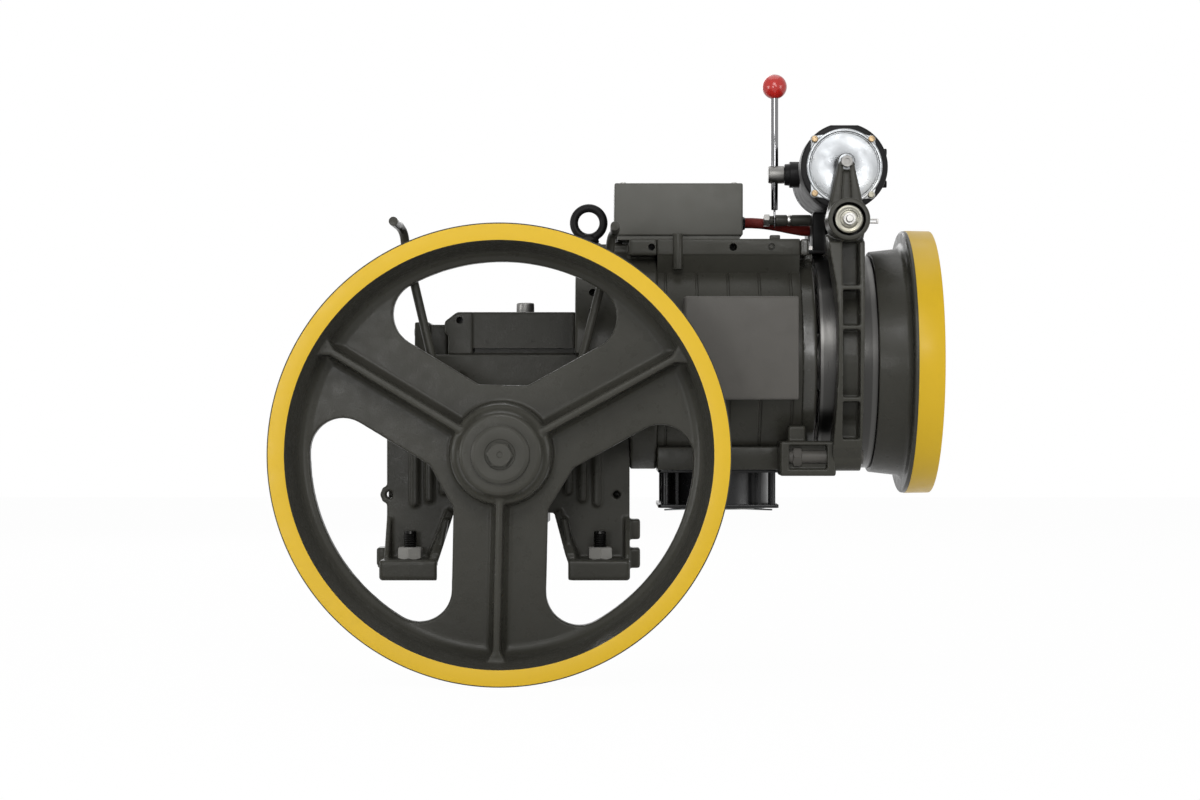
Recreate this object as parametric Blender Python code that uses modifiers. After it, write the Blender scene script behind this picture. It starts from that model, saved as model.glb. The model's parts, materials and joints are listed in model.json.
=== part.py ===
"""Geared traction machine: worm gearbox, flange motor, two-arm magnet brake, flywheel and rope sheave.

X runs along the worm and motor shaft towards the flywheel, Y along the sheave shaft with the sheave at -Y,
and Z up from the underside of the feet.  The origin lies under the crossing of the two shafts.
Everything is in metres.
"""

import math

import bmesh
import bpy
from mathutils import Matrix, Vector

# ---------------------------------------------------------------- driving dimensions

SEAT = 0.0003                 # clearance between two pieces that touch
CHORD_ERROR = 0.0018          # how far a flat may cut inside a round surface

# worm pair
MODULE = 0.005
WHEEL_TEETH = 40
WORM_PITCH_RADIUS = 0.025
PRESSURE_ANGLE = math.radians(20)
BACKLASH = 0.0013
ROOT_CLEARANCE = 0.001
WHEEL_WIDTH = 0.036
THREAD_LENGTH = 0.086
WHEEL_PITCH_RADIUS = MODULE * WHEEL_TEETH / 2
CENTRE_DISTANCE = WORM_PITCH_RADIUS + WHEEL_PITCH_RADIUS
WORM_TIP_RADIUS = WORM_PITCH_RADIUS + MODULE
WORM_ROOT_RADIUS = WORM_PITCH_RADIUS - MODULE - ROOT_CLEARANCE
WHEEL_TIP_RADIUS = WHEEL_PITCH_RADIUS + MODULE
WHEEL_ROOT_RADIUS = WHEEL_PITCH_RADIUS - MODULE - ROOT_CLEARANCE
WORM_LEAD = math.pi * MODULE

# shaft heights
OUTPUT_AXIS_Z = 0.175
WORM_AXIS_Z = OUTPUT_AXIS_Z + CENTRE_DISTANCE

# rope sheave
SHEAVE_RADIUS = 0.300
RIM_FACE_WIDTH = 0.023
RIM_DRAFT = 0.007
RIM_INNER_FRONT = SHEAVE_RADIUS - RIM_FACE_WIDTH
RIM_INNER_WEB = RIM_INNER_FRONT - RIM_DRAFT
RIM_WIDTH = 0.120
SHEAVE_FRONT_Y = -0.331
ROPE_GROOVES = 5
ROPE_PITCH = 0.020
GROOVE_HALF_WIDTH = 0.0055
GROOVE_DEPTH = 0.010
WEB_SETBACK = 0.085
WEB_THICKNESS = 0.022
SPOKE_COUNT = 3
SPOKE_HALF_WIDTH = 0.0625
SPOKE_TURN = math.radians(-1.2)
WINDOW_LAND = 0.0155
WINDOW_OUTER_RADIUS = RIM_INNER_WEB - WINDOW_LAND
WINDOW_CORNER_RADIUS = 0.0436
WINDOW_INNER_FLAT = 0.091
RIB_WIDTH = 0.012
RIB_SETBACK = 0.040
HUB_RADIUS = 0.068
HUB_FACE_RADIUS = 0.056
HUB_FACE_SETBACK = 0.031
HUB_FACE_HEIGHT = 0.010
HUB_LENGTH = 0.095

# output shaft
SHEAVE_SEAT_RADIUS = 0.030
SHAFT_COLLAR_RADIUS = 0.042
SHAFT_COLLAR_WIDTH = 0.012
BEARING_SEAT_RADIUS = 0.035
WHEEL_SEAT_RADIUS = 0.039
END_DISC_RADIUS = 0.038
END_DISC_THICKNESS = 0.008
END_BOLT_RADIUS = 0.010
END_BOLT_HEAD_ACROSS = 0.030
END_BOLT_HEAD_HEIGHT = 0.0125
END_BOLT_LENGTH = 0.045

# rolling bearings
OUTPUT_BEARING_RADIUS = 0.062
OUTPUT_BEARING_WIDTH = 0.024
OUTPUT_BEARING_OFFSET = 0.050
WORM_BEARING_RADIUS = 0.036
WORM_BEARING_WIDTH = 0.022
WORM_SEAT_RADIUS = 0.0175
MOTOR_BEARING_RADIUS = 0.040
MOTOR_BEARING_WIDTH = 0.016
MOTOR_SEAT_RADIUS = 0.0225

# gearbox casing
CASING_HALF_DEPTH = 0.095
CASING_LEFT_X = -0.165
CASING_RIGHT_X = 0.171
SHOULDER_LEFT_X = -0.104
SHOULDER_RIGHT_X = 0.137
SHOULDER_LOW_Z = 0.205
SHOULDER_HIGH_Z = 0.262
JOINT_Z = 0.309
SUMP_WALL = 0.007
WHEEL_ROOM = 0.008
WHEEL_ROOM_HALF_WIDTH = 0.046
ARCH_HALF_ANGLE = math.radians(40)
TUNNEL_LEFT_X = -0.083
TUNNEL_RIGHT_X = 0.096
TUNNEL_HALF_DEPTH = 0.067
TUNNEL_TOP_Z = 0.369
TUNNEL_CHAMFER = 0.012
TUNNEL_LEDGE_LEFT_X = -0.104
WORM_END_X = -0.130
WORM_END_TOP_Z = 0.355
WORM_END_BOTTOM_Z = 0.262
WORM_END_HALF_DEPTH = 0.058
SHAFT_PASSAGE_RADIUS = 0.025
FOOT_HEIGHT = 0.028
FOOT_INNER_X = 0.089
FOOT_OUTER_X = 0.171
FOOT_HALF_LENGTH = 0.150
FOOT_PAD_LENGTH = 0.060
FOOT_RELIEF = 0.004
FOOT_HOLE_RADIUS = 0.011
FOOT_HOLE_X = 0.130
FOOT_HOLE_Y = 0.125
GUSSET_THICKNESS = 0.007
GUSSET_HEIGHT = 0.062
CASING_RIB_WIDTH = 0.007
CASING_RIB_PITCH = 0.016
CASING_RIB_DEPTH = 0.006
CASING_RIB_COUNT = 3
CASING_RIB_FIRST_X = 0.100
CASING_RIB_LOW_Z = 0.102
CASING_RIB_HIGH_Z = 0.235
EAR_RADIUS = 0.0138
EAR_HOLE_RADIUS = 0.0055
EAR_Z = 0.115
EAR_LEFT_X = -0.161
EAR_RIGHT_X = 0.153
EAR_DEPTH = 0.020
LUG_REACH = 0.015
LUG_HEIGHT = 0.028
LUG_DEPTH = 0.030
LUG_Y = -0.060
LOW_LUG_Z = 0.026
HIGH_LUG_Z = 0.066
COVER_RADIUS = 0.082
COVER_THICKNESS = 0.010
COVER_SPIGOT_WALL = 0.008
PLUG_X = 0.024
PLUG_RADIUS = 0.0125
PLUG_HEIGHT = 0.015
PLUG_SPIGOT_RADIUS = 0.009
PLUG_SPIGOT_LENGTH = 0.012

# bell between gearbox and motor
BELL_RADIUS = 0.165
BELL_LENGTH = 0.112
BELL_CAVITY_RADIUS = 0.132
BELL_CAVITY_DEPTH = 0.018
BELL_HOLE_X = 0.120
BELL_HOLE_Z = (0.367, 0.393)
EYE_BOLT_X = 0.114
EYE_RING_RADIUS = 0.021
EYE_WIRE_RADIUS = 0.006
EYE_COLLAR_RADIUS = 0.015
EYE_COLLAR_HEIGHT = 0.008
EYE_SHANK_RADIUS = 0.006
EYE_SHANK_LENGTH = 0.020
EYE_BOSS_RADIUS = 0.018
EYE_BOSS_TOP_Z = 0.4690

# motor
MOTOR_RADIUS = 0.158
MOTOR_LENGTH = 0.197
MOTOR_BORE_RADIUS = 0.135
BAND_PITCH = 0.0435
BAND_COUNT = 4
BAND_GROOVE_WIDTH = 0.003
BAND_GROOVE_DEPTH = 0.002
BAND_FIRST_X = 0.220
RAIL_HALF_DEPTH = 0.113
TOP_RAIL_LOW_Z = 0.445
TOP_RAIL_HIGH_Z = 0.468
BOTTOM_RAIL_LOW_Z = 0.150
BOTTOM_RAIL_HIGH_Z = 0.182
STATOR_INNER_RADIUS = 0.0960
STATOR_LENGTH = 0.150
ROTOR_AIR_GAP = 0.001
ROTOR_RING = 0.016
RAIL_BOSS_X = 0.237
RAIL_BOSS_RADIUS = 0.0068
RAIL_BOSS_LOW_Z = 0.425
RAIL_BOSS_HIGH_Z = 0.4755
SHIELD_WIDTH = 0.022
SHIELD_RADIUS = 0.1505
SHIELD_LUG_WIDTH = 0.012
SHIELD_RECESS_RADIUS = 0.125
SHIELD_RECESS_DEPTH = 0.006
SHIELD_PAD_TOP_Z = 0.4512

# terminal box and junction cover
BOX_LEFT_X = 0.150
BOX_LENGTH = 0.178
BOX_HALF_DEPTH = 0.090
BOX_LID_LOW_Z = 0.4738
BOX_TOP_Z = 0.5466
BOX_WALL = 0.003
BOX_BASE_HEIGHT = 0.040
BOX_SIDE_ROOM = 0.001
COVER_LEFT_X = 0.2435
COVER_RIGHT_X = 0.3980
COVER_LOW_Z = 0.2465
COVER_HIGH_Z = 0.3860
COVER_FRONT_Y = -0.190
COVER_WALL = 0.004
COVER_EDGE_RADIUS = 0.006

# cooling fan under the motor
FAN_LENGTH = 0.168
FAN_WIDTH = 0.150
FAN_HEIGHT = 0.051
FAN_DUCT_RADIUS = 0.070
FAN_HUB_RADIUS = 0.027
FAN_BLADES = 5
FAN_TIP_GAP = 0.002
FAN_BLADE_THICKNESS = 0.003
FAN_BLADE_CHORD = 0.034
FAN_BLADE_PITCH = math.radians(38)
FAN_X = 0.295
FAN_ARM_WIDTH = 0.006
FAN_ARM_HEIGHT = 0.005
FAN_CORNER_CUT = 0.022
GUARD_WIRE = 0.0024
GUARD_RINGS = (0.036, 0.070)

# brake drum and flywheel
DRUM_RADIUS = 0.150
DRUM_X = 0.430
DRUM_WIDTH = 0.080
DRUM_WALL = 0.012
DRUM_WEB = 0.014
DRUM_HUB_RADIUS = 0.040
SHAFT_TAIL_RADIUS = 0.020
CUP_RADIUS_NEAR = 0.1560
CUP_RADIUS_FAR = 0.1610
CUP_WALL = 0.009
FLYWHEEL_RADIUS = 0.186
FLANGE_X = 0.555
FLANGE_WIDTH = 0.041
FLANGE_DISH_DEPTH = 0.018
FLYWHEEL_WEB = 0.016
FLYWHEEL_HUB_RADIUS = 0.038
SHAFT_NUT_RADIUS = 0.026
SHAFT_NUT_HEIGHT = 0.014

# brake
BRAKE_X = 0.465
LINING_THICKNESS = 0.008
LINING_HALF_ANGLE = math.radians(38)
LINING_LEFT_X = 0.453
SHOE_STEPS = 10
LINING_RIGHT_X = 0.485
ARM_LEFT_X = 0.450
ARM_RIGHT_X = 0.488
ARM_SHOULDER_X = 0.437
ARM_WAIST_Z = 0.362
ARM_FLANGE = 0.007
ARM_WEB = 0.010
ARM_RIBS_Z = (0.190, 0.247, 0.344, 0.398)
ARM_RIB_THICKNESS = 0.006
ARM_OUTER_Y = 0.190
ARM_HEEL_THICKNESS = 0.026
PIVOT_Y = 0.150
PIVOT_Z = 0.1685
PIVOT_RADIUS = 0.010
PIVOT_BOSS_RADIUS = 0.019
PIVOT_HEAD_RADIUS = 0.0145
PIVOT_HEAD_WIDTH = 0.012
BRACKET_LEFT_X = 0.374
BRACKET_LOW_Z = 0.143
BRACKET_HIGH_Z = 0.190
BRACKET_OUTER_Y = 0.168
BRACKET_CHEEK = 0.012
SPRING_CUP_Z = 0.4895
SPRING_CUP_RADIUS = 0.0285
SPRING_CUP_WALL = 0.006
SPRING_CUP_FLOOR = 0.010
SPRING_CUP_MOUTH_Y = 0.195
ARM_TOP_INNER_Y = 0.137
ARM_TOP_THICKNESS = 0.014
ARM_TOP_Z = 0.570
ARM_TOP_RADIUS = 0.0125
SPRING_DISC_RADIUS = 0.0195
SPRING_DISC_THICKNESS = 0.004
SPRING_NUT_RADIUS = 0.0085
SPRING_NUT_HEIGHT = 0.007
STUD_RADIUS = 0.005
STUD_OVERHANG = 0.004
SPRING_WIRE_RADIUS = 0.0022
SPRING_COIL_RADIUS = 0.0150
SPRING_TURNS = 3

# brake magnet
MAGNET_Z = 0.566
MAGNET_RADIUS = 0.060
MAGNET_FLAT = 0.0543
MAGNET_HALF_LENGTH = 0.126
MAGNET_BORE_RADIUS = 0.045
PLATE_RADIUS = 0.052
PLATE_THICKNESS = 0.004
PLATE_EAR_RADIUS = 0.006
PLATE_EAR_CIRCLE = 0.0543
COIL_INNER_RADIUS = 0.024
COIL_HALF_LENGTH = 0.112
COIL_CROSS_HOLE = 0.0145
PLUNGER_RADIUS = 0.022
PLUNGER_ROD_RADIUS = 0.008
PLUNGER_INNER_Y = 0.0079
PLUNGER_BODY_INNER_Y = 0.020
PLUNGER_BODY_OUTER_Y = 0.100
PLUNGER_ROD_CLEARANCE = 0.0005
CAM_HALF_THICKNESS = 0.0075
CAM_HALF_HEIGHT = 0.0110
CAM_WIDTH = 0.022
RELEASE_SHAFT_RADIUS = 0.007
RELEASE_BOSS_RADIUS = 0.0185
RELEASE_BOSS_X = 0.392
BRACKET_COLUMN_X = 0.430
BRACKET_COLUMN_WIDTH = 0.018
BRACKET_HALF_DEPTH = 0.024
BRACKET_FOOT_HALF_DEPTH = 0.045
BRACKET_FOOT_HEIGHT = 0.005
SADDLE_THICKNESS = 0.010
SADDLE_RIGHT_X = 0.500
STUD_LUG_HALF_WIDTH = 0.013
STUD_LUG_DROP = 0.012

# hand release lever
LEVER_X = 0.378
LEVER_ROD_RADIUS = 0.005
LEVER_BOSS_RADIUS = 0.0125
LEVER_BOSS_LEFT_X = 0.369
LEVER_BOSS_RIGHT_X = 0.3915
KNOB_Z = 0.691
KNOB_RADIUS = 0.0175
KNOB_SOCKET_DEPTH = 0.012
LEVER_TAIL_LENGTH = 0.050
LEVER_TAIL_TIP_RADIUS = 0.0035
LEVER_NEEDLE_LENGTH = 0.025
LEVER_NEEDLE_RADIUS = 0.0015
STOP_PIN_Y = 0.012
STOP_PIN_Z = 0.502
STOP_PIN_LEFT_X = 0.363
STOP_PIN_RADIUS = 0.008

# cable and rope guards
CABLE_RADIUS = 0.0075
CABLE_Y = 0.035
CABLE_ROUTE = ((0.319, 0.4985), (0.335, 0.4997), (0.360, 0.4990), (0.385, 0.4955), (0.408, 0.4910),
               (0.428, 0.4885), (0.4425, 0.4910), (0.4505, 0.4985), (0.4520, 0.5070))
GUARD_ROD_RADIUS = 0.006
GUARD_STANDOFF = 0.016
GUARD_TIP_SETBACK = 0.006
GUARD_GAP = 0.0315
GUARD_BEND_DROP = 0.0163
GUARD_ROOT_Z = 0.262
LEFT_GUARD_X = -0.084
RIGHT_GUARD_X = 0.096
LEFT_GUARD_ANGLE = math.radians(114.0)
RIGHT_GUARD_ANGLE = math.radians(63.2)

# ---------------------------------------------------------------- scene, surfaces and shape tools

for leftover in list(bpy.data.objects):
    bpy.data.objects.remove(leftover, do_unlink=True)

PARTS = bpy.data.collections.new("traction_machine")
TOOLS = bpy.data.collections.new("traction_machine_tools")
for collection in (PARTS, TOOLS):
    bpy.context.scene.collection.children.link(collection)


def surface(name, colour, roughness, metallic=0.0):
    """A Principled surface in one colour."""
    material = bpy.data.materials.new(name)
    material.use_nodes = True
    shader = material.node_tree.nodes["Principled BSDF"]
    shader.inputs["Base Color"].default_value = (*colour, 1.0)
    shader.inputs["Roughness"].default_value = roughness
    shader.inputs["Metallic"].default_value = metallic
    material.diffuse_color = (*colour, 1.0)
    return material


CASTING = surface("casting_grey", (0.065, 0.062, 0.054), 0.55)
BOX_GREY = surface("box_grey", (0.10, 0.098, 0.086), 0.50)
SHEAVE_IRON = surface("sheave_iron", (0.065, 0.062, 0.054), 0.55)
YELLOW_RIM = surface("rim_yellow", (0.75, 0.47, 0.03), 0.40)
STEEL = surface("machined_steel", (0.55, 0.54, 0.52), 0.25, 1.0)
ZINC = surface("zinc_plate", (0.75, 0.77, 0.78), 0.25, 1.0)
CHROME = surface("chrome", (0.80, 0.80, 0.80), 0.08, 1.0)
BLACK = surface("black_enamel", (0.012, 0.012, 0.012), 0.40)
PLASTIC = surface("black_plastic", (0.010, 0.010, 0.011), 0.30)
BRONZE = surface("bronze", (0.60, 0.36, 0.13), 0.35, 1.0)
COPPER = surface("copper_winding", (0.55, 0.20, 0.08), 0.40, 1.0)
RED_PLASTIC = surface("red_plastic", (0.45, 0.015, 0.012), 0.20)
RED_SLEEVE = surface("red_sleeve", (0.12, 0.008, 0.006), 0.60)
FRICTION = surface("friction_lining", (0.09, 0.07, 0.05), 0.85)

AXIS_TURNS = {
    "X": Matrix.Rotation(math.pi / 2, 4, "Y"),
    "Y": Matrix.Rotation(-math.pi / 2, 4, "X"),
    "Z": Matrix.Identity(4),
}
PLANE_TURNS = {
    "XY": Matrix.Identity(4),
    "XZ": Matrix.Rotation(math.pi / 2, 4, "X"),
    "YZ": Matrix(((0, 0, 1, 0), (1, 0, 0, 0), (0, 1, 0, 0), (0, 0, 0, 1))),
}
AXIS_INDEX = {"X": 0, "Y": 1, "Z": 2}
PLANE_NORMAL = {"XY": 2, "XZ": 1, "YZ": 0}


def add_object(name, data, material, matrix=None):
    """Put mesh or curve data in the parts collection under the node's name."""
    item = bpy.data.objects.new(name, data)
    data.materials.append(material)
    if matrix is not None:
        item.matrix_world = matrix
    PARTS.objects.link(item)
    return item


def mesh_object(name, shape, material, matrix=None, smooth=False):
    """Turn a bmesh into an object, optionally with its round sides shaded smooth."""
    data = bpy.data.meshes.new(name)
    shape.to_mesh(data)
    shape.free()
    if smooth:
        data.shade_smooth()
        data.set_sharp_from_angle(angle=math.radians(35))
    return add_object(name, data, material, matrix)


def facets(radius):
    """How many flats a round surface gets, a multiple of four with even chord error."""
    return 4 * max(2, math.ceil(math.pi / math.acos(1 - CHORD_ERROR / radius) / 4))


def clear_of(radius, sides):
    """Corner radius of a hole whose flats stay a seat's clearance off a rod of this radius."""
    return (radius + SEAT) / math.cos(math.pi / sides)


def place_on(axis, low, centre):
    """The point at `low` along an axis, with the two other coordinates from `centre`."""
    point = Vector(centre)
    point[AXIS_INDEX[axis]] = low
    return point


def cuboid(name, low, high, material, bevel=0.0, segments=1):
    """A box between two corners, with its edges bevelled or rounded by `bevel`."""
    low, high = Vector(low), Vector(high)
    shape = bmesh.new()
    bmesh.ops.create_cube(shape, size=1.0)
    bmesh.ops.scale(shape, vec=high - low, verts=shape.verts)
    item = mesh_object(name, shape, material, Matrix.Translation((low + high) / 2))
    if bevel:
        rounding = item.modifiers.new("rounded edges", "BEVEL")
        rounding.width = bevel
        rounding.segments = segments
    return item


def rod(name, axis, centre, low, high, radius, material, sides=None, tip_radius=None):
    """A round rod from `low` to `high` along an axis, tapered when a tip radius is given."""
    sides = sides or facets(radius)
    shape = bmesh.new()
    bmesh.ops.create_cone(shape, cap_ends=True, segments=sides, radius1=radius,
                          radius2=radius if tip_radius is None else tip_radius, depth=high - low)
    place = Matrix.Translation(place_on(axis, (low + high) / 2, centre)) @ AXIS_TURNS[axis]
    return mesh_object(name, shape, material, place, smooth=True)


def seat_hole(name, axis, centre, low, high, radius, material, turns=True):
    """A cutter for the hole round a rod that turns in it, or sits in it flat against flat."""
    sides = facets(radius) + 4 if turns else facets(radius)
    hole = clear_of(radius, sides) if turns else radius + SEAT / math.cos(math.pi / sides)
    return rod(name, axis, centre, low, high, hole, material, sides)


def turned(name, axis, centre, profile, material, steps=None, closed=False):
    """A turned piece: `profile` lists (radius, place along the axis) down the outer side."""
    steps = steps or facets(max(radius for radius, along in profile))
    shape = bmesh.new()
    points = [shape.verts.new((radius, 0.0, along)) for radius, along in profile]
    for first, second in zip(points, points[1:]):
        shape.edges.new((first, second))
    if closed:
        shape.edges.new((points[-1], points[0]))
    place = Matrix.Translation(place_on(axis, 0.0, centre)) @ AXIS_TURNS[axis]
    item = mesh_object(name, shape, material, place)
    screw = item.modifiers.new("turn", "SCREW")
    screw.steps = steps
    screw.render_steps = steps
    screw.use_merge_vertices = True
    screw.merge_threshold = 0.00001
    return item


def ring(name, axis, centre, inner, outer, low, high, material):
    """A plain ring whose hole clears a rod of the inner radius."""
    steps = facets(outer)
    hole = clear_of(inner, steps)
    section = [(outer, high), (outer, low), (hole, low), (hole, high)]
    return turned(name, axis, centre, section, material, steps, closed=True)


def arc(centre, radius, start, end, steps):
    """Points along an arc, both ends included."""
    turn = (end - start) / steps
    return [(centre[0] + radius * math.cos(start + turn * i), centre[1] + radius * math.sin(start + turn * i))
            for i in range(steps + 1)]


def circle(centre, radius, steps):
    """Points round a whole circle."""
    return arc(centre, radius, 0.0, 2 * math.pi, steps)[:-1]


def plate(name, plane, loops, low, high, material):
    """A flat outline with its openings, as thick as `high` - `low` across its plane."""
    curve = bpy.data.curves.new(name, "CURVE")
    curve.dimensions = "2D"
    curve.fill_mode = "BOTH"
    curve.extrude = (high - low) / 2
    for loop in loops:
        spline = curve.splines.new("POLY")
        spline.points.add(len(loop) - 1)
        for point, (across, up) in zip(spline.points, loop):
            point.co = (across, up, 0.0, 1.0)
        spline.use_cyclic_u = True
    centre = Vector((0.0, 0.0, 0.0))
    centre[PLANE_NORMAL[plane]] = (low + high) / 2
    return solid_from_curve(name, curve, material, Matrix.Translation(centre) @ PLANE_TURNS[plane])


def solid_from_curve(name, curve, material, matrix):
    """Make a mesh of a curve and weld its caps on."""
    source = bpy.data.objects.new(name + "_outline", curve)
    TOOLS.objects.link(source)
    evaluated = source.evaluated_get(bpy.context.evaluated_depsgraph_get())
    data = bpy.data.meshes.new_from_object(evaluated)
    shape = bmesh.new()
    shape.from_mesh(data)
    bmesh.ops.remove_doubles(shape, verts=shape.verts, dist=0.000001)
    bmesh.ops.recalc_face_normals(shape, faces=shape.faces)
    shape.to_mesh(data)
    shape.free()
    bpy.data.objects.remove(source)
    data.name = name
    return add_object(name, data, material, matrix)


def tube(name, points, radius, material, resolution=2):
    """A round wire or rod through the points, with closed ends."""
    curve = bpy.data.curves.new(name, "CURVE")
    curve.dimensions = "3D"
    curve.bevel_depth = radius
    curve.bevel_resolution = resolution
    curve.use_fill_caps = True
    spline = curve.splines.new("POLY")
    spline.points.add(len(points) - 1)
    for point, place in zip(spline.points, points):
        point.co = (*place, 1.0)
    return add_object(name, curve, material)


def smooth_route(points, count):
    """Points at even steps of a Catmull-Rom curve through the given ones."""
    knots = [Vector(p) for p in points]
    knots = [2 * knots[0] - knots[1]] + knots + [2 * knots[-1] - knots[-2]]
    spans = len(knots) - 3
    route = []
    for i in range(count + 1):
        place = min(i / count * spans, spans - 1e-9)
        k = int(place)
        t = place - k
        a, b, c, d = knots[k:k + 4]
        route.append(0.5 * (2 * b + (c - a) * t + (2 * a - 5 * b + 4 * c - d) * t ** 2
                            + (3 * b - a - 3 * c + d) * t ** 3))
    return route


def set_aside(item):
    """Keep an object as a tool only."""
    PARTS.objects.unlink(item)
    TOOLS.objects.link(item)
    item.hide_render = True
    item.display_type = "WIRE"


def combine(target, operation, tools):
    """Boolean each tool into the target, in order."""
    for tool in tools:
        set_aside(tool)
        modifier = target.modifiers.new(tool.name, "BOOLEAN")
        modifier.operation = operation
        modifier.solver = "EXACT"
        modifier.object = tool
    return target


def join(target, *tools):
    """Fuse the tools into the target."""
    return combine(target, "UNION", tools)


def cut(target, *tools):
    """Take the tools' shapes out of the target."""
    return combine(target, "DIFFERENCE", tools)


def mirrored_y(points):
    """The same outline in the YZ plane on the other side of the worm axis."""
    return [(-y, z) for y, z in points]


WORM_LINE = (0.0, 0.0, WORM_AXIS_Z)
OUTPUT_LINE = (0.0, 0.0, OUTPUT_AXIS_Z)


# ---------------------------------------------------------------- rope sheave

def window_outline(middle):
    """One opening of the web: parallel to the spokes beside it, with large outer corners."""
    half_gap = math.pi / SPOKE_COUNT
    corner_distance = WINDOW_OUTER_RADIUS - WINDOW_CORNER_RADIUS
    swing = half_gap - math.asin((SPOKE_HALF_WIDTH + WINDOW_CORNER_RADIUS) / corner_distance)
    centre = (0.0, OUTPUT_AXIS_Z)
    outline = arc(centre, WINDOW_OUTER_RADIUS, middle - swing, middle + swing, 7)
    for side in (1, -1):
        angle = middle + side * swing
        corner = (corner_distance * math.cos(angle), OUTPUT_AXIS_Z + corner_distance * math.sin(angle))
        spoke_side = middle + side * (half_gap + math.pi / 2)
        turn = arc(corner, WINDOW_CORNER_RADIUS, angle, spoke_side, 5)
        half_flat = (WINDOW_INNER_FLAT * math.sin(half_gap) - SPOKE_HALF_WIDTH) / math.cos(half_gap)
        along = Vector((math.cos(middle), math.sin(middle))) * WINDOW_INNER_FLAT
        across = Vector((-math.sin(middle), math.cos(middle))) * half_flat * side
        inner = (along.x + across.x, OUTPUT_AXIS_Z + along.y + across.y)
        outline += turn[1:] + [inner] if side > 0 else [inner] + turn[:0:-1]
    return outline


def build_sheave():
    rear = SHEAVE_FRONT_Y + RIM_WIDTH
    web_front = SHEAVE_FRONT_Y + WEB_SETBACK
    web_rear = web_front + WEB_THICKNESS
    rim = [(RIM_INNER_WEB, rear), (SHEAVE_RADIUS, rear)]
    for i in range(ROPE_GROOVES):
        middle = (SHEAVE_FRONT_Y + rear) / 2 + ((ROPE_GROOVES - 1) / 2 - i) * ROPE_PITCH
        rim += [(SHEAVE_RADIUS, middle + GROOVE_HALF_WIDTH), (SHEAVE_RADIUS - GROOVE_DEPTH, middle),
                (SHEAVE_RADIUS, middle - GROOVE_HALF_WIDTH)]
    rim += [(SHEAVE_RADIUS, SHEAVE_FRONT_Y), (RIM_INNER_FRONT, SHEAVE_FRONT_Y),
            (RIM_INNER_WEB, web_front - WEB_THICKNESS / 2)]
    sheave = turned("sheave", "Y", OUTPUT_LINE, rim, SHEAVE_IRON, closed=True)

    spokes = [math.radians(-90) + SPOKE_TURN + i * 2 * math.pi / SPOKE_COUNT for i in range(SPOKE_COUNT)]
    windows = [window_outline(spoke + math.pi / SPOKE_COUNT) for spoke in spokes]
    overlap = (SHEAVE_RADIUS - GROOVE_DEPTH + RIM_INNER_WEB) / 2
    web = plate("sheave_web", "XZ", [circle((0.0, OUTPUT_AXIS_Z), overlap, facets(SHEAVE_RADIUS))] + windows,
                web_front, web_rear, CASTING)

    hub_face = SHEAVE_FRONT_Y + HUB_FACE_SETBACK
    step = hub_face + HUB_FACE_HEIGHT
    hub_rear = hub_face + HUB_LENGTH
    hub = turned("sheave_hub", "Y", OUTPUT_LINE,
                 [(0.0, hub_rear), (HUB_RADIUS, hub_rear), (HUB_RADIUS, step + 0.003),
                  (HUB_RADIUS - 0.003, step), (HUB_FACE_RADIUS, step), (HUB_FACE_RADIUS, hub_face),
                  (0.0, hub_face)], CASTING)
    ribs = []
    for i, spoke in enumerate(spokes):
        reach = RIM_INNER_WEB + (SHEAVE_RADIUS - GROOVE_DEPTH - RIM_INNER_WEB) / 2
        rib = cuboid(f"sheave_rib_{i}", (HUB_FACE_RADIUS / 2, SHEAVE_FRONT_Y + RIB_SETBACK, -RIB_WIDTH / 2),
                     (reach, (web_front + web_rear) / 2, RIB_WIDTH / 2), CASTING)
        rib.matrix_world = (Matrix.Translation(OUTPUT_LINE) @ Matrix.Rotation(-spoke, 4, "Y")
                            @ rib.matrix_world)
        ribs.append(rib)
    join(sheave, web, hub, *ribs)
    bore = seat_hole("sheave_bore", "Y", OUTPUT_LINE, hub_face - 0.01, hub_rear + 0.01,
                     SHEAVE_SEAT_RADIUS, STEEL)
    return cut(sheave, bore)


def build_sheave_end():
    """The disc and bolt that hold the sheave on its shaft end."""
    hub_face = SHEAVE_FRONT_Y + HUB_FACE_SETBACK
    disc_rear = hub_face - SEAT
    disc_front = disc_rear - END_DISC_THICKNESS
    disc = ring("sheave_end_disc", "Y", OUTPUT_LINE, END_BOLT_RADIUS, END_DISC_RADIUS,
                disc_front, disc_rear, CASTING)
    head_rear = disc_front - SEAT
    bolt = rod("sheave_end_bolt", "Y", OUTPUT_LINE, head_rear - END_BOLT_HEAD_HEIGHT, head_rear,
               END_BOLT_HEAD_ACROSS / math.sqrt(3), CASTING, sides=6)
    shank = rod("sheave_bolt_shank", "Y", OUTPUT_LINE, head_rear - END_BOLT_HEAD_HEIGHT / 2,
                head_rear + END_BOLT_LENGTH, END_BOLT_RADIUS, STEEL)
    return disc, join(bolt, shank)


# ---------------------------------------------------------------- output shaft and worm pair

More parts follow.
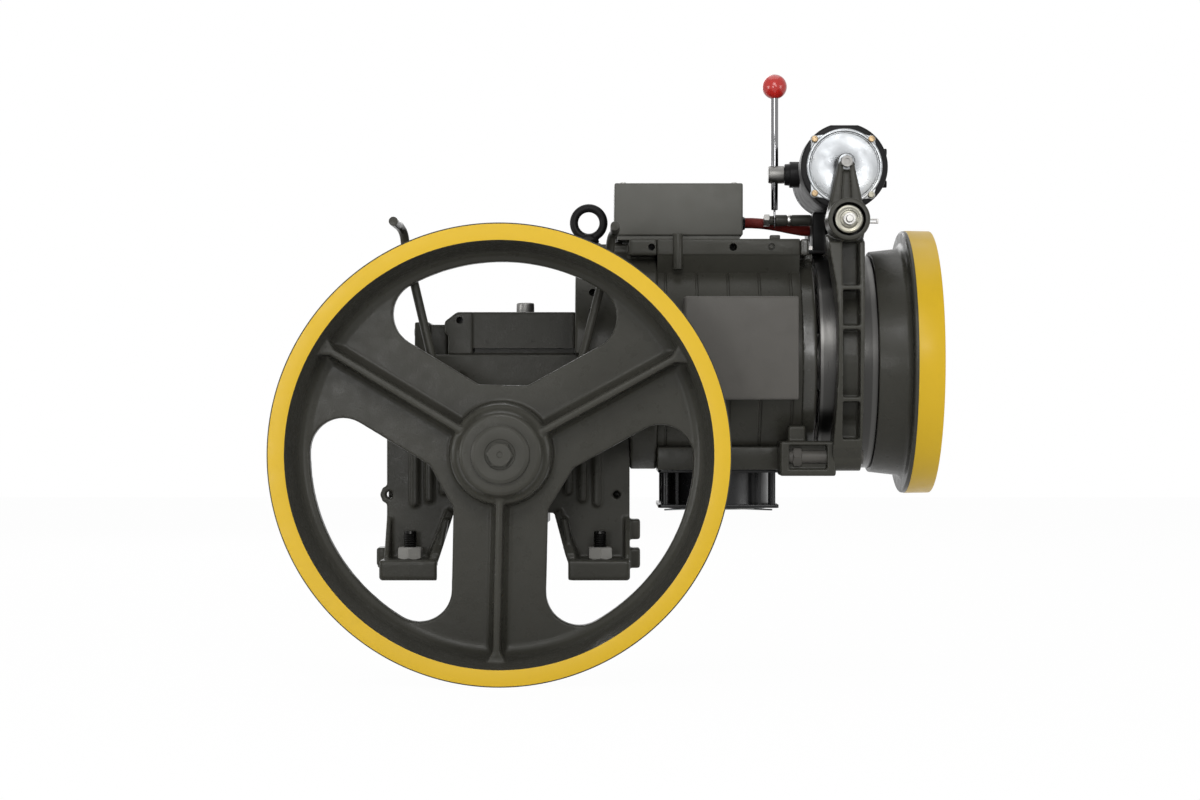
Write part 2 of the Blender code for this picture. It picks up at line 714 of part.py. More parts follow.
def build_output_shaft():
    hub_face = SHEAVE_FRONT_Y + HUB_FACE_SETBACK
    hub_rear = hub_face + HUB_LENGTH
    collar = hub_rear + SEAT
    seat_front = collar + SHAFT_COLLAR_WIDTH
    bearing_end = OUTPUT_BEARING_OFFSET + OUTPUT_BEARING_WIDTH
    spacer = OUTPUT_BEARING_OFFSET - SEAT
    profile = [(0.0, bearing_end), (BEARING_SEAT_RADIUS, bearing_end),
               (BEARING_SEAT_RADIUS, spacer), (WHEEL_SEAT_RADIUS, spacer),
               (WHEEL_SEAT_RADIUS, -spacer), (BEARING_SEAT_RADIUS, -spacer),
               (BEARING_SEAT_RADIUS, seat_front), (SHAFT_COLLAR_RADIUS, seat_front),
               (SHAFT_COLLAR_RADIUS, collar), (SHEAVE_SEAT_RADIUS, collar), (SHEAVE_SEAT_RADIUS, hub_face),
               (0.0, hub_face)]
    shaft = turned("output_shaft", "Y", OUTPUT_LINE, profile, STEEL)
    thread = seat_hole("shaft_end_thread", "Y", OUTPUT_LINE, hub_face - 0.01,
                       hub_face + END_BOLT_LENGTH, END_BOLT_RADIUS, STEEL)
    return cut(shaft, thread)


def tooth_outline(twist):
    """The wheel's section in the XZ plane: straight-sided teeth whose root and tip corners lie on involutes.

    One tooth is centred above the axis and the whole is turned by `twist`.
    """
    base = WHEEL_PITCH_RADIUS * math.cos(PRESSURE_ANGLE)
    involute = math.tan(PRESSURE_ANGLE) - PRESSURE_ANGLE
    half_pitch_angle = math.pi / (2 * WHEEL_TEETH) - BACKLASH / (4 * WHEEL_PITCH_RADIUS)
    points = []
    for tooth in range(WHEEL_TEETH):
        middle = math.pi / 2 - twist - tooth * 2 * math.pi / WHEEL_TEETH
        for side, radii in ((1, (WHEEL_ROOT_RADIUS, WHEEL_TIP_RADIUS)),
                            (-1, (WHEEL_TIP_RADIUS, WHEEL_ROOT_RADIUS))):
            for radius in radii:
                pressure = math.acos(min(1.0, base / radius))
                half = half_pitch_angle + involute - (math.tan(pressure) - pressure)
                angle = middle + side * half
                points.append((radius * math.cos(angle), OUTPUT_AXIS_Z + radius * math.sin(angle)))
    return points


def build_worm_wheel():
    """A bronze rim with helical teeth, seated on an iron hub."""
    lead_slope = WORM_LEAD / (2 * math.pi * WORM_PITCH_RADIUS)
    shape = bmesh.new()
    rings = []
    for y in (-WHEEL_WIDTH / 2, WHEEL_WIDTH / 2):
        section = tooth_outline(y * lead_slope / WHEEL_PITCH_RADIUS)
        rings.append([shape.verts.new((x, y, z)) for x, z in section])
    for near, far in zip(rings, rings[1:]):
        for i in range(len(near)):
            j = (i + 1) % len(near)
            shape.faces.new((near[i], near[j], far[j], far[i]))
    shape.faces.new(rings[0])
    shape.faces.new(reversed(rings[-1]))
    bmesh.ops.recalc_face_normals(shape, faces=shape.faces)
    rim = mesh_object("worm_wheel_rim", shape, BRONZE)
    seat = WHEEL_ROOT_RADIUS - 0.012
    cut(rim, seat_hole("wheel_rim_bore", "Y", OUTPUT_LINE, -WHEEL_WIDTH, WHEEL_WIDTH, seat, BRONZE,
                       turns=False))

    hub_half = OUTPUT_BEARING_OFFSET - 0.010
    hub_outer = WHEEL_SEAT_RADIUS + 0.014
    web = WHEEL_WIDTH / 6
    flange = WHEEL_WIDTH / 2
    hole = clear_of(WHEEL_SEAT_RADIUS, facets(seat))
    hub = turned("worm_wheel_hub", "Y", OUTPUT_LINE,
                 [(seat, flange), (seat, -flange), (seat - 0.014, -web),
                  (hub_outer, -web), (hub_outer, -hub_half), (hole, -hub_half), (hole, hub_half),
                  (hub_outer, hub_half), (hub_outer, web), (seat - 0.014, web)], CASTING, closed=True)
    return rim, hub


def worm_thread():
    """The single-start thread as a ridge wound round the shaft, running out at both ends."""
    steps_per_turn = 8
    turns = THREAD_LENGTH / WORM_LEAD
    count = int(turns * steps_per_turn)
    half_pitch_width = WORM_LEAD / 4 - BACKLASH / 4
    inner = WORM_ROOT_RADIUS - 0.001
    shape = bmesh.new()
    sections = []
    for i in range(count + 1):
        progress = i / steps_per_turn - turns / 2
        fade = min(1.0, 0.15 + 2.0 * min(i, count - i) / steps_per_turn)
        tip = WORM_ROOT_RADIUS + fade * (WORM_TIP_RADIUS - WORM_ROOT_RADIUS)
        angle = 2 * math.pi * (progress - 0.25)
        middle = WORM_LEAD / 2 + WORM_LEAD * progress
        section = []
        for radius, side in ((inner, -1), (tip, -1), (tip, 1), (inner, 1)):
            half = half_pitch_width - (radius - WORM_PITCH_RADIUS) * math.tan(PRESSURE_ANGLE)
            section.append(shape.verts.new((middle + side * half, radius * math.cos(angle),
                                            radius * math.sin(angle))))
        sections.append(section)
    for near, far in zip(sections, sections[1:]):
        for a in range(4):
            b = (a + 1) % 4
            shape.faces.new((near[a], near[b], far[b], far[a]))
    shape.faces.new(sections[0])
    shape.faces.new(reversed(sections[-1]))
    bmesh.ops.recalc_face_normals(shape, faces=shape.faces)
    return mesh_object("worm_thread", shape, STEEL, Matrix.Translation(WORM_LINE))


def build_worm_shaft():
    """Worm, motor journal and the drum seat, in one piece of steel."""
    left_bearing = worm_bearing_places()[0]
    shield_bearing = shield_start() + SHIELD_WIDTH - MOTOR_BEARING_WIDTH
    tail = shaft_tail_end()
    right = worm_bearing_places()[1]
    profile = [(0.0, tail), (SHAFT_TAIL_RADIUS, tail),
               (SHAFT_TAIL_RADIUS, shield_bearing + MOTOR_BEARING_WIDTH),
               (MOTOR_SEAT_RADIUS, shield_bearing + MOTOR_BEARING_WIDTH),
               (MOTOR_SEAT_RADIUS, right + WORM_BEARING_WIDTH + SEAT),
               (WORM_SEAT_RADIUS, right + WORM_BEARING_WIDTH + SEAT),
               (WORM_SEAT_RADIUS, right - SEAT), (WORM_ROOT_RADIUS, right - SEAT),
               (WORM_ROOT_RADIUS, left_bearing + WORM_BEARING_WIDTH + SEAT),
               (WORM_SEAT_RADIUS, left_bearing + WORM_BEARING_WIDTH + SEAT),
               (WORM_SEAT_RADIUS, left_bearing), (0.0, left_bearing)]
    shaft = turned("worm_shaft", "X", WORM_LINE, profile, STEEL)
    return join(shaft, worm_thread())


def worm_bearing_places():
    """Left faces of the worm's two bearings, flush with the ends of the tunnel."""
    return TUNNEL_LEFT_X + SEAT, TUNNEL_RIGHT_X - WORM_BEARING_WIDTH


def bell_end():
    return TUNNEL_RIGHT_X + SEAT + BELL_LENGTH


def frame_start():
    return bell_end() + SEAT


def shield_start():
    return frame_start() + MOTOR_LENGTH + SEAT


def shaft_tail_end():
    return FLANGE_X + FLANGE_WIDTH - 0.006


def build_bearings():
    pieces = []
    for name, low in (("output_front_bearing", -OUTPUT_BEARING_OFFSET - OUTPUT_BEARING_WIDTH),
                      ("output_rear_bearing", OUTPUT_BEARING_OFFSET)):
        pieces.append(ring(name, "Y", OUTPUT_LINE, BEARING_SEAT_RADIUS, OUTPUT_BEARING_RADIUS,
                           low, low + OUTPUT_BEARING_WIDTH, STEEL))
    for name, low in zip(("worm_end_bearing", "worm_drive_bearing"), worm_bearing_places()):
        pieces.append(ring(name, "X", WORM_LINE, WORM_SEAT_RADIUS, WORM_BEARING_RADIUS,
                           low, low + WORM_BEARING_WIDTH, STEEL))
    low = shield_start() + SHIELD_WIDTH - MOTOR_BEARING_WIDTH
    pieces.append(ring("motor_end_bearing", "X", WORM_LINE, MOTOR_SEAT_RADIUS, MOTOR_BEARING_RADIUS,
                       low, low + MOTOR_BEARING_WIDTH, STEEL))
    return pieces


# ---------------------------------------------------------------- gearbox casing

def casing_outline():
    """Front view of the lower casing: legs, round sump between them and shoulders up to the joint."""
    sump = WHEEL_TIP_RADIUS + WHEEL_ROOM + SUMP_WALL
    down = -math.pi / 2
    belly = arc((0.0, OUTPUT_AXIS_Z), sump, down - ARCH_HALF_ANGLE, down + ARCH_HALF_ANGLE, 10)
    foot_top = FOOT_HEIGHT - 0.002
    return ([(-FOOT_INNER_X, foot_top)] + belly +
            [(FOOT_INNER_X, foot_top), (CASING_RIGHT_X, foot_top), (CASING_RIGHT_X, SHOULDER_LOW_Z),
             (SHOULDER_RIGHT_X, SHOULDER_HIGH_Z), (SHOULDER_RIGHT_X, JOINT_Z), (SHOULDER_LEFT_X, JOINT_Z),
             (SHOULDER_LEFT_X, SHOULDER_HIGH_Z), (CASING_LEFT_X, SHOULDER_LOW_Z), (CASING_LEFT_X, foot_top)])


def foot_pieces():
    """Two foot rails with stud holes, relieved underneath between the machined pads."""
    pieces, holes = [], []
    for side in (-1, 1):
        name = "left" if side < 0 else "right"
        inner, outer = side * FOOT_INNER_X, side * FOOT_OUTER_X
        pieces.append(cuboid(f"{name}_foot", (min(inner, outer), -FOOT_HALF_LENGTH, 0.0),
                             (max(inner, outer), FOOT_HALF_LENGTH, FOOT_HEIGHT), CASTING, bevel=0.0025))
        relief = FOOT_HALF_LENGTH - FOOT_PAD_LENGTH
        holes.append(cuboid(f"{name}_foot_relief", (min(inner, outer) - 0.01, -relief, -0.01),
                            (max(inner, outer) + 0.01, relief, FOOT_RELIEF), CASTING))
        for end in (-1, 1):
            place = (side * FOOT_HOLE_X, end * FOOT_HOLE_Y, 0.0)
            holes.append(rod(f"{name}_stud_hole_{end + 1}", "Z", place, -0.01, FOOT_HEIGHT + 0.01,
                             FOOT_HOLE_RADIUS, CASTING))
    return pieces, holes


def foot_gussets():
    """Webs beside each foot stud: one along the casing's side, one along the arch."""
    webs = []
    root = CASING_HALF_DEPTH - 0.002
    low, reach = FOOT_HEIGHT - 0.002, FOOT_HALF_LENGTH - 0.012
    profile = [(root, low), (reach, low), (reach, low + 0.008), (root, low + GUSSET_HEIGHT)]
    sump = WHEEL_TIP_RADIUS + WHEEL_ROOM + SUMP_WALL
    arch_x = sump * math.sin(ARCH_HALF_ANGLE)
    arch_z = OUTPUT_AXIS_Z - sump * math.cos(ARCH_HALF_ANGLE)
    for end in (-1, 1):
        side_profile = [(end * y, z) for y, z in profile]
        for wall, inward in ((CASING_LEFT_X, 1), (CASING_RIGHT_X, -1)):
            other = wall + inward * GUSSET_THICKNESS
            webs.append(plate(f"side_gusset_{inward + 1}_{end + 1}", "YZ", [side_profile],
                              min(wall, other), max(wall, other), CASTING))
        for side in (-1, 1):
            slant = [(side * FOOT_INNER_X, low), (side * arch_x, arch_z),
                     (side * (arch_x + GUSSET_THICKNESS), arch_z),
                     (side * (FOOT_INNER_X + GUSSET_THICKNESS), low)]
            near, far = sorted((end * root, end * (FOOT_HALF_LENGTH - 0.018)))
            webs.append(plate(f"arch_gusset_{side + 1}_{end + 1}", "XZ", [slant], near, far, CASTING))
    return webs


def casing_trim():
    """Raised ribs, drilled ears and side lugs cast on the casing."""
    extras, holes = [], []
    front = -CASING_HALF_DEPTH
    for side in (-1, 1):
        for i in range(CASING_RIB_COUNT):
            x = side * (CASING_RIB_FIRST_X + i * CASING_RIB_PITCH)
            half = CASING_RIB_WIDTH / 2
            outline = arc((x, CASING_RIB_LOW_Z + half), half, -math.pi, 0.0, 4)
            outline += [(x + half, CASING_RIB_HIGH_Z), (x - half, CASING_RIB_HIGH_Z)]
            extras.append(plate(f"casing_rib_{side + 1}_{i}", "XZ", [outline], front - CASING_RIB_DEPTH,
                                front + 0.002, CASTING))
    extras.append(rod("left_ear", "Y", (EAR_LEFT_X, 0.0, EAR_Z), front, front + EAR_DEPTH, EAR_RADIUS,
                      CASTING))
    for name, x in (("left", EAR_LEFT_X), ("right", EAR_RIGHT_X)):
        holes.append(rod(f"{name}_ear_hole", "Y", (x, 0.0, EAR_Z), front - 0.01, front + EAR_DEPTH + 0.005,
                         EAR_HOLE_RADIUS, CASTING))
    for wall, direction, z in ((CASING_LEFT_X, -1, LOW_LUG_Z), (CASING_RIGHT_X, 1, LOW_LUG_Z),
                               (CASING_RIGHT_X, 1, HIGH_LUG_Z)):
        low_x, high_x = sorted((wall - direction * 0.004, wall + direction * LUG_REACH))
        extras.append(cuboid(f"side_lug_{direction + 1}_{round(z * 1000)}",
                             (low_x, LUG_Y - LUG_DEPTH / 2, z - LUG_HEIGHT / 2),
                             (high_x, LUG_Y + LUG_DEPTH / 2, z + LUG_HEIGHT / 2), CASTING, bevel=0.002))
    return extras, holes


def worm_bore(name, high_x):
    """The tunnel bored through the casing halves for the worm and its bearings."""
    return seat_hole(name, "X", WORM_LINE, TUNNEL_LEFT_X - 0.01, high_x, WORM_BEARING_RADIUS, CASTING,
                     turns=False)


def build_gearbox_housing():
    housing = plate("gearbox_housing", "XZ", [casing_outline()], -CASING_HALF_DEPTH, CASING_HALF_DEPTH,
                    CASTING)
    feet, foot_holes = foot_pieces()
    trim, trim_holes = casing_trim()
    join(housing, *feet, *foot_gussets(), *trim)
    room = WHEEL_TIP_RADIUS + WHEEL_ROOM
    through = CASING_HALF_DEPTH + 0.01
    cavity = rod("wheel_room", "Y", OUTPUT_LINE, -WHEEL_ROOM_HALF_WIDTH, WHEEL_ROOM_HALF_WIDTH, room,
                 CASTING)
    bores = seat_hole("output_bore", "Y", OUTPUT_LINE, -through, through, OUTPUT_BEARING_RADIUS, CASTING)
    passage = rod("shaft_passage", "X", WORM_LINE, 0.0, SHOULDER_RIGHT_X + 0.01, SHAFT_PASSAGE_RADIUS,
                  CASTING)
    return cut(housing, cavity, bores, worm_bore("lower_tunnel_bore", TUNNEL_RIGHT_X), passage, *foot_holes,
               *trim_holes, seat_for_end_cover())


def seat_for_end_cover():
    """Clears the worm end cover's flange below the joint, left of the tunnel."""
    return cuboid("end_cover_seat", (TUNNEL_LEDGE_LEFT_X - 0.01, -WORM_END_HALF_DEPTH - SEAT,
                                     WORM_END_BOTTOM_Z - SEAT),
                  (TUNNEL_LEFT_X, WORM_END_HALF_DEPTH + SEAT, JOINT_Z + 0.01), CASTING)


def build_upper_casing():
    """The worm tunnel's upper half, with a ledge along the joint and a chamfered end."""
    low = JOINT_Z + SEAT
    outline = [(TUNNEL_LEFT_X, low), (TUNNEL_RIGHT_X, low), (TUNNEL_RIGHT_X, TUNNEL_TOP_Z),
               (TUNNEL_LEFT_X + TUNNEL_CHAMFER, TUNNEL_TOP_Z),
               (TUNNEL_LEFT_X, TUNNEL_TOP_Z - TUNNEL_CHAMFER)]
    casing = plate("upper_casing", "XZ", [outline], -TUNNEL_HALF_DEPTH, TUNNEL_HALF_DEPTH, CASTING)
    ledge = cuboid("joint_ledge", (TUNNEL_LEFT_X, -CASING_HALF_DEPTH + 0.008, low),
                   (TUNNEL_RIGHT_X, CASING_HALF_DEPTH - 0.008, low + 0.006), CASTING)
    filler = seat_hole("filler_hole", "Z", (PLUG_X, 0.0, 0.0), JOINT_Z, TUNNEL_TOP_Z + 0.01,
                 PLUG_SPIGOT_RADIUS, CASTING)
    join(casing, ledge)
    return cut(casing, worm_bore("upper_tunnel_bore", TUNNEL_RIGHT_X + 0.01), filler)


def build_covers():
    """Bearing covers at both ends of the output shaft and the cover at the worm's free end."""
    covers = []
    bearing_outer = OUTPUT_BEARING_OFFSET + OUTPUT_BEARING_WIDTH + SEAT
    flange = CASING_HALF_DEPTH + SEAT
    face = flange + COVER_THICKNESS
    shaft_hole = clear_of(BEARING_SEAT_RADIUS, facets(COVER_RADIUS))
    spigot = OUTPUT_BEARING_RADIUS - COVER_SPIGOT_WALL
    for name, side in (("output_front_cover", -1), ("output_rear_cover", 1)):
        section = [(shaft_hole, face), (COVER_RADIUS - 0.003, face),
                   (COVER_RADIUS, face - 0.003), (COVER_RADIUS, flange), (OUTPUT_BEARING_RADIUS, flange),
                   (OUTPUT_BEARING_RADIUS, bearing_outer), (spigot, bearing_outer),
                   (spigot, flange), (shaft_hole, flange)]
        if side > 0:
            section = [(0.0, face)] + section[1:-1] + [(0.0, flange)]
            covers.append(turned(name, "Y", OUTPUT_LINE, section, CASTING))
        else:
            section = [(radius, -along) for radius, along in reversed(section)]
            covers.append(turned(name, "Y", OUTPUT_LINE, section, CASTING, closed=True))
    right = TUNNEL_LEFT_X - SEAT
    end = cuboid("worm_end_cover", (WORM_END_X, -WORM_END_HALF_DEPTH, WORM_END_BOTTOM_Z),
                 (right, WORM_END_HALF_DEPTH, WORM_END_TOP_Z), CASTING, bevel=0.006, segments=2)
    hollow = rod("worm_end_hollow", "X", WORM_LINE, WORM_END_X + 0.014, right + 0.01,
                 WORM_BEARING_RADIUS - 0.006, CASTING)
    return covers + [cut(end, hollow)]


def build_filler_plug():
    place = (PLUG_X, 0.0, 0.0)
    low = TUNNEL_TOP_Z + SEAT
    plug = turned("filler_plug", "Z", place,
                  [(0.0, low + PLUG_HEIGHT), (PLUG_RADIUS - 0.002, low + PLUG_HEIGHT),
                   (PLUG_RADIUS, low + PLUG_HEIGHT - 0.002), (PLUG_RADIUS, low), (PLUG_SPIGOT_RADIUS, low),
                   (PLUG_SPIGOT_RADIUS, low - PLUG_SPIGOT_LENGTH), (0.0, low - PLUG_SPIGOT_LENGTH)],
                  STEEL)
    return plug


def flat_below(name, low_x, high_x):
    """A cutter that leaves the round motor castings flat underneath."""
    wide = BELL_RADIUS + 0.02
    return cuboid(name, (low_x - 0.01, -wide, 0.0), (high_x + 0.01, wide, BOTTOM_RAIL_LOW_Z), CASTING)


def build_motor_adapter():
    """The bell: a hood over the casing's right end and a round flange for the motor."""
    left = TUNNEL_RIGHT_X + SEAT
    right = bell_end()
    bell = rod("motor_adapter", "X", WORM_LINE, left, right, BELL_RADIUS, CASTING)
    boss = rod("eye_bolt_boss", "Z", (EYE_BOLT_X, 0.0, 0.0), WORM_AXIS_Z, EYE_BOSS_TOP_Z, EYE_BOSS_RADIUS,
               CASTING)
    join(bell, boss)
    wide = BELL_RADIUS + 0.02
    below_hood = cuboid("room_for_casing", (left - 0.01, -wide, 0.0),
                        (CASING_RIGHT_X + SEAT, wide, JOINT_Z + SEAT), CASTING)
    flat = flat_below("bell_flat", left, right)
    bore = rod("bell_bore", "X", WORM_LINE, left - 0.01, right + 0.01, SHAFT_PASSAGE_RADIUS, CASTING)
    cavity = rod("bell_cavity", "X", WORM_LINE, right - BELL_CAVITY_DEPTH, right + 0.01, BELL_CAVITY_RADIUS,
                 CASTING)
    holes = [rod(f"bell_hole_{i}", "Y", (BELL_HOLE_X, 0.0, z), -wide, -BELL_RADIUS * 0.6, EAR_HOLE_RADIUS,
                 CASTING) for i, z in enumerate(BELL_HOLE_Z)]
    thread = seat_hole("eye_bolt_thread", "Z", (EYE_BOLT_X, 0.0, 0.0),
                       EYE_BOSS_TOP_Z - EYE_SHANK_LENGTH - 0.002, EYE_BOSS_TOP_Z + 0.01,
                       EYE_SHANK_RADIUS, CASTING)
    return cut(bell, below_hood, flat, bore, cavity, thread, *holes)


def build_eye_bolt():
    """Forged lifting eye: ring, collar and threaded shank."""
    low = EYE_BOSS_TOP_Z + SEAT
    place = (EYE_BOLT_X, 0.0, 0.0)
    centre_z = low + EYE_COLLAR_HEIGHT + EYE_RING_RADIUS
    section = arc((EYE_RING_RADIUS, 0.0), EYE_WIRE_RADIUS, math.pi / 2, -3 * math.pi / 2, 6)[:-1]
    eye = turned("eye_bolt", "Y", (EYE_BOLT_X, 0.0, centre_z), section, CASTING, closed=True)
    collar = rod("eye_collar", "Z", place, low, low + EYE_COLLAR_HEIGHT, EYE_COLLAR_RADIUS, CASTING,
                 tip_radius=EYE_COLLAR_RADIUS * 0.75)
    shank = rod("eye_shank", "Z", place, low - EYE_SHANK_LENGTH, low + 0.002, EYE_SHANK_RADIUS, CASTING)
    return join(eye, collar, shank)


# ---------------------------------------------------------------- motor

def build_motor_frame():
    left, right = frame_start(), frame_start() + MOTOR_LENGTH
    section = [(MOTOR_RADIUS, right)]
    for i in reversed(range(BAND_COUNT)):
        x = BAND_FIRST_X + (i + 0.5) * BAND_PITCH
        half = BAND_GROOVE_WIDTH / 2
        section += [(MOTOR_RADIUS, x + half), (MOTOR_RADIUS - BAND_GROOVE_DEPTH, x), (MOTOR_RADIUS, x - half)]
    inner = MOTOR_BORE_RADIUS - 0.002
    section += [(MOTOR_RADIUS, left), (inner, left), (inner, right)]
    frame = turned("motor_frame", "X", WORM_LINE, section, CASTING, closed=True)
    top = cuboid("top_rail", (left, -RAIL_HALF_DEPTH, TOP_RAIL_LOW_Z),
                 (right, RAIL_HALF_DEPTH, TOP_RAIL_HIGH_Z), CASTING)
    bottom = cuboid("bottom_rail", (left, -RAIL_HALF_DEPTH, BOTTOM_RAIL_LOW_Z),
                    (right, RAIL_HALF_DEPTH, BOTTOM_RAIL_HIGH_Z), CASTING)
    boss = rod("rail_boss", "Z", (RAIL_BOSS_X, -RAIL_HALF_DEPTH, 0.0), RAIL_BOSS_LOW_Z, TOP_RAIL_HIGH_Z,
               RAIL_BOSS_RADIUS, CASTING)
    join(frame, top, bottom, boss)
    bore = seat_hole("stator_bore", "X", WORM_LINE, left - 0.01, right + 0.01, MOTOR_BORE_RADIUS, CASTING,
                     turns=False)
    air = rod("air_opening", "Z", (FAN_X, 0.0, 0.0), 0.0, BOTTOM_RAIL_HIGH_Z, FAN_DUCT_RADIUS - 0.010,
              CASTING)
    return cut(frame, bore, air, flat_below("frame_flat", left, right))


def build_motor_insides():
    middle = frame_start() + MOTOR_LENGTH / 2
    half = STATOR_LENGTH / 2
    stator = ring("stator_core", "X", WORM_LINE, STATOR_INNER_RADIUS, MOTOR_BORE_RADIUS, middle - half,
                  middle + half, COPPER)
    rotor_radius = STATOR_INNER_RADIUS - ROTOR_AIR_GAP
    bore = clear_of(MOTOR_SEAT_RADIUS, facets(rotor_radius))
    rotor = turned("motor_rotor", "X", WORM_LINE,
                   [(rotor_radius, middle + half), (rotor_radius, middle - half),
                    (bore, middle - half + ROTOR_RING), (bore, middle + half - ROTOR_RING)],
                   STEEL, closed=True)
    return stator, rotor


def build_motor_end_shield():
    """Bearing shield on the brake side, with lugs that carry on the lines of the two rails."""
    left = shield_start()
    right = left + SHIELD_WIDTH
    shield = rod("motor_end_shield", "X", WORM_LINE, left, right, SHIELD_RADIUS, CASTING)
    lug_right = left + SHIELD_LUG_WIDTH
    top = cuboid("shield_top_lug", (left, -RAIL_HALF_DEPTH, TOP_RAIL_LOW_Z),
                 (lug_right, RAIL_HALF_DEPTH, TOP_RAIL_HIGH_Z), CASTING)
    bottom = cuboid("shield_bottom_lug", (left, -RAIL_HALF_DEPTH, BOTTOM_RAIL_LOW_Z),
                    (lug_right, RAIL_HALF_DEPTH, BOTTOM_RAIL_HIGH_Z), CASTING)
    pad = cuboid("magnet_bracket_pad", (lug_right - 0.002, -BRACKET_FOOT_HALF_DEPTH - 0.004, WORM_AXIS_Z),
                 (right, BRACKET_FOOT_HALF_DEPTH + 0.004, SHIELD_PAD_TOP_Z), CASTING)
    join(shield, top, bottom, pad)
    bearing = seat_hole("shield_bore", "X", WORM_LINE, left - 0.01, right + 0.01, MOTOR_BEARING_RADIUS,
                        CASTING, turns=False)
    recess = rod("shield_recess", "X", WORM_LINE, left - 0.01, left + SHIELD_RECESS_DEPTH,
                 SHIELD_RECESS_RADIUS, CASTING)
    return cut(shield, bearing, recess, flat_below("shield_flat", left, right))


def build_terminal_box():
    """A low tray on the motor's top rail under a deep lid, which hides it."""
    tray_low = TOP_RAIL_HIGH_Z + SEAT
    wall, room = BOX_WALL, BOX_SIDE_ROOM
    right_x = BOX_LEFT_X + BOX_LENGTH
    tray_reach = BOX_HALF_DEPTH - wall - room
    tray = cuboid("terminal_box", (BOX_LEFT_X + wall + room, -tray_reach, tray_low),
                  (right_x - wall - room, tray_reach, tray_low + BOX_BASE_HEIGHT), BOX_GREY)
    tray_room = cuboid("tray_room", (BOX_LEFT_X + 2 * wall + room, -tray_reach + wall, tray_low + wall),
                       (right_x - 2 * wall - room, tray_reach - wall, tray_low + BOX_BASE_HEIGHT + 0.01),
                       BOX_GREY)
    lid = cuboid("terminal_box_lid", (BOX_LEFT_X, -BOX_HALF_DEPTH, BOX_LID_LOW_Z),
                 (right_x, BOX_HALF_DEPTH, BOX_TOP_Z), BOX_GREY, bevel=0.0015)
    lid_room = cuboid("lid_room", (BOX_LEFT_X + wall, -BOX_HALF_DEPTH + wall, BOX_LID_LOW_Z - 0.01),
                      (right_x - wall, BOX_HALF_DEPTH - wall, BOX_TOP_Z - wall), BOX_GREY)
    seat = cuboid("lid_stop", (BOX_LEFT_X + wall / 2, -BOX_HALF_DEPTH + wall / 2,
                               tray_low + BOX_BASE_HEIGHT + SEAT),
                  (BOX_LEFT_X + 3 * wall, BOX_HALF_DEPTH - wall / 2, BOX_TOP_Z - wall / 2), BOX_GREY)
    end_x, end_z = CABLE_ROUTE[0]
    exits = [rod(f"cable_exit_{i}", "X", (0.0, CABLE_Y, end_z), end_x - 0.001, right_x + 0.01,
                 CABLE_RADIUS + 0.0015, BOX_GREY) for i in range(2)]
    cut(tray, tray_room, exits[0])
    cut(lid, lid_room)
    join(lid, seat)
    return tray, cut(lid, exits[1])


def build_front_junction_cover():
    """A deep bare cover on the motor's front, hollow towards the frame and cut to its curve."""
    cover = cuboid("front_junction_cover", (COVER_LEFT_X, COVER_FRONT_Y, COVER_LOW_Z),
                   (COVER_RIGHT_X, -MOTOR_RADIUS * 0.78, COVER_HIGH_Z), CASTING,
                   bevel=COVER_EDGE_RADIUS, segments=2)
    room = cuboid("junction_room", (COVER_LEFT_X + COVER_WALL, COVER_FRONT_Y + COVER_WALL,
                                    COVER_LOW_Z + COVER_WALL),
                  (COVER_RIGHT_X - COVER_WALL, 0.0, COVER_HIGH_Z - COVER_WALL), CASTING)
    motor = seat_hole("cover_saddle", "X", WORM_LINE, COVER_LEFT_X - 0.01, COVER_RIGHT_X + 0.01,
                      MOTOR_RADIUS, CASTING, turns=False)
    return cut(cover, room, motor)


# ---------------------------------------------------------------- cooling fan

def fan_levels():
    """Bottom and top of the fan frame, hung under the motor's bottom rail."""
    top = BOTTOM_RAIL_LOW_Z - SEAT
    return top - FAN_HEIGHT, top


def build_fan_housing():
    """Square fan frame with cut-away corners, a round duct and the arms that carry the rotor."""
    low, top = fan_levels()
    centre = (FAN_X, 0.0, 0.0)
    half_x, half_y = FAN_LENGTH / 2, FAN_WIDTH / 2
    housing = cuboid("fan_housing", (FAN_X - half_x, -half_y, low), (FAN_X + half_x, half_y, top), PLASTIC)
    duct = rod("fan_duct", "Z", centre, low - 0.01, top + 0.01, FAN_DUCT_RADIUS, PLASTIC)
    flange = FAN_ARM_HEIGHT
    notches = []
    for x_side in (-1, 1):
        for y_side in (-1, 1):
            x_far, y_far = FAN_X + x_side * (half_x + 0.01), y_side * (half_y + 0.01)
            x_near, y_near = FAN_X + x_side * (half_x - FAN_CORNER_CUT), y_side * (half_y - FAN_CORNER_CUT)
            notches.append(cuboid(f"fan_notch_{x_side + 1}_{y_side + 1}",
                                  (min(x_far, x_near), min(y_far, y_near), low + flange),
                                  (max(x_far, x_near), max(y_far, y_near), top - flange), PLASTIC))
    cut(housing, duct, *notches)
    arms = []
    for i in range(3):
        arm = cuboid(f"fan_arm_{i}", (0.0, -FAN_ARM_WIDTH / 2, top - FAN_ARM_HEIGHT),
                     (FAN_DUCT_RADIUS + 0.002, FAN_ARM_WIDTH / 2, top), PLASTIC)
        turn = Matrix.Rotation(math.radians(120 * i + 30), 4, "Z")
        arm.matrix_world = Matrix.Translation(centre) @ turn @ arm.matrix_world
        arms.append(arm)
    cap = rod("fan_motor_cap", "Z", centre, top - FAN_ARM_HEIGHT, top, FAN_HUB_RADIUS, PLASTIC)
    return join(housing, cap, *arms)


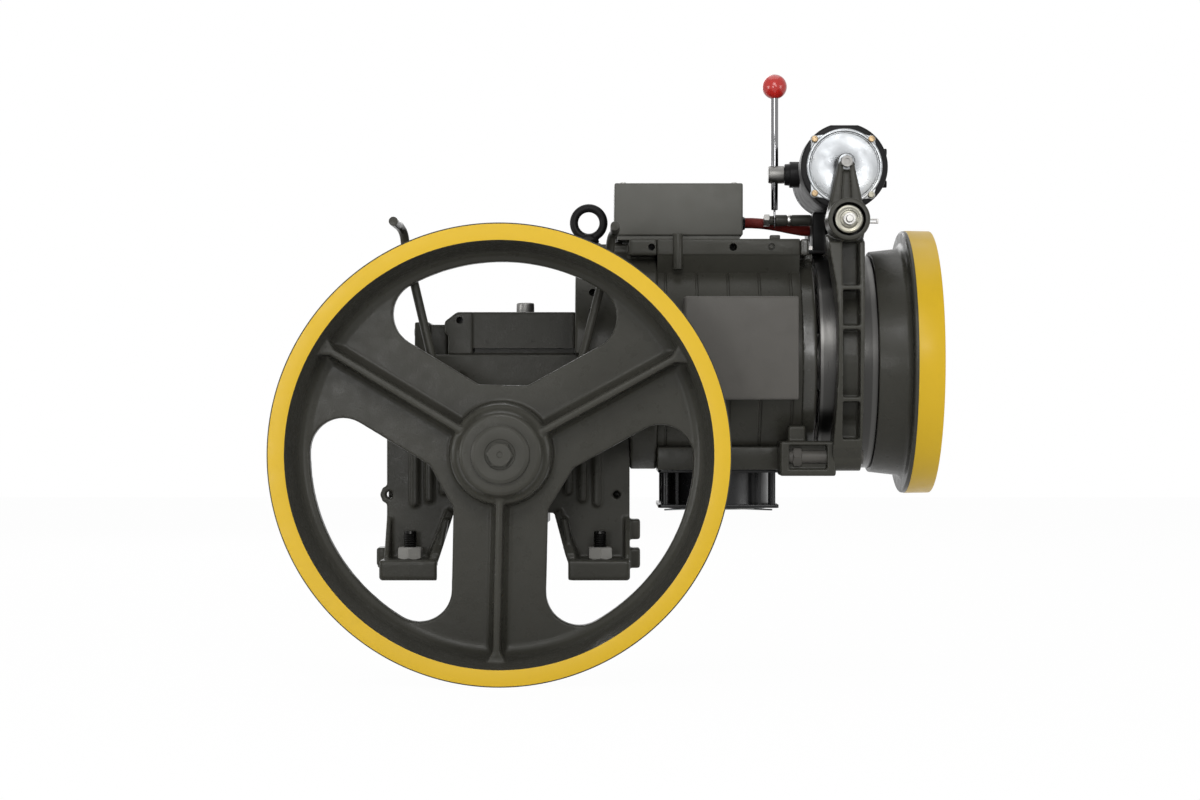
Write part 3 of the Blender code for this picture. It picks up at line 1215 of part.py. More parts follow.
def build_fan_rotor():
    low, top = fan_levels()
    hub_low, hub_top = low + 0.006, top - FAN_ARM_HEIGHT - SEAT
    centre = (FAN_X, 0.0, 0.0)
    rotor = rod("fan_rotor", "Z", centre, hub_low, hub_top, FAN_HUB_RADIUS - 0.001, PLASTIC)
    blades = []
    middle = (hub_low + hub_top) / 2
    for i in range(FAN_BLADES):
        half_chord, half_thickness = FAN_BLADE_CHORD / 2, FAN_BLADE_THICKNESS / 2
        blade = cuboid(f"fan_blade_{i}", (FAN_HUB_RADIUS - 0.006, -half_chord, -half_thickness),
                       (FAN_DUCT_RADIUS - FAN_TIP_GAP - 0.002, half_chord, half_thickness), PLASTIC)
        turn = Matrix.Rotation(2 * math.pi * i / FAN_BLADES, 4, "Z")
        pitch = Matrix.Rotation(FAN_BLADE_PITCH, 4, "X")
        blade.matrix_world = (Matrix.Translation((FAN_X, 0.0, middle)) @ turn @ pitch @ blade.matrix_world)
        blades.append(blade)
    return join(rotor, *blades)


def build_fan_guard():
    """Finger guard: wire rings welded to two crossed wires, screwed under the fan frame."""
    top = fan_levels()[0] - SEAT
    centre = (FAN_X, 0.0, 0.0)
    half = GUARD_WIRE / 2
    guard = ring("fan_guard", "Z", centre, GUARD_RINGS[-1] - half, GUARD_RINGS[-1] + half, top - GUARD_WIRE,
                 top, STEEL)
    rings = [ring(f"guard_ring_{i}", "Z", centre, radius - half, radius + half, top - GUARD_WIRE, top, STEEL)
             for i, radius in enumerate(GUARD_RINGS[:-1])]
    corner = math.hypot(FAN_LENGTH, FAN_WIDTH) / 2 - 0.012
    wires = []
    for i, angle in enumerate((math.atan2(FAN_WIDTH, FAN_LENGTH), -math.atan2(FAN_WIDTH, FAN_LENGTH))):
        wire = cuboid(f"guard_wire_{i}", (-corner, -half, top - 1.5 * GUARD_WIRE), (corner, half, top), STEEL)
        wire.matrix_world = Matrix.Translation(centre) @ Matrix.Rotation(angle, 4, "Z") @ wire.matrix_world
        wires.append(wire)
    return join(guard, *rings, *wires)


# ---------------------------------------------------------------- brake drum and flywheel

def build_brake_drum():
    right = DRUM_X + DRUM_WIDTH
    bore = clear_of(SHAFT_TAIL_RADIUS, facets(DRUM_RADIUS))
    inner = DRUM_RADIUS - DRUM_WALL
    return turned("brake_drum", "X", WORM_LINE,
                  [(DRUM_RADIUS, right), (DRUM_RADIUS, DRUM_X), (inner, DRUM_X),
                   (inner - 0.002, right - DRUM_WEB), (DRUM_HUB_RADIUS, right - DRUM_WEB),
                   (DRUM_HUB_RADIUS, DRUM_X + 0.004), (bore, DRUM_X + 0.004), (bore, right)],
                  STEEL, closed=True)


def build_flywheel():
    """Cup against the drum, wide rim with a painted band, and a dished outer face."""
    left = DRUM_X + DRUM_WIDTH + SEAT
    bore = clear_of(SHAFT_TAIL_RADIUS, facets(FLYWHEEL_RADIUS))
    rim_end = FLANGE_X + FLANGE_WIDTH
    web_right = rim_end - FLANGE_DISH_DEPTH
    web_left = web_right - FLYWHEEL_WEB
    cup_inner = CUP_RADIUS_NEAR - CUP_WALL
    hub_end = shaft_tail_end() - SHAFT_NUT_HEIGHT
    return turned("flywheel", "X", WORM_LINE,
                  [(FLYWHEEL_RADIUS - 0.002, rim_end), (FLYWHEEL_RADIUS, rim_end - 0.002),
                   (FLYWHEEL_RADIUS, FLANGE_X),
                   (CUP_RADIUS_FAR, FLANGE_X), (CUP_RADIUS_NEAR, left), (cup_inner, left),
                   (cup_inner, web_left), (FLYWHEEL_HUB_RADIUS, web_left), (FLYWHEEL_HUB_RADIUS, left),
                   (bore, left), (bore, hub_end), (FLYWHEEL_HUB_RADIUS, hub_end),
                   (FLYWHEEL_HUB_RADIUS, web_right), (FLYWHEEL_RADIUS - 0.024, web_right),
                   (FLYWHEEL_RADIUS - 0.020, rim_end)], YELLOW_RIM, closed=True)


def build_shaft_nut():
    """Nut that clamps drum and flywheel on the shaft's tail."""
    high = shaft_tail_end() + 0.004
    low = shaft_tail_end() - SHAFT_NUT_HEIGHT + SEAT
    nut = rod("shaft_nut", "X", WORM_LINE, low, high, SHAFT_NUT_RADIUS, STEEL, sides=6)
    bore = seat_hole("nut_bore", "X", WORM_LINE, low - 0.01, high + 0.01, SHAFT_TAIL_RADIUS, STEEL)
    return cut(nut, bore)


# ---------------------------------------------------------------- brake arms, pivots and springs

def lining_radius():
    """Corner radius of a lining's inner face, whose flats stay a seat's clearance off the turning drum."""
    return (DRUM_RADIUS + SEAT) / math.cos(LINING_HALF_ANGLE / SHOE_STEPS)


def shoe_radius():
    return lining_radius() + LINING_THICKNESS + SEAT


def shoe_arc(radius, half_angle, steps, reverse=False):
    """An arc round the worm axis on the front side, from below to above, in the YZ plane."""
    points = arc((0.0, WORM_AXIS_Z), radius, math.pi + half_angle, math.pi - half_angle, steps)
    return points[::-1] if reverse else points


def build_lining(name, rear):
    outline = (shoe_arc(lining_radius(), LINING_HALF_ANGLE, SHOE_STEPS)
               + shoe_arc(lining_radius() + LINING_THICKNESS, LINING_HALF_ANGLE, SHOE_STEPS, reverse=True))
    if rear:
        outline = mirrored_y(outline)
    return plate(name, "YZ", [outline], LINING_LEFT_X, LINING_RIGHT_X, FRICTION)


def arm_web_y(z):
    """Front face of an arm's web at height z."""
    radius = shoe_radius() + ARM_WEB
    reach = math.sqrt(max(radius ** 2 - (z - WORM_AXIS_Z) ** 2, 0.0))
    return -max(reach, PIVOT_Y - 0.004)


def arm_side_outline():
    """Side view of a lower arm: heel round the pivot, a bowed back and the shoe's curve inside."""
    heel = arc((-PIVOT_Y, PIVOT_Z), PIVOT_BOSS_RADIUS, math.pi, 2 * math.pi, 6)
    top = SPRING_CUP_Z - SPRING_CUP_RADIUS * 0.6
    back_top = -(PIVOT_Y + ARM_HEEL_THICKNESS)
    shoe = shoe_arc(shoe_radius(), LINING_HALF_ANGLE, SHOE_STEPS)
    back = []
    for i in range(7):
        share = i / 6
        z = top + (PIVOT_Z - top) * share
        back.append((-(ARM_OUTER_Y - (ARM_OUTER_Y + back_top) * (2 * share - 1) ** 2), z))
    inside_low = (-PIVOT_Y + PIVOT_BOSS_RADIUS, PIVOT_Z)
    return heel[:-1] + [inside_low] + shoe + [(-ARM_TOP_INNER_Y, top)] + back[:-1]


def arm_front_outline():
    """Front view of a lower arm: straight on the right, widening on the left up to the spring cup."""
    top = SPRING_CUP_Z - SPRING_CUP_RADIUS * 0.6
    low = PIVOT_Z - PIVOT_BOSS_RADIUS - 0.01
    widen, rise = ARM_LEFT_X - ARM_SHOULDER_X, top - ARM_WAIST_Z
    left = [(ARM_LEFT_X - widen * share ** 1.5, ARM_WAIST_Z + rise * share) for share in (1.0, 0.65, 0.3, 0.0)]
    return [(ARM_LEFT_X, low), (ARM_RIGHT_X, low), (ARM_RIGHT_X, top + 0.01),
            (ARM_SHOULDER_X, top + 0.01)] + left


def build_arm(name, rear):
    """Cast brake arm: ribbed channel over the shoe, spring cup, and a tapered finger up to the magnet."""
    side = -1 if rear else 1
    prefix = "rear" if rear else "front"

    def facing(y):
        return -side * y

    def yz(points):
        return mirrored_y(points) if rear else points

    arm = plate(name, "YZ", [yz(arm_side_outline())], ARM_SHOULDER_X, ARM_RIGHT_X, CASTING)
    near, far = sorted((facing(0.0), facing(ARM_OUTER_Y + 0.01)))
    combine(arm, "INTERSECT", [plate(f"{prefix}_arm_front", "XZ", [arm_front_outline()], near, far, CASTING)])
    pockets = []
    for i, (low, high) in enumerate(zip(ARM_RIBS_Z, ARM_RIBS_Z[1:] + (SPRING_CUP_Z - SPRING_CUP_RADIUS,))):
        low, high = low + ARM_RIB_THICKNESS / 2, high - ARM_RIB_THICKNESS / 2
        levels = [low + (high - low) * step / 2 for step in range(3)]
        outline = [(-ARM_OUTER_Y - 0.03, low)] + [(arm_web_y(z), z) for z in levels]
        outline.append((-ARM_OUTER_Y - 0.03, high))
        pockets.append(plate(f"{prefix}_arm_pocket_{i}", "YZ", [yz(outline)], ARM_LEFT_X + ARM_FLANGE,
                             ARM_RIGHT_X - ARM_FLANGE, CASTING))
    cut(arm, *pockets)

    inner, outer = sorted((facing(ARM_TOP_INNER_Y), facing(ARM_TOP_INNER_Y + ARM_TOP_THICKNESS)))
    base_z = SPRING_CUP_Z - SPRING_CUP_RADIUS
    tip = arc((BRAKE_X, ARM_TOP_Z), ARM_TOP_RADIUS, math.radians(12), math.radians(168), 5)
    finger = plate(f"{prefix}_arm_finger", "XZ",
                   [tip + [(BRAKE_X - SPRING_CUP_RADIUS, SPRING_CUP_Z), (ARM_LEFT_X, base_z),
                           (ARM_RIGHT_X, base_z), (BRAKE_X + SPRING_CUP_RADIUS, SPRING_CUP_Z)]],
                   inner, outer, CASTING)
    centre = (BRAKE_X, 0.0, SPRING_CUP_Z)
    near, far = sorted((facing(ARM_TOP_INNER_Y), facing(SPRING_CUP_MOUTH_Y)))
    cup = rod(f"{prefix}_spring_cup", "Y", centre, near, far, SPRING_CUP_RADIUS, CASTING)
    join(arm, finger, cup)
    floor = ARM_TOP_INNER_Y + SPRING_CUP_FLOOR
    near, far = sorted((facing(floor), facing(SPRING_CUP_MOUTH_Y + 0.01)))
    hollow = rod(f"{prefix}_cup_hollow", "Y", centre, near, far, SPRING_CUP_RADIUS - SPRING_CUP_WALL, CASTING)
    near, far = sorted((facing(ARM_TOP_INNER_Y - 0.01), facing(floor + 0.01)))
    stud_hole = rod(f"{prefix}_stud_way", "Y", centre, near, far, STUD_RADIUS + 0.0025, CASTING)
    pivot_hole = seat_hole(f"{prefix}_pivot_way", "X", (0.0, facing(PIVOT_Y), PIVOT_Z),
                           ARM_LEFT_X - 0.01, ARM_RIGHT_X + 0.01, PIVOT_RADIUS, CASTING)
    return cut(arm, hollow, stud_hole, pivot_hole)


def build_pivot_bracket():
    """Two-armed bracket bolted to the end shield: an open cheek pair for each arm's pivot pin."""
    inner = RAIL_HALF_DEPTH + SEAT
    right = ARM_LEFT_X - SEAT
    cheeks, cuts = [], []
    for name, side in (("front_pivot_bracket", -1), ("rear_pivot_bracket", 1)):
        y_low, y_high = sorted((side * inner, side * BRACKET_OUTER_Y))
        bracket = cuboid(name, (BRACKET_LEFT_X, y_low, BRACKET_LOW_Z), (right, y_high, BRACKET_HIGH_Z),
                         CASTING, bevel=0.002)
        open_y = side * (PIVOT_Y - PIVOT_HEAD_RADIUS - 0.002)
        y_low, y_high = sorted((open_y, side * (BRACKET_OUTER_Y + 0.01)))
        room = PIVOT_HEAD_RADIUS + 0.002
        window = cuboid(f"{name}_window", (BRACKET_LEFT_X + BRACKET_CHEEK, y_low, PIVOT_Z - room),
                        (right - BRACKET_CHEEK, y_high, PIVOT_Z + room), CASTING)
        hole = seat_hole(f"{name}_hole", "X", (0.0, side * PIVOT_Y, PIVOT_Z),
                         BRACKET_LEFT_X + BRACKET_CHEEK / 2, right + 0.01, PIVOT_RADIUS, CASTING)
        cheeks.append(cut(bracket, window, hole))
    return cheeks


def build_pivot_pins():
    pins = []
    head_left = BRACKET_LEFT_X + BRACKET_CHEEK + 0.006
    for name, side in (("front_pivot_pin", -1), ("rear_pivot_pin", 1)):
        place = (0.0, side * PIVOT_Y, PIVOT_Z)
        pin = rod(name, "X", place, BRACKET_LEFT_X + BRACKET_CHEEK / 2 + SEAT, ARM_RIGHT_X, PIVOT_RADIUS,
                  STEEL)
        head = rod(f"{name}_head", "X", place, head_left, head_left + PIVOT_HEAD_WIDTH, PIVOT_HEAD_RADIUS,
                   STEEL, sides=6)
        pins.append(join(pin, head))
    return pins


def disc_inner_y():
    """Inner face of a spring disc, just inside the mouth of its cup."""
    return SPRING_CUP_MOUTH_Y - SPRING_DISC_THICKNESS - 0.002


def build_spring_set():
    """The stud through both arms, and at each end a disc with its nut and the spring under it."""
    centre = (BRAKE_X, 0.0, SPRING_CUP_Z)
    disc_in = disc_inner_y()
    nut_in = disc_in + SPRING_DISC_THICKNESS
    end = nut_in + SPRING_NUT_HEIGHT + STUD_OVERHANG
    pieces = [rod("spring_stud", "Y", centre, -end, end, STUD_RADIUS, STEEL)]
    floor = ARM_TOP_INNER_Y + SPRING_CUP_FLOOR
    for prefix, side in (("front", -1), ("rear", 1)):
        near, far = sorted((side * disc_in, side * nut_in))
        disc = rod(f"{prefix}_spring_disc", "Y", centre, near, far, SPRING_DISC_RADIUS, ZINC)
        near, far = sorted((side * (nut_in - 0.001), side * (nut_in + SPRING_NUT_HEIGHT)))
        nut = rod(f"{prefix}_spring_nut", "Y", centre, near, far, SPRING_NUT_RADIUS, ZINC, sides=6)
        hole = seat_hole(f"{prefix}_nut_hole", "Y", centre, near - 0.02, far + 0.02, STUD_RADIUS, ZINC)
        pieces.append(cut(join(disc, nut), hole))
        start = floor + SEAT + SPRING_WIRE_RADIUS
        finish = disc_in - SEAT - SPRING_WIRE_RADIUS
        steps = SPRING_TURNS * 7
        coil = []
        for i in range(steps + 1):
            angle = 2 * math.pi * SPRING_TURNS * i / steps
            coil.append((BRAKE_X + SPRING_COIL_RADIUS * math.cos(angle),
                         side * (start + (finish - start) * i / steps),
                         SPRING_CUP_Z + SPRING_COIL_RADIUS * math.sin(angle)))
        pieces.append(tube(f"{prefix}_spring", coil, SPRING_WIRE_RADIUS, STEEL, resolution=1))
    return pieces


# ---------------------------------------------------------------- brake magnet and release lever

def magnet_outline(radius, flat):
    """Round body with flats on top and bottom, in the XZ plane."""
    start = math.asin(flat / radius)
    centre = (BRAKE_X, MAGNET_Z)
    return arc(centre, radius, -start, start, 8) + arc(centre, radius, math.pi - start, math.pi + start, 8)


def magnet_plate_outline():
    """Round end plate with four screw ears on its diagonals."""
    outline = []
    swing = math.acos((PLATE_RADIUS ** 2 + PLATE_EAR_CIRCLE ** 2 - PLATE_EAR_RADIUS ** 2)
                      / (2 * PLATE_RADIUS * PLATE_EAR_CIRCLE))
    for i in range(4):
        middle = math.radians(45 + 90 * i)
        ear = (BRAKE_X + PLATE_EAR_CIRCLE * math.cos(middle), MAGNET_Z + PLATE_EAR_CIRCLE * math.sin(middle))
        outline += arc(ear, PLATE_EAR_RADIUS, middle - math.radians(100), middle + math.radians(100), 4)
        outline += arc((BRAKE_X, MAGNET_Z), PLATE_RADIUS, middle + swing,
                       middle + math.pi / 2 - swing, 4)[1:-1]
    return outline


def build_magnet():
    centre = (BRAKE_X, 0.0, MAGNET_Z)
    ends = MAGNET_HALF_LENGTH
    housing = plate("magnet_housing", "XZ", [magnet_outline(MAGNET_RADIUS, MAGNET_FLAT)], -ends, ends, BLACK)
    side_place = (0.0, 0.0, MAGNET_Z)
    boss = rod("release_boss", "X", side_place, RELEASE_BOSS_X, BRAKE_X - MAGNET_BORE_RADIUS - 0.002,
               RELEASE_BOSS_RADIUS, BLACK)
    gland_x, gland_z = CABLE_ROUTE[-1]
    bore = seat_hole("magnet_bore", "Y", centre, -ends - 0.01, ends + 0.01, MAGNET_BORE_RADIUS, BLACK,
                     turns=False)
    way = seat_hole("release_shaft_way", "X", side_place, RELEASE_BOSS_X - 0.01, BRAKE_X,
                    RELEASE_SHAFT_RADIUS, BLACK)
    entry = rod("cable_entry", "Z", (gland_x, CABLE_Y, 0.0), gland_z, gland_z + 0.03, CABLE_RADIUS - 0.003,
                BLACK)
    join(housing, boss)
    cut(housing, bore, way, entry)
    pieces = [housing]
    for name, side in (("magnet_front_plate", -1), ("magnet_rear_plate", 1)):
        near, far = sorted((side * (ends + SEAT), side * (ends + SEAT + PLATE_THICKNESS)))
        sides = facets(PLUNGER_ROD_RADIUS)
        hole = circle((BRAKE_X, MAGNET_Z), clear_of(PLUNGER_ROD_RADIUS + PLUNGER_ROD_CLEARANCE, sides), sides)
        pieces.append(plate(name, "XZ", [magnet_plate_outline(), hole], near, far, ZINC))
    coil = ring("magnet_coil", "Y", centre, COIL_INNER_RADIUS, MAGNET_BORE_RADIUS, -COIL_HALF_LENGTH,
                COIL_HALF_LENGTH, COPPER)
    cross = rod("coil_cross_hole", "X", side_place, BRAKE_X - MAGNET_BORE_RADIUS - 0.01, BRAKE_X,
                COIL_CROSS_HOLE, COPPER)
    return pieces + [cut(coil, cross)]


def build_plungers():
    """Stepped armatures: nose on the cam, body in the coil, rod through the end plate to the arm."""
    centre = (BRAKE_X, 0.0, MAGNET_Z)
    tip = ARM_TOP_INNER_Y - SEAT
    plungers = []
    for name, side in (("front_plunger", -1), ("rear_plunger", 1)):
        section = [(0.0, tip), (PLUNGER_ROD_RADIUS, tip), (PLUNGER_ROD_RADIUS, PLUNGER_BODY_OUTER_Y),
                   (PLUNGER_RADIUS, PLUNGER_BODY_OUTER_Y), (PLUNGER_RADIUS, PLUNGER_BODY_INNER_Y),
                   (PLUNGER_ROD_RADIUS, PLUNGER_BODY_INNER_Y), (PLUNGER_ROD_RADIUS, PLUNGER_INNER_Y),
                   (0.0, PLUNGER_INNER_Y)]
        if side < 0:
            section = [(radius, -along) for radius, along in reversed(section)]
        plungers.append(turned(name, "Y", centre, section, STEEL))
    return plungers


def build_release_shaft():
    """Cross shaft whose flat cam lies between the plungers and spreads them when it turns."""
    line = (0.0, 0.0, MAGNET_Z)
    start = LEVER_BOSS_RIGHT_X + SEAT
    shaft = rod("release_shaft", "X", line, start - 0.014, BRAKE_X - CAM_WIDTH / 2 + 0.002,
                RELEASE_SHAFT_RADIUS, STEEL)
    cam = cuboid("release_cam", (BRAKE_X - CAM_WIDTH / 2, -CAM_HALF_THICKNESS, MAGNET_Z - CAM_HALF_HEIGHT),
                 (BRAKE_X + CAM_WIDTH / 2, CAM_HALF_THICKNESS, MAGNET_Z + CAM_HALF_HEIGHT), STEEL)
    return join(shaft, cam)


def build_magnet_bracket():
    """Foot on the end shield, column past the drum and a saddle under the magnet."""
    left = shield_start() + 0.002
    foot_low = SHIELD_PAD_TOP_Z + SEAT
    saddle_top = MAGNET_Z - MAGNET_FLAT - SEAT
    column_right = BRACKET_COLUMN_X + BRACKET_COLUMN_WIDTH
    bracket = cuboid("magnet_bracket", (BRACKET_COLUMN_X, -BRACKET_HALF_DEPTH, foot_low),
                     (column_right, BRACKET_HALF_DEPTH, saddle_top), BLACK)
    foot = cuboid("bracket_foot", (left + SHIELD_LUG_WIDTH, -BRACKET_FOOT_HALF_DEPTH, foot_low),
                  (column_right - 0.001, BRACKET_FOOT_HALF_DEPTH, foot_low + BRACKET_FOOT_HEIGHT), BLACK)
    saddle = cuboid("bracket_saddle", (BRACKET_COLUMN_X + 0.001, -BRACKET_HALF_DEPTH + 0.001,
                                       saddle_top - SADDLE_THICKNESS),
                    (SADDLE_RIGHT_X, BRACKET_HALF_DEPTH - 0.001, saddle_top), BLACK)
    lug = cuboid("stud_lug", (BRAKE_X - STUD_LUG_HALF_WIDTH, -BRACKET_HALF_DEPTH + 0.002,
                              SPRING_CUP_Z - STUD_LUG_DROP),
                 (BRAKE_X + STUD_LUG_HALF_WIDTH, BRACKET_HALF_DEPTH - 0.002, saddle_top - 0.001), BLACK)
    join(bracket, foot, saddle, lug)
    stud_way = seat_hole("bracket_stud_way", "Y", (BRAKE_X, 0.0, SPRING_CUP_Z),
                         -BRACKET_HALF_DEPTH - 0.01, BRACKET_HALF_DEPTH + 0.01, STUD_RADIUS, BLACK)
    return cut(bracket, stud_way)


def build_release_lever():
    """Chromed rod with its ball, the boss on the cross shaft and a tail with a needle tip."""
    place = (LEVER_X, 0.0, 0.0)
    rod_top = KNOB_Z - KNOB_RADIUS + KNOB_SOCKET_DEPTH
    lever = rod("release_lever", "Z", place, MAGNET_Z, rod_top, LEVER_ROD_RADIUS, CHROME)
    line = (0.0, 0.0, MAGNET_Z)
    boss = rod("lever_boss", "X", line, LEVER_BOSS_LEFT_X, LEVER_BOSS_RIGHT_X, LEVER_BOSS_RADIUS, CHROME)
    tail_low = MAGNET_Z - LEVER_TAIL_LENGTH
    tail = rod("lever_tail", "Z", place, tail_low, MAGNET_Z, LEVER_TAIL_TIP_RADIUS, CHROME,
               tip_radius=LEVER_ROD_RADIUS)
    needle = rod("lever_needle", "Z", place, tail_low - LEVER_NEEDLE_LENGTH, tail_low + 0.002,
                 LEVER_NEEDLE_RADIUS, CHROME)
    join(lever, boss, tail, needle)
    socket = seat_hole("lever_socket", "X", line, LEVER_BOSS_RIGHT_X - 0.014, LEVER_BOSS_RIGHT_X + 0.01,
                 RELEASE_SHAFT_RADIUS, CHROME)
    cut(lever, socket)

    shape = bmesh.new()
    bmesh.ops.create_uvsphere(shape, u_segments=12, v_segments=7, radius=KNOB_RADIUS)
    knob = mesh_object("lever_knob", shape, RED_PLASTIC, Matrix.Translation((LEVER_X, 0.0, KNOB_Z)),
                       smooth=True)
    hole = seat_hole("knob_socket", "Z", place, KNOB_Z - KNOB_RADIUS - 0.01, rod_top + SEAT,
                     LEVER_ROD_RADIUS, RED_PLASTIC)
    return lever, cut(knob, hole)


def build_stop_pin():
    """Horizontal stop for the lever's tail, screwed into the bracket column."""
    place = (0.0, STOP_PIN_Y, STOP_PIN_Z)
    right = BRACKET_COLUMN_X - SEAT
    pin = rod("lever_stop_pin", "X", place, STOP_PIN_LEFT_X + 0.008, right, STOP_PIN_RADIUS, ZINC)
    nut = rod("stop_pin_nut", "X", place, STOP_PIN_LEFT_X, STOP_PIN_LEFT_X + 0.010,
              STOP_PIN_RADIUS * 1.12, ZINC, sides=6)
    return join(pin, nut)


# ---------------------------------------------------------------- cable and rope guards

def build_brake_cable():
    route = smooth_route([(x, CABLE_Y, z) for x, z in CABLE_ROUTE], 16)
    route.append(Vector((CABLE_ROUTE[-1][0], CABLE_Y, MAGNET_Z - MAGNET_FLAT - SEAT)))
    return tube("brake_cable", route, CABLE_RADIUS, RED_SLEEVE, resolution=1)


def build_rope_guards():
    """Bent rods from the casing, up behind the sheave and forward over its grooves."""
    guards = []
    foot_y = -CASING_HALF_DEPTH - SEAT
    stand_y = SHEAVE_FRONT_Y + RIM_WIDTH + GUARD_STANDOFF
    tip_y = SHEAVE_FRONT_Y + GUARD_TIP_SETBACK
    bend = 0.022
    reach = SHEAVE_RADIUS + GUARD_GAP
    for name, root_x, angle in (("left_rope_guard", LEFT_GUARD_X, LEFT_GUARD_ANGLE),
                                ("right_rope_guard", RIGHT_GUARD_X, RIGHT_GUARD_ANGLE)):
        tip_x, tip_z = reach * math.cos(angle), OUTPUT_AXIS_Z + reach * math.sin(angle)
        slope = (tip_x - root_x) / (tip_z - GUARD_ROOT_Z)
        rise = tip_z - GUARD_BEND_DROP - GUARD_ROOT_Z
        points = [(root_x, foot_y, GUARD_ROOT_Z), (root_x, (foot_y + stand_y) / 2, GUARD_ROOT_Z),
                  (root_x, stand_y + bend, GUARD_ROOT_Z),
                  (root_x + slope * bend * 0.3, stand_y + bend * 0.3, GUARD_ROOT_Z + bend * 0.3),
                  (root_x + slope * bend, stand_y, GUARD_ROOT_Z + bend)]
        points += [(root_x + slope * rise * share, stand_y, GUARD_ROOT_Z + rise * share)
                   for share in (0.4, 0.7, 0.95)]
        points += [(root_x + slope * rise, stand_y - bend * 0.3, GUARD_ROOT_Z + rise + bend * 0.35),
                   (tip_x, stand_y - bend, tip_z), (tip_x, (stand_y + tip_y) / 2, tip_z),
                   (tip_x, tip_y, tip_z)]
        guards.append(tube(name, smooth_route(points, 14), GUARD_ROD_RADIUS, BLACK, resolution=1))
    return guards


# ---------------------------------------------------------------- assembly

def build_machine():
    build_sheave()
    build_sheave_end()
    build_output_shaft()
    build_worm_wheel()
    build_worm_shaft()
    build_bearings()
    build_gearbox_housing()
    build_upper_casing()
    build_covers()
    build_filler_plug()
    build_motor_adapter()
    build_eye_bolt()
    build_motor_frame()
    build_motor_insides()
    build_motor_end_shield()
    build_terminal_box()
    build_front_junction_cover()
    build_fan_housing()
    build_fan_rotor()
    build_fan_guard()
    build_brake_drum()
    build_flywheel()
    build_shaft_nut()
    for prefix, rear in (("front", False), ("rear", True)):
        build_arm(f"{prefix}_brake_arm", rear)
        build_lining(f"{prefix}_brake_lining", rear)
    build_pivot_bracket()
    build_pivot_pins()
    build_spring_set()
    build_magnet()
    build_plungers()
    build_release_shaft()
    build_magnet_bracket()
    build_release_lever()
    build_stop_pin()
    build_brake_cable()
    build_rope_guards()


build_machine()
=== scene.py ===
"""Looks of a geared traction machine: worm gearbox, flange motor, magnet brake, flywheel and rope sheave.

X runs along the motor shaft towards the flywheel, Y along the sheave shaft with the sheave at -Y, and Z up
from the underside of the feet.  Lengths are in metres.
"""

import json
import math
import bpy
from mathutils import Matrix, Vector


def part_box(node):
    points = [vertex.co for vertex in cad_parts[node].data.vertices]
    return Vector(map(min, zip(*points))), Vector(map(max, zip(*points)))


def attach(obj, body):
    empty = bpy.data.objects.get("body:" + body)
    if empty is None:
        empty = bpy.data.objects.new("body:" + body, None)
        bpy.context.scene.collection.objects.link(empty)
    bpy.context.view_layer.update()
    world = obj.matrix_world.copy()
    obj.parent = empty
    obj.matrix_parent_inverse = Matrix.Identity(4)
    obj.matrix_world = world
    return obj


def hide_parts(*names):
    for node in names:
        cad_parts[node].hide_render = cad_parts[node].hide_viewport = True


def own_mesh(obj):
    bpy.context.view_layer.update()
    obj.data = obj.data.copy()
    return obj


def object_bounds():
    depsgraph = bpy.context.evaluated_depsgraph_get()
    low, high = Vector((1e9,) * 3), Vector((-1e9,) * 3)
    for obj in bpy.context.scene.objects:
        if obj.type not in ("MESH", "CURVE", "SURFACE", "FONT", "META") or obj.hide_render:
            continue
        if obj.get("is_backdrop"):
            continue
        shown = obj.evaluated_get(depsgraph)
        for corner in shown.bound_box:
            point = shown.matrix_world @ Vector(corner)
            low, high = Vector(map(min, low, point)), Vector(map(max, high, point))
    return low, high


bl_info = {
    "name": "Geared traction machine",
    "version": (1, 0, 0),
    "blender": (4, 5, 0),
    "location": "View3D > Sidebar > Traction machine",
    "description": "Cast, turned and painted pieces of a geared traction machine",
    "category": "Add Mesh",
}

import bmesh
import bpy
from bpy.props import FloatProperty, FloatVectorProperty, IntProperty, PointerProperty
from bpy.types import Operator, Panel, PropertyGroup
from mathutils import Matrix, Vector

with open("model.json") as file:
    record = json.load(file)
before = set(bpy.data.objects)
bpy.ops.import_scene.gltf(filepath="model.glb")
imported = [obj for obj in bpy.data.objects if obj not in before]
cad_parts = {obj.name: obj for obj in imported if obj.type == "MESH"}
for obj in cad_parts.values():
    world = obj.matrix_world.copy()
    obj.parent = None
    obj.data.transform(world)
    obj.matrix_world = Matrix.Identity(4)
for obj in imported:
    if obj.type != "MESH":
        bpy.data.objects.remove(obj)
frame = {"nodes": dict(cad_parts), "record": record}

FINE_CORNER = 0.003  # corners below this radius are rounded with fewer steps

ALONG = {"X": Matrix.Rotation(math.pi / 2, 4, "Y"), "Y": Matrix.Rotation(-math.pi / 2, 4, "X"),
         "Z": Matrix.Identity(4)}
FACING = {"XZ": Matrix.Rotation(math.pi / 2, 4, "X"), "XY": Matrix.Identity(4),
          "YZ": Matrix(((0, 0, 1, 0), (1, 0, 0, 0), (0, 1, 0, 0), (0, 0, 0, 1)))}

# ---------------------------------------------------------------- settings a user would change


class MachineSizes(PropertyGroup):
    """Fineness and edge sizes of the made pieces."""

    round_steps: IntProperty(name="Round steps", description="Flats round a large turned piece",
                             default=144, min=24)
    casting_grain: FloatProperty(name="Casting grain", description="Coarseness of the cast surfaces",
                                 default=1.0, subtype="FACTOR", min=0.5, max=4.0)
    turned_edge: FloatProperty(name="Turned edge", description="Rounding of machined edges",
                               default=0.0008, subtype="DISTANCE", unit="LENGTH", min=0.0)
    thread_pitch: FloatProperty(name="Thread pitch", description="Pitch of the large studs' threads",
                                default=0.0025, subtype="DISTANCE", unit="LENGTH", min=0.0005)


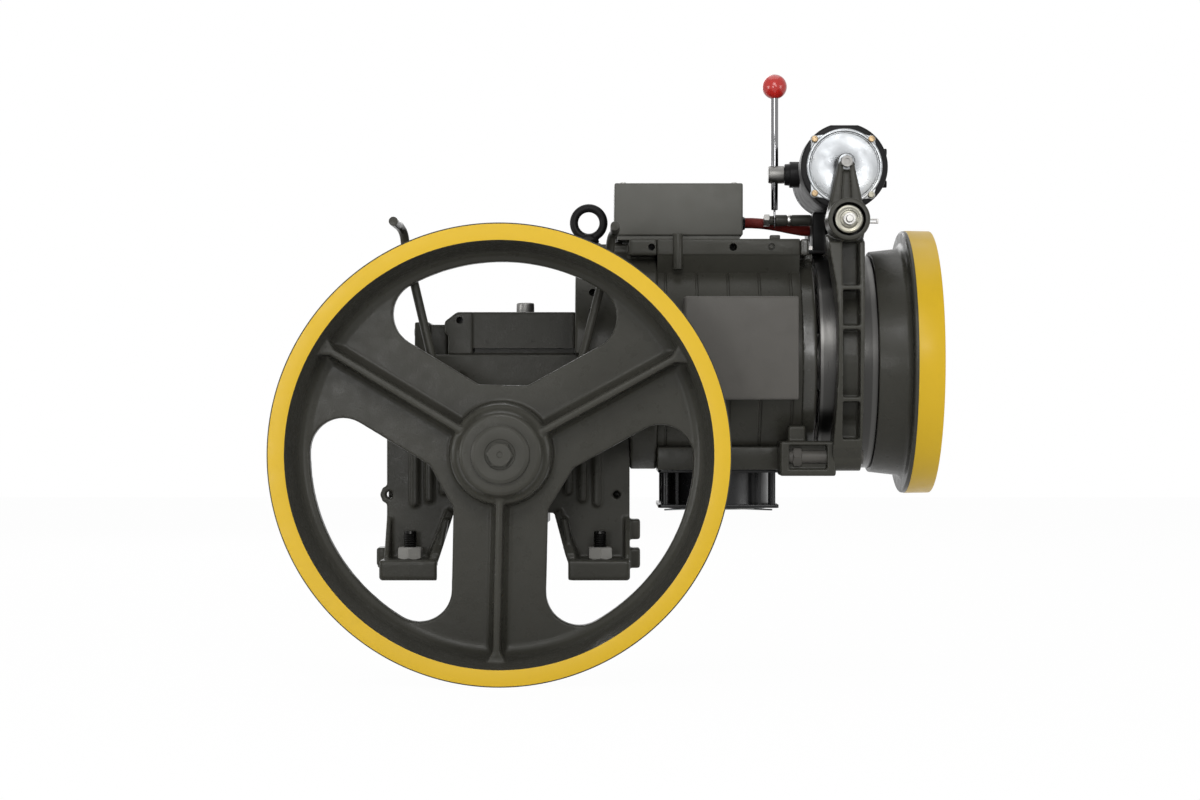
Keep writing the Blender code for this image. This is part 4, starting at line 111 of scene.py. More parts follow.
def colour_setting(label, text, value):
    """A linear colour that the user may change."""
    return FloatVectorProperty(name=label, description=text, default=value, subtype="COLOR", size=3,
                               min=0.0, max=1.0)


class MachineColours(PropertyGroup):
    """Paints and bare metals, as linear colours."""

    casting: colour_setting("Casting paint", "Warm dark grey of the castings", (0.0350, 0.0340, 0.0278))
    box: colour_setting("Box paint", "Grey of the terminal box", (0.067, 0.066, 0.057))
    rim: colour_setting("Rim paint", "Yellow of the sheave's face and the flywheel's rim",
                        (0.555, 0.355, 0.0125))
    hood: colour_setting("Cover paint", "Grey of the motor's front cover", (0.080, 0.076, 0.069))
    black: colour_setting("Black enamel", "Brake magnet, bracket and lifting eye", (0.0085, 0.0083, 0.0085))
    plastic: colour_setting("Black plastic", "Fan frame and blades", (0.0065, 0.0065, 0.0070))
    steel: colour_setting("Machined steel", "Bare turned steel", (0.50, 0.49, 0.47))
    zinc: colour_setting("Zinc plate", "Brake magnet's end plates", (0.232, 0.238, 0.242))
    plating: colour_setting("Dull plating", "Spring discs and small nuts", (0.185, 0.178, 0.150))
    chrome: colour_setting("Chrome", "Release lever", (0.20, 0.20, 0.205))
    knob: colour_setting("Knob", "Ball of the release lever", (0.44, 0.018, 0.014))
    sleeve: colour_setting("Cable sleeve", "Braided sleeve of the brake cable", (0.155, 0.012, 0.008))
    bronze: colour_setting("Bronze", "Rim of the worm wheel", (0.60, 0.36, 0.13))
    copper: colour_setting("Copper winding", "Stator and magnet windings", (0.52, 0.20, 0.08))
    lining: colour_setting("Brake lining", "Friction linings", (0.085, 0.068, 0.050))


class StageSettings(PropertyGroup):
    """Lamps, floor and camera."""

    key_power: FloatProperty(name="Key lamp", description="Power of the large front lamp", default=31.0,
                             unit="POWER", min=0.0)
    fill_power: FloatProperty(name="Fill lamp", description="Power of the two side lamps", default=24.0,
                              unit="POWER", min=0.0)
    card_power: FloatProperty(name="Front cards", description="Power of each card beside the camera",
                              default=10.0,
                              min=0.0)
    top_power: FloatProperty(name="Top lamp", description="Power of the lamp overhead", default=30.0,
                             unit="POWER", min=0.0)
    sky: FloatProperty(name="Sky", description="Strength of the world as it lights the object",
                       default=0.20, min=0.0)
    floor_shade: FloatProperty(name="Floor shade", description="How pale the floor is", default=0.9,
                               min=0.0, max=1.0)
    lens: FloatProperty(name="Lens", description="Focal length of the camera", default=75.0,
                        subtype="DISTANCE_CAMERA", min=10.0)


def sizes():
    """The sizes set in the scene."""
    return bpy.context.scene.machine_sizes


def colours():
    """The colours set in the scene."""
    return bpy.context.scene.machine_colours


# ---------------------------------------------------------------- shapes


def rounded(shape, parts, radius, segments=3, affect="EDGES"):
    """Round some edges or corner points of a shape."""
    bmesh.ops.bevel(shape, geom=parts, offset=radius, offset_type="OFFSET", segments=segments, profile=0.5,
                    affect=affect, clamp_overlap=True, material=-1)


def round_corners(shape, corners):
    """Round the corner points of a wire outline; `corners` pairs each point with its radius."""
    for radius in sorted({radius for point, radius in corners}):
        points = [point for point, size in corners if size == radius]
        rounded(shape, points, radius, 3 if radius < FINE_CORNER else 8, "VERTICES")


def wire(shape, places, closed):
    """Edges through (across, up) or (across, up, corner radius) places, rounded where a radius is given."""
    points = [shape.verts.new((place[0], 0.0, place[1])) for place in places]
    for pair in zip(points, points[1:]):
        shape.edges.new(pair)
    if closed:
        shape.edges.new((points[-1], points[0]))
    round_corners(shape, [(point, place[2]) for point, place in zip(points, places) if len(place) > 2])


def moved(shape, matrix):
    """The shape with a matrix laid on its points."""
    bmesh.ops.transform(shape, matrix=matrix, verts=shape.verts)
    return shape


def outward(shape):
    """The shape with its doubles merged and its faces turned outwards."""
    bmesh.ops.remove_doubles(shape, verts=shape.verts, dist=0.000001)
    bmesh.ops.recalc_face_normals(shape, faces=shape.faces)
    return shape


def turned(profile, axis="Z", centre=(0.0, 0.0, 0.0), steps=None, closed=False):
    """A shape turned round an axis from (radius, along[, corner radius]) places."""
    shape = bmesh.new()
    wire(shape, profile, closed)
    bmesh.ops.spin(shape, geom=shape.verts[:] + shape.edges[:], axis=(0, 0, 1), cent=(0, 0, 0),
                   angle=2 * math.pi, steps=steps or sizes().round_steps, use_merge=True)
    return moved(outward(shape), Matrix.Translation(centre) @ ALONG[axis])


def rod(axis, centre, low, high, radius, edge=None, steps=48):
    """A plain turned rod with rounded ends."""
    edge = sizes().turned_edge if edge is None else edge
    profile = [(0.0, 0.0), (radius, 0.0, edge), (radius, high - low, edge), (0.0, high - low)]
    start = Vector(centre)
    start["XYZ".index(axis)] = low
    return turned(profile, axis, start, steps)


def block(low, high, edge=0.0, segments=3):
    """A box between two corners with rounded edges."""
    low, high = Vector(low), Vector(high)
    shape = bmesh.new()
    bmesh.ops.create_cube(shape, size=1.0)
    bmesh.ops.scale(shape, vec=high - low, verts=shape.verts)
    bmesh.ops.translate(shape, vec=(low + high) / 2, verts=shape.verts)
    if edge:
        rounded(shape, shape.edges[:], edge, segments)
    return shape


def slab(places, plane, low, high, edge=0.0, segments=3):
    """A flat outline, thick from `low` to `high` across its plane, with rounded rims."""
    shape = bmesh.new()
    wire(shape, places, True)
    bmesh.ops.rotate(shape, verts=shape.verts, cent=(0, 0, 0), matrix=Matrix.Rotation(-math.pi / 2, 3, "X"))
    face = bmesh.ops.contextual_create(shape, geom=shape.edges[:])["faces"]
    grown = bmesh.ops.extrude_face_region(shape, geom=face)["geom"]
    lifted = [item for item in grown if isinstance(item, bmesh.types.BMVert)]
    bmesh.ops.translate(shape, vec=(0, 0, high - low), verts=lifted)
    bmesh.ops.recalc_face_normals(shape, faces=shape.faces)
    if edge:
        rims = [item for item in shape.edges if item.calc_face_angle(0.0) > math.radians(60)
                and abs(item.verts[0].co.z - item.verts[1].co.z) < 0.000001]
        rounded(shape, rims, edge, segments)
    across = {"XZ": (0, 1, 0), "XY": (0, 0, 1), "YZ": (1, 0, 0)}[plane]
    start = high if plane == "XZ" else low
    moved(shape, Matrix.Translation(Vector(across) * start) @ FACING[plane])
    return outward(shape)


def as_object(shape, name="working"):
    """A linked object from a shape, which is used up."""
    data = bpy.data.meshes.new(name)
    shape.to_mesh(data)
    shape.free()
    item = bpy.data.objects.new(name, data)
    bpy.context.scene.collection.objects.link(item)
    return item


def discard(item):
    """Remove a working object and its data."""
    data = item.data
    bpy.data.objects.remove(item)
    (bpy.data.meshes if isinstance(data, bpy.types.Mesh) else bpy.data.curves).remove(data)


def settled(item):
    """The shape of a working object with its modifiers applied; the object is removed."""
    shape = bmesh.new()
    shape.from_object(item, bpy.context.evaluated_depsgraph_get())
    discard(item)
    return shape


def carved(shape, *tools, operation="DIFFERENCE"):
    """The shape with each tool's shape taken away, added or intersected."""
    item = as_object(shape)
    tools = [as_object(tool) for tool in tools]
    for tool in tools:
        step = item.modifiers.new("carve", "BOOLEAN")
        step.operation = operation
        step.solver = "EXACT"
        step.object = tool
    result = settled(item)
    for tool in tools:
        discard(tool)
    return result


def together(*shapes):
    """Several shapes as one, without cutting them into each other."""
    whole = bmesh.new()
    for shape in shapes:
        data = bpy.data.meshes.new("working")
        shape.to_mesh(data)
        shape.free()
        whole.from_mesh(data)
        bpy.data.meshes.remove(data)
    return whole


def cast(shape, voxel, rounds, keep):
    """Meld overlapping shapes into one skin with soft inner and outer corners, as a casting has."""
    item = as_object(shape)
    remesh = item.modifiers.new("skin", "REMESH")
    remesh.mode = "VOXEL"
    remesh.voxel_size = voxel * sizes().casting_grain
    soften = item.modifiers.new("soften", "SMOOTH")
    soften.factor = 0.5
    soften.iterations = rounds
    thin = item.modifiers.new("thin", "DECIMATE")
    thin.ratio = keep
    return settled(item)


def copy_of(node):
    """The merged shape of a CAD node."""
    shape = bmesh.new()
    shape.from_mesh(frame["nodes"][node].data)
    bmesh.ops.remove_doubles(shape, verts=shape.verts, dist=0.00001)
    return shape


def tube(places, radius, steps=16, round_ends=True):
    """A round rod along a smooth route through the places."""
    curve = bpy.data.curves.new("route", "CURVE")
    curve.dimensions = "3D"
    curve.bevel_depth = radius
    curve.bevel_resolution = steps // 4
    curve.resolution_u = 10
    curve.use_fill_caps = True
    spline = curve.splines.new("BEZIER")
    spline.bezier_points.add(len(places) - 1)
    for point, place in zip(spline.bezier_points, places):
        point.co = place
        point.handle_left_type = "AUTO"
        point.handle_right_type = "AUTO"
    item = bpy.data.objects.new("route", curve)
    bpy.context.scene.collection.objects.link(item)
    bpy.context.view_layer.update()
    data = bpy.data.meshes.new_from_object(item.evaluated_get(bpy.context.evaluated_depsgraph_get()))
    shape = bmesh.new()
    shape.from_mesh(data)
    bpy.data.meshes.remove(data)
    discard(item)
    outward(shape)
    if round_ends:
        ends = [edge for edge in shape.edges if edge.calc_face_angle(0.0) > math.radians(70)]
        rounded(shape, ends, radius * 0.6, 4)
    return shape


def paint(shape, index, test):
    """Give the faces that pass the test the material with this index."""
    shape.normal_update()
    for face in shape.faces:
        if test(face.calc_center_median(), face.normal):
            face.material_index = index
    return shape


def mirrored(shape):
    """The same shape on the other side of the machine's middle plane."""
    return outward(moved(shape, Matrix.Scale(-1, 4, (0, 1, 0))))


def placed(shape, axis, point, flip=False):
    """Stand a shape made along +Z on a point, along an axis or against it."""
    turn = ALONG[axis] @ (Matrix.Rotation(math.pi, 4, "X") if flip else Matrix.Identity(4))
    return moved(shape, Matrix.Translation(point) @ turn)


# ---------------------------------------------------------------- fasteners


def hexagon(corner, low, high):
    """A plain six-sided prism, measured to its corners."""
    shape = bmesh.new()
    bmesh.ops.create_cone(shape, cap_ends=True, segments=6, radius1=corner, radius2=corner, depth=high - low)
    bmesh.ops.translate(shape, vec=(0, 0, (low + high) / 2), verts=shape.verts)
    return shape


def hex_prism(across, height, chamfer=0.12, both=False, bore=0.0):
    """A hexagon with its corners turned off at the top, and at the bottom too and bored for a nut."""
    corner = across / math.sqrt(3)
    shape = hexagon(corner, -height / 2, height * 1.5)
    shoulder, wide = across * 0.48, corner * 1.05
    drop = across * chamfer * 0.6 * (wide - shoulder) / (corner - shoulder)
    foot = [(bore, 0.0), (shoulder, 0.0), (wide, drop)] if both else [(bore, 0.0), (wide, 0.0)]
    limit = turned(foot + [(wide, height - drop), (shoulder, height), (bore, height)], steps=48,
                   closed=bore > 0.0)
    return carved(shape, limit, operation="INTERSECT")


def threaded(radius, length, pitch):
    """A threaded rod's visible length, with a chamfered end."""
    profile = [(0.0, 0.0), (radius, 0.0)]
    count = max(1, int((length - pitch) / pitch))
    for i in range(count):
        profile += [(radius - pitch * 0.35, (i + 0.5) * pitch), (radius, (i + 1) * pitch)]
    return turned(profile + [(radius - pitch * 0.5, length), (0.0, length)], steps=32)


def hex_screw(across, height):
    """A hexagon head with its washer face."""
    washer = turned([(0.0, 0.0), (across * 0.475, 0.0), (across * 0.475, height * 0.1), (0.0, height * 0.1)],
                    steps=48)
    return together(washer, moved(hex_prism(across, height * 0.92),
                                  Matrix.Translation((0, 0, height * 0.08))))


def cap_screw(radius, height):
    """A round head with a hexagon socket."""
    head = turned([(0.0, 0.0), (radius, 0.0), (radius, height, radius * 0.16), (0.0, height)], steps=40)
    return carved(head, hexagon(radius * 0.56, height * 0.5, height * 1.5))


def pan_screw(radius, height):
    """A rounded head with a cross recess."""
    head = turned([(0.0, 0.0), (radius, 0.0), (radius, height * 0.45, radius * 0.12),
                   (radius * 0.55, height, radius * 0.3), (0.0, height)], steps=32)
    bar = radius * 0.16
    slots = [block((-radius * 0.55, -bar, height * 0.5), (radius * 0.55, bar, height * 1.5)),
             block((-bar, -radius * 0.55, height * 0.5), (bar, radius * 0.55, height * 1.5))]
    return carved(head, *slots)


# ---------------------------------------------------------------- finishes


def add_node(tree, kind, values=None, links=None, **settings):
    """A shader node with its settings, the values of its inputs and the links that lead into it."""
    node = tree.nodes.new(kind)
    for name, setting in settings.items():
        setattr(node, name, setting)
    for socket, value in (values or {}).items():
        node.inputs[socket].default_value = value
    for socket, source in (links or {}).items():
        tree.links.new(source, node.inputs[socket])
    return node


class Finish:
    """A Principled material, layered over Object coordinates."""

    def __init__(self, name, colour, roughness, metallic=0.0, gleam=None):
        self.material = bpy.data.materials.new(name)
        self.material.use_nodes = True
        self.tree = self.material.node_tree
        self.shader = self.tree.nodes["Principled BSDF"]
        self.colour = tuple(colour)
        self.shader.inputs["Base Color"].default_value = (*self.colour, 1.0)
        self.shader.inputs["Roughness"].default_value = roughness
        self.shader.inputs["Metallic"].default_value = metallic
        if gleam is not None:
            self.shader.inputs["Specular IOR Level"].default_value = gleam
        self.place = self.add("ShaderNodeTexCoord").outputs["Object"]
        self.base = None
        self.normal = None
        self.material.diffuse_color = (*self.colour, 1.0)

    def add(self, kind, values=None, links=None, **settings):
        return add_node(self.tree, kind, values, links, **settings)

    def noise(self, scale, detail=3.0, stretch=(1, 1, 1), rough=0.5, centre=(0, 0, 0)):
        shift = [-c * s for c, s in zip(centre, stretch)]
        mapping = self.add("ShaderNodeMapping", {"Location": shift, "Scale": stretch}, {"Vector": self.place},
                           vector_type="POINT")
        return self.add("ShaderNodeTexNoise", {"Scale": scale, "Detail": detail, "Roughness": rough},
                        {"Vector": mapping.outputs["Vector"]}).outputs["Fac"]

    def rings(self, axis, scale, distortion):
        """Fine bands across an axis, as windings lie."""
        return self.add("ShaderNodeTexWave", {"Scale": scale, "Distortion": distortion},
                        {"Vector": self.place},
                        wave_type="BANDS", bands_direction=axis).outputs["Fac"]

    def spread(self, value, low, high, start=0.3, end=0.7):
        return self.add("ShaderNodeMapRange", {"From Min": start, "From Max": end, "To Min": low,
                                               "To Max": high},
                        {"Value": value}).outputs["Result"]

    def shade(self, factor, colour):
        """Lay a colour over what is there, where the factor is 1."""
        mix = self.add("ShaderNodeMix", None, {"Factor": factor}, data_type="RGBA")
        base, over = mix.inputs[6], mix.inputs[7]
        if self.base:
            self.tree.links.new(self.base, base)
        else:
            base.default_value = (*self.colour, 1.0)
        over.default_value = (*colour, 1.0)
        self.base = mix.outputs[2]
        self.tree.links.new(self.base, self.shader.inputs["Base Color"])

    def gloss(self, value, low, high):
        self.tree.links.new(self.spread(value, low, high), self.shader.inputs["Roughness"])

    def relief(self, value, depth, strength):
        links = {"Height": value, "Normal": self.normal} if self.normal else {"Height": value}
        bump = self.add("ShaderNodeBump", {"Strength": strength, "Distance": depth}, links)
        self.normal = bump.outputs["Normal"]
        self.tree.links.new(self.normal, self.shader.inputs["Normal"])

    def distance(self, axis, middle):
        """How far a point lies from a plane across an axis."""
        place = self.add("ShaderNodeSeparateXYZ", None, {"Vector": self.place}).outputs[axis]
        past = self.add("ShaderNodeMath", {1: middle}, {0: place}, operation="SUBTRACT")
        return self.add("ShaderNodeMath", None, {0: past.outputs[0]}, operation="ABSOLUTE").outputs[0]


def darker(colour, share):
    """A share of the colour."""
    return tuple(value * share for value in colour)


def lighter(colour, share):
    """The colour, mixed with a share of white."""
    return tuple(value + (1.0 - value) * share for value in colour)


def painted_casting(name, colour, grain=0.00020, roughness=(0.25, 0.36), gleam=0.13):
    """Satin paint over sand-cast iron: soft pitting, faint clouding, a little dust in the low spots."""
    made = Finish(name, colour, 0.48, gleam=gleam)
    made.shade(made.spread(made.noise(7.0), 0.0, 0.55, 0.35, 0.75), lighter(darker(colour, 1.12), 0.010))
    made.shade(made.spread(made.noise(38.0, 4.0), 0.0, 0.30, 0.5, 0.8), darker(colour, 0.72))
    made.gloss(made.noise(60.0, 4.0), *roughness)
    made.relief(made.noise(420.0, 4.0, rough=0.6), grain, 0.7)
    made.relief(made.noise(95.0, 2.0), grain * 1.6, 0.45)
    return made.material


def rough_casting(name, colour):
    """The same paint where the casting is left coarse."""
    made = Finish(name, colour, 0.5, gleam=0.22)
    made.shade(made.spread(made.noise(210.0, 4.0), 0.0, 0.5, 0.52, 0.8), lighter(colour, 0.05))
    made.shade(made.spread(made.noise(12.0), 0.0, 0.5, 0.4, 0.8), darker(colour, 0.7))
    made.gloss(made.noise(150.0, 4.0), 0.36, 0.58)
    made.relief(made.noise(330.0, 5.0, rough=0.65), 0.0007, 0.9)
    return made.material


def smooth_paint(name, colour, roughness, peel=0.00006, gleam=0.4):
    """Sprayed enamel with a trace of orange peel and slight shade changes."""
    made = Finish(name, colour, sum(roughness) / 2, gleam=gleam)
    made.shade(made.spread(made.noise(5.0), 0.0, 0.5, 0.35, 0.75), darker(colour, 0.90))
    made.shade(made.spread(made.noise(90.0, 5.0), 0.0, 0.25, 0.62, 0.85), darker(colour, 0.70))
    made.gloss(made.noise(45.0), *roughness)
    made.relief(made.noise(700.0, 2.0), peel, 0.6)
    return made.material


def glossy_plastic(name, colour):
    """Moulded knob: deep gloss, hardly any texture, faint scuffs."""
    made = Finish(name, colour, 0.20)
    made.shade(made.spread(made.noise(24.0), 0.0, 0.35, 0.4, 0.8), darker(colour, 0.82))
    return made.material


def bare_metal(name, colour, roughness=(0.22, 0.36), stain=0.25):
    """Machined metal with a fine grain and faint staining."""
    made = Finish(name, colour, sum(roughness) / 2, 1.0)
    made.shade(made.spread(made.noise(26.0, 4.0), 0.0, stain, 0.45, 0.8), darker(colour, 0.62))
    made.gloss(made.noise(110.0, 4.0), *roughness)
    made.relief(made.noise(900.0), 0.00002, 0.5)
    return made.material


def zinc_plating(name, colour):
    """Bright zinc with cloudy spangle and a faint yellow cast."""
    made = Finish(name, colour, 0.3, 1.0)
    red, green, blue = colour
    made.shade(made.spread(made.noise(9.0, 2.0), 0.0, 0.6, 0.40, 0.70),
               (red * 0.62, green * 0.65, blue * 0.69))
    made.shade(made.spread(made.noise(14.0, 3.0, centre=(0.31, 0.1, 0.2)), 0.0, 0.4, 0.5, 0.8),
               (red * 1.02, green * 0.94, blue * 0.74))
    made.gloss(made.noise(60.0, 4.0), 0.24, 0.40)
    made.relief(made.noise(500.0), 0.00003, 0.5)
    return made.material


def brake_track(name, colour):
    """The drum's running face: a dark film, with bright bands at the edges that the linings keep clean."""
    made = Finish(name, darker(colour, 0.10), 0.3, 1.0)
    span_low, span_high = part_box("brake_drum")
    for middle, width in ((span_low.x + 0.0030, 0.0020), (span_high.x - 0.0045, 0.0046)):
        made.shade(made.spread(made.distance("X", middle), 1.0, 0.0, width * 0.7, width),
                   darker(colour, 0.16))
    made.gloss(made.noise(300.0, 4.0, stretch=(1.0, 0.05, 0.05)), 0.26, 0.38)
    made.relief(made.noise(1500.0, 2.0, stretch=(1.0, 0.02, 0.02)), 0.00003, 0.5)
    return made.material


def braided_sleeve(name, colour):
    """Woven sleeve: fine crossed threads."""
    made = Finish(name, colour, 0.62, gleam=0.12)
    checker = made.noise(900.0, 2.0, stretch=(1.0, 0.6, 0.6))
    made.shade(made.spread(checker, 0.0, 0.8, 0.45, 0.7), darker(colour, 0.45))
    made.shade(made.spread(made.noise(30.0), 0.0, 0.5, 0.45, 0.8), lighter(colour, 0.06))
    made.relief(checker, 0.0004, 0.9)
    return made.material


def winding(name, colour):
    """Enamelled copper wire, turn beside turn."""
    made = Finish(name, colour, 0.4, 1.0)
    made.shade(made.spread(made.rings("Y", 160.0, 0.6), 0.0, 0.5), darker(colour, 0.5))
    made.relief(made.rings("Y", 160.0, 0.6), 0.0003, 0.8)
    return made.material


def friction_material(name, colour):
    """Pressed lining with coarse flecks."""
    made = Finish(name, colour, 0.85)
    made.shade(made.spread(made.noise(400.0, 4.0), 0.0, 0.7, 0.5, 0.75), lighter(colour, 0.12))
    made.relief(made.noise(500.0, 4.0), 0.0003, 0.8)
    return made.material


FINISHES = {}


def mix_finishes():
    """Make every material once, from the colour settings."""
    c = colours()
    FINISHES.update(
        casting=painted_casting("casting_paint", c.casting),
        coarse=rough_casting("coarse_casting", c.casting),
        box=smooth_paint("box_paint", c.box, (0.38, 0.50), 0.00010, gleam=0.25),
        cover=painted_casting("turned_paint", lighter(c.casting, 0.006), 0.00010, (0.34, 0.46)),
        shield=painted_casting("shield_paint", c.casting, 0.00010, (0.20, 0.30), gleam=0.42),
        hood=painted_casting("hood_paint", c.hood, 0.00010, (0.36, 0.48)),
        rim=smooth_paint("rim_paint", c.rim, (0.30, 0.40), gleam=0.24),
        black=smooth_paint("black_enamel", c.black, (0.36, 0.50), 0.00010, gleam=0.10),
        plastic=smooth_paint("black_plastic", c.plastic, (0.24, 0.34), 0.00005, gleam=0.3),
        steel=bare_metal("machined_steel", c.steel),
        dull_steel=bare_metal("dull_steel", darker(c.steel, 0.72), (0.34, 0.50), stain=0.5),
        dark_steel=bare_metal("dark_steel", darker(c.steel, 0.36), (0.38, 0.52), stain=0.4),
        black_steel=bare_metal("black_steel", darker(c.steel, 0.045), (0.28, 0.42), stain=0.4),
        zinc=zinc_plating("zinc_plate", c.zinc),
        nut=smooth_paint("phosphated_nut", (0.215, 0.210, 0.195), (0.36, 0.48), gleam=0.3),
        plating=zinc_plating("dull_plating", c.plating),
        screw=bare_metal("yellow_zinc", (0.20, 0.145, 0.085), (0.22, 0.36)),
        chrome=bare_metal("chrome_rod", c.chrome, (0.05, 0.09), stain=0.08),
        dark_chrome=bare_metal("dark_chrome", darker(c.chrome, 0.32), (0.14, 0.24), stain=0.3),
        knob=glossy_plastic("red_plastic", c.knob),
        sleeve=braided_sleeve("red_sleeve", c.sleeve),
        track=brake_track("brake_track", c.steel),
        bronze=bare_metal("bronze", c.bronze, (0.30, 0.44)),
        copper=winding("copper_winding", c.copper),
        lining=friction_material("friction_lining", c.lining),
    )


# ---------------------------------------------------------------- places taken from the model

BODY = {node: body for body, nodes in frame["record"]["behaviour"]["bodies"].items() for node in nodes}
MOTOR_Z = (sum(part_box("brake_drum"), Vector()) / 2).z
MOTOR_LINE = (0.0, 0.0, MOTOR_Z)
OUTPUT_X, _, OUTPUT_Z = sum(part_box("sheave"), Vector()) / 2
OUTPUT_LINE = (OUTPUT_X, 0.0, OUTPUT_Z)
FRONT_AND_REAR = (("front", -1), ("rear", 1))


def made(name, shape, finishes, node, crease=32.0, hides=True):
    """A finished piece, with the body of the node that it stands for or sits on."""
    item = as_object(shape, name)
    for finish in [finishes] if isinstance(finishes, str) else finishes:
        item.data.materials.append(FINISHES[finish])
    item.data.shade_smooth()
    item.data.set_sharp_from_angle(angle=math.radians(crease))
    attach(item, BODY[node])
    if hides:
        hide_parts(node)
    return item


def trim(name, shape, finishes, node):
    """A small extra piece that rides with a node without standing for it."""
    return made(name, shape, finishes, node, hides=False)


def middle_of(node):
    """The middle of a node's box."""
    return sum(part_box(node), Vector()) / 2


def on_circle(centre, axis, radius, degrees):
    """A point round an axis; 0 is along the next axis round."""
    angle = math.radians(degrees)
    a, b = {"X": ((0, 1, 0), (0, 0, 1)), "Y": ((1, 0, 0), (0, 0, 1)), "Z": ((1, 0, 0), (0, 1, 0))}[axis]
    return Vector(centre) + radius * (math.cos(angle) * Vector(a) + math.sin(angle) * Vector(b))


# ---------------------------------------------------------------- sheave and its shaft

SHEAVE_RIM_WIDTH = 0.120
ROPE_GROOVES = 5
ROPE_PITCH = 0.020
SPOKE_HALF_WIDTH = 0.0625
SPOKES = [math.radians(angle) for angle in (-91.2, 28.8, 148.8)]
WINDOW_RADIUS = 0.2542
WINDOW_CORNER = 0.0436
WINDOW_FLAT = 0.091
WEB_BACK, WEB_FRONT = 0.022, 0.085


def window(middle, low, high):
    """One opening of the web, between two spokes."""
    half = math.pi / 3
    corner_at = WINDOW_RADIUS - WINDOW_CORNER
    swing = half - math.asin((SPOKE_HALF_WIDTH + WINDOW_CORNER) / corner_at)
    flat = (WINDOW_FLAT * math.sin(half) - SPOKE_HALF_WIDTH) / math.cos(half)
    centre = Vector((OUTPUT_X, OUTPUT_Z))

    def at(radius, angle):
        return centre + radius * Vector((math.cos(angle), math.sin(angle)))

    places = [at(WINDOW_RADIUS, middle - swing + 2 * swing * i / 24) for i in range(25)]
    along, across = Vector((math.cos(middle), math.sin(middle))), Vector((-math.sin(middle),
                                                                          math.cos(middle)))
    for side in (1, -1):
        corner = at(corner_at, middle + side * swing)
        start, finish = middle + side * swing, middle + side * (half + math.pi / 2)
        turn = [corner + WINDOW_CORNER * Vector((math.cos(a), math.sin(a)))
                for a in (start + (finish - start) * i / 12 for i in range(1, 13))]
        inner = centre + WINDOW_FLAT * along + side * flat * across
        places += turn + [inner] if side > 0 else [inner] + turn[::-1]
    return slab([tuple(place) for place in places], "XZ", low, high)


def rope_grooves(radius, middle):
    """Grooves across the rim, from the back to the front, as (radius, along, corner) places."""
    places = []
    for i in range(ROPE_GROOVES):
        y = middle + ((ROPE_GROOVES - 1) / 2 - i) * ROPE_PITCH
        places += [(radius, y + 0.0055, 0.0006), (radius - 0.0098, y + 0.0008, 0.0006),
                   (radius - 0.0098, y - 0.0008, 0.0006), (radius, y - 0.0055, 0.0006)]
    return places


def make_sheave():
    """Rim with its rope grooves, and web, hub and ribs cast in one."""
    low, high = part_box("sheave")
    radius = (high.x - low.x) / 2
    front, back = low.y, low.y + SHEAVE_RIM_WIDTH
    inner_front, inner = radius - 0.023, radius - 0.030

    rim = turned([(inner + 0.004, back - 0.003), (inner + 0.004, back), (radius, back, 0.0015)]
                 + rope_grooves(radius, (front + back) / 2)
                 + [(radius, front + 0.0016), (radius - 0.0016, front), (inner_front, front, 0.0010),
                    (inner_front, front + 0.0042), (inner_front + 0.003, front + 0.0042),
                    (inner_front + 0.003, front + 0.008), (inner + 0.011, front + 0.060)],
                 "Y", OUTPUT_LINE, steps=240, closed=True)
    paint(rim, 1, lambda at, normal: at.y < front + 0.0012 and normal.y < -0.95)
    made("sheave_rim", rim, ["casting", "rim"], "sheave", crease=28.0)

    web_front = front + WEB_FRONT
    web_back = web_front + WEB_BACK
    skin = turned([(inner_front + 0.001, front + 0.0035, 0.001), (inner + 0.016, front + 0.0035),
                   (inner + 0.016, back - 0.0015), (inner, back - 0.0015, 0.002),
                   (inner - 0.003, web_back - 0.003),
                   (inner - 0.015, web_back - 0.010), (inner - 0.015, web_front + 0.001),
                   (inner - 0.0145, web_front - 0.0005), (inner - 0.0085, web_front - 0.0035),
                   (inner - 0.0035, web_front - 0.0095), (inner - 0.0005, web_front - 0.0190),
                   (inner, web_front - 0.026)], "Y", OUTPUT_LINE, steps=160, closed=True)
    web = turned([(0.0, web_front), (inner + 0.008, web_front), (inner + 0.008, web_back),
                  (0.0, web_back)], "Y", OUTPUT_LINE, steps=120)
    web = carved(web, *[window(spoke + math.pi / 3, web_front - 0.01, web_back + 0.01) for spoke in SPOKES])
    hub_face = front + 0.031
    hub = turned([(0.0, hub_face), (0.0530, hub_face, 0.0025), (0.0565, hub_face + 0.0070),
                  (0.0605, hub_face + 0.0115),
                  (0.0650, hub_face + 0.0140), (0.0668, hub_face + 0.0190, 0.003), (0.0690, web_front),
                  (0.0680, high.y, 0.003), (0.0, high.y)], "Y", OUTPUT_LINE, steps=96)
    ribs = []
    rib_front = front + 0.040
    for spoke in SPOKES:
        flank = [(web_front + 0.008, 0.0160), (web_front - 0.0005, 0.0125, 0.004),
                 (web_front - 0.0120, 0.0060, 0.006),
                 (rib_front, 0.0046, 0.0020)]
        rib = slab(flank + [(place[0], -place[1], *place[2:]) for place in reversed(flank)], "YZ", 0.020,
                   inner + 0.008)
        flare = slab([(inner - 0.012, -0.0052, 0.003), (inner + 0.006, -0.0150), (inner + 0.006, 0.0150),
                      (inner - 0.012, 0.0052, 0.003)], "XZ", rib_front, web_front + 0.002, 0.0015)
        for shape in (rib, flare):
            ribs.append(moved(shape, Matrix.Translation(OUTPUT_LINE) @ Matrix.Rotation(-spoke, 4, "Y")))
    body = cast(together(skin, web, hub, *ribs), 0.0020, 4, 0.29)
    paint(body, 1, lambda at, normal: (at - Vector(OUTPUT_LINE)).xz.length > inner - 0.004)
    made("sheave_web", body, ["casting", "coarse"], "sheave", crease=180.0)


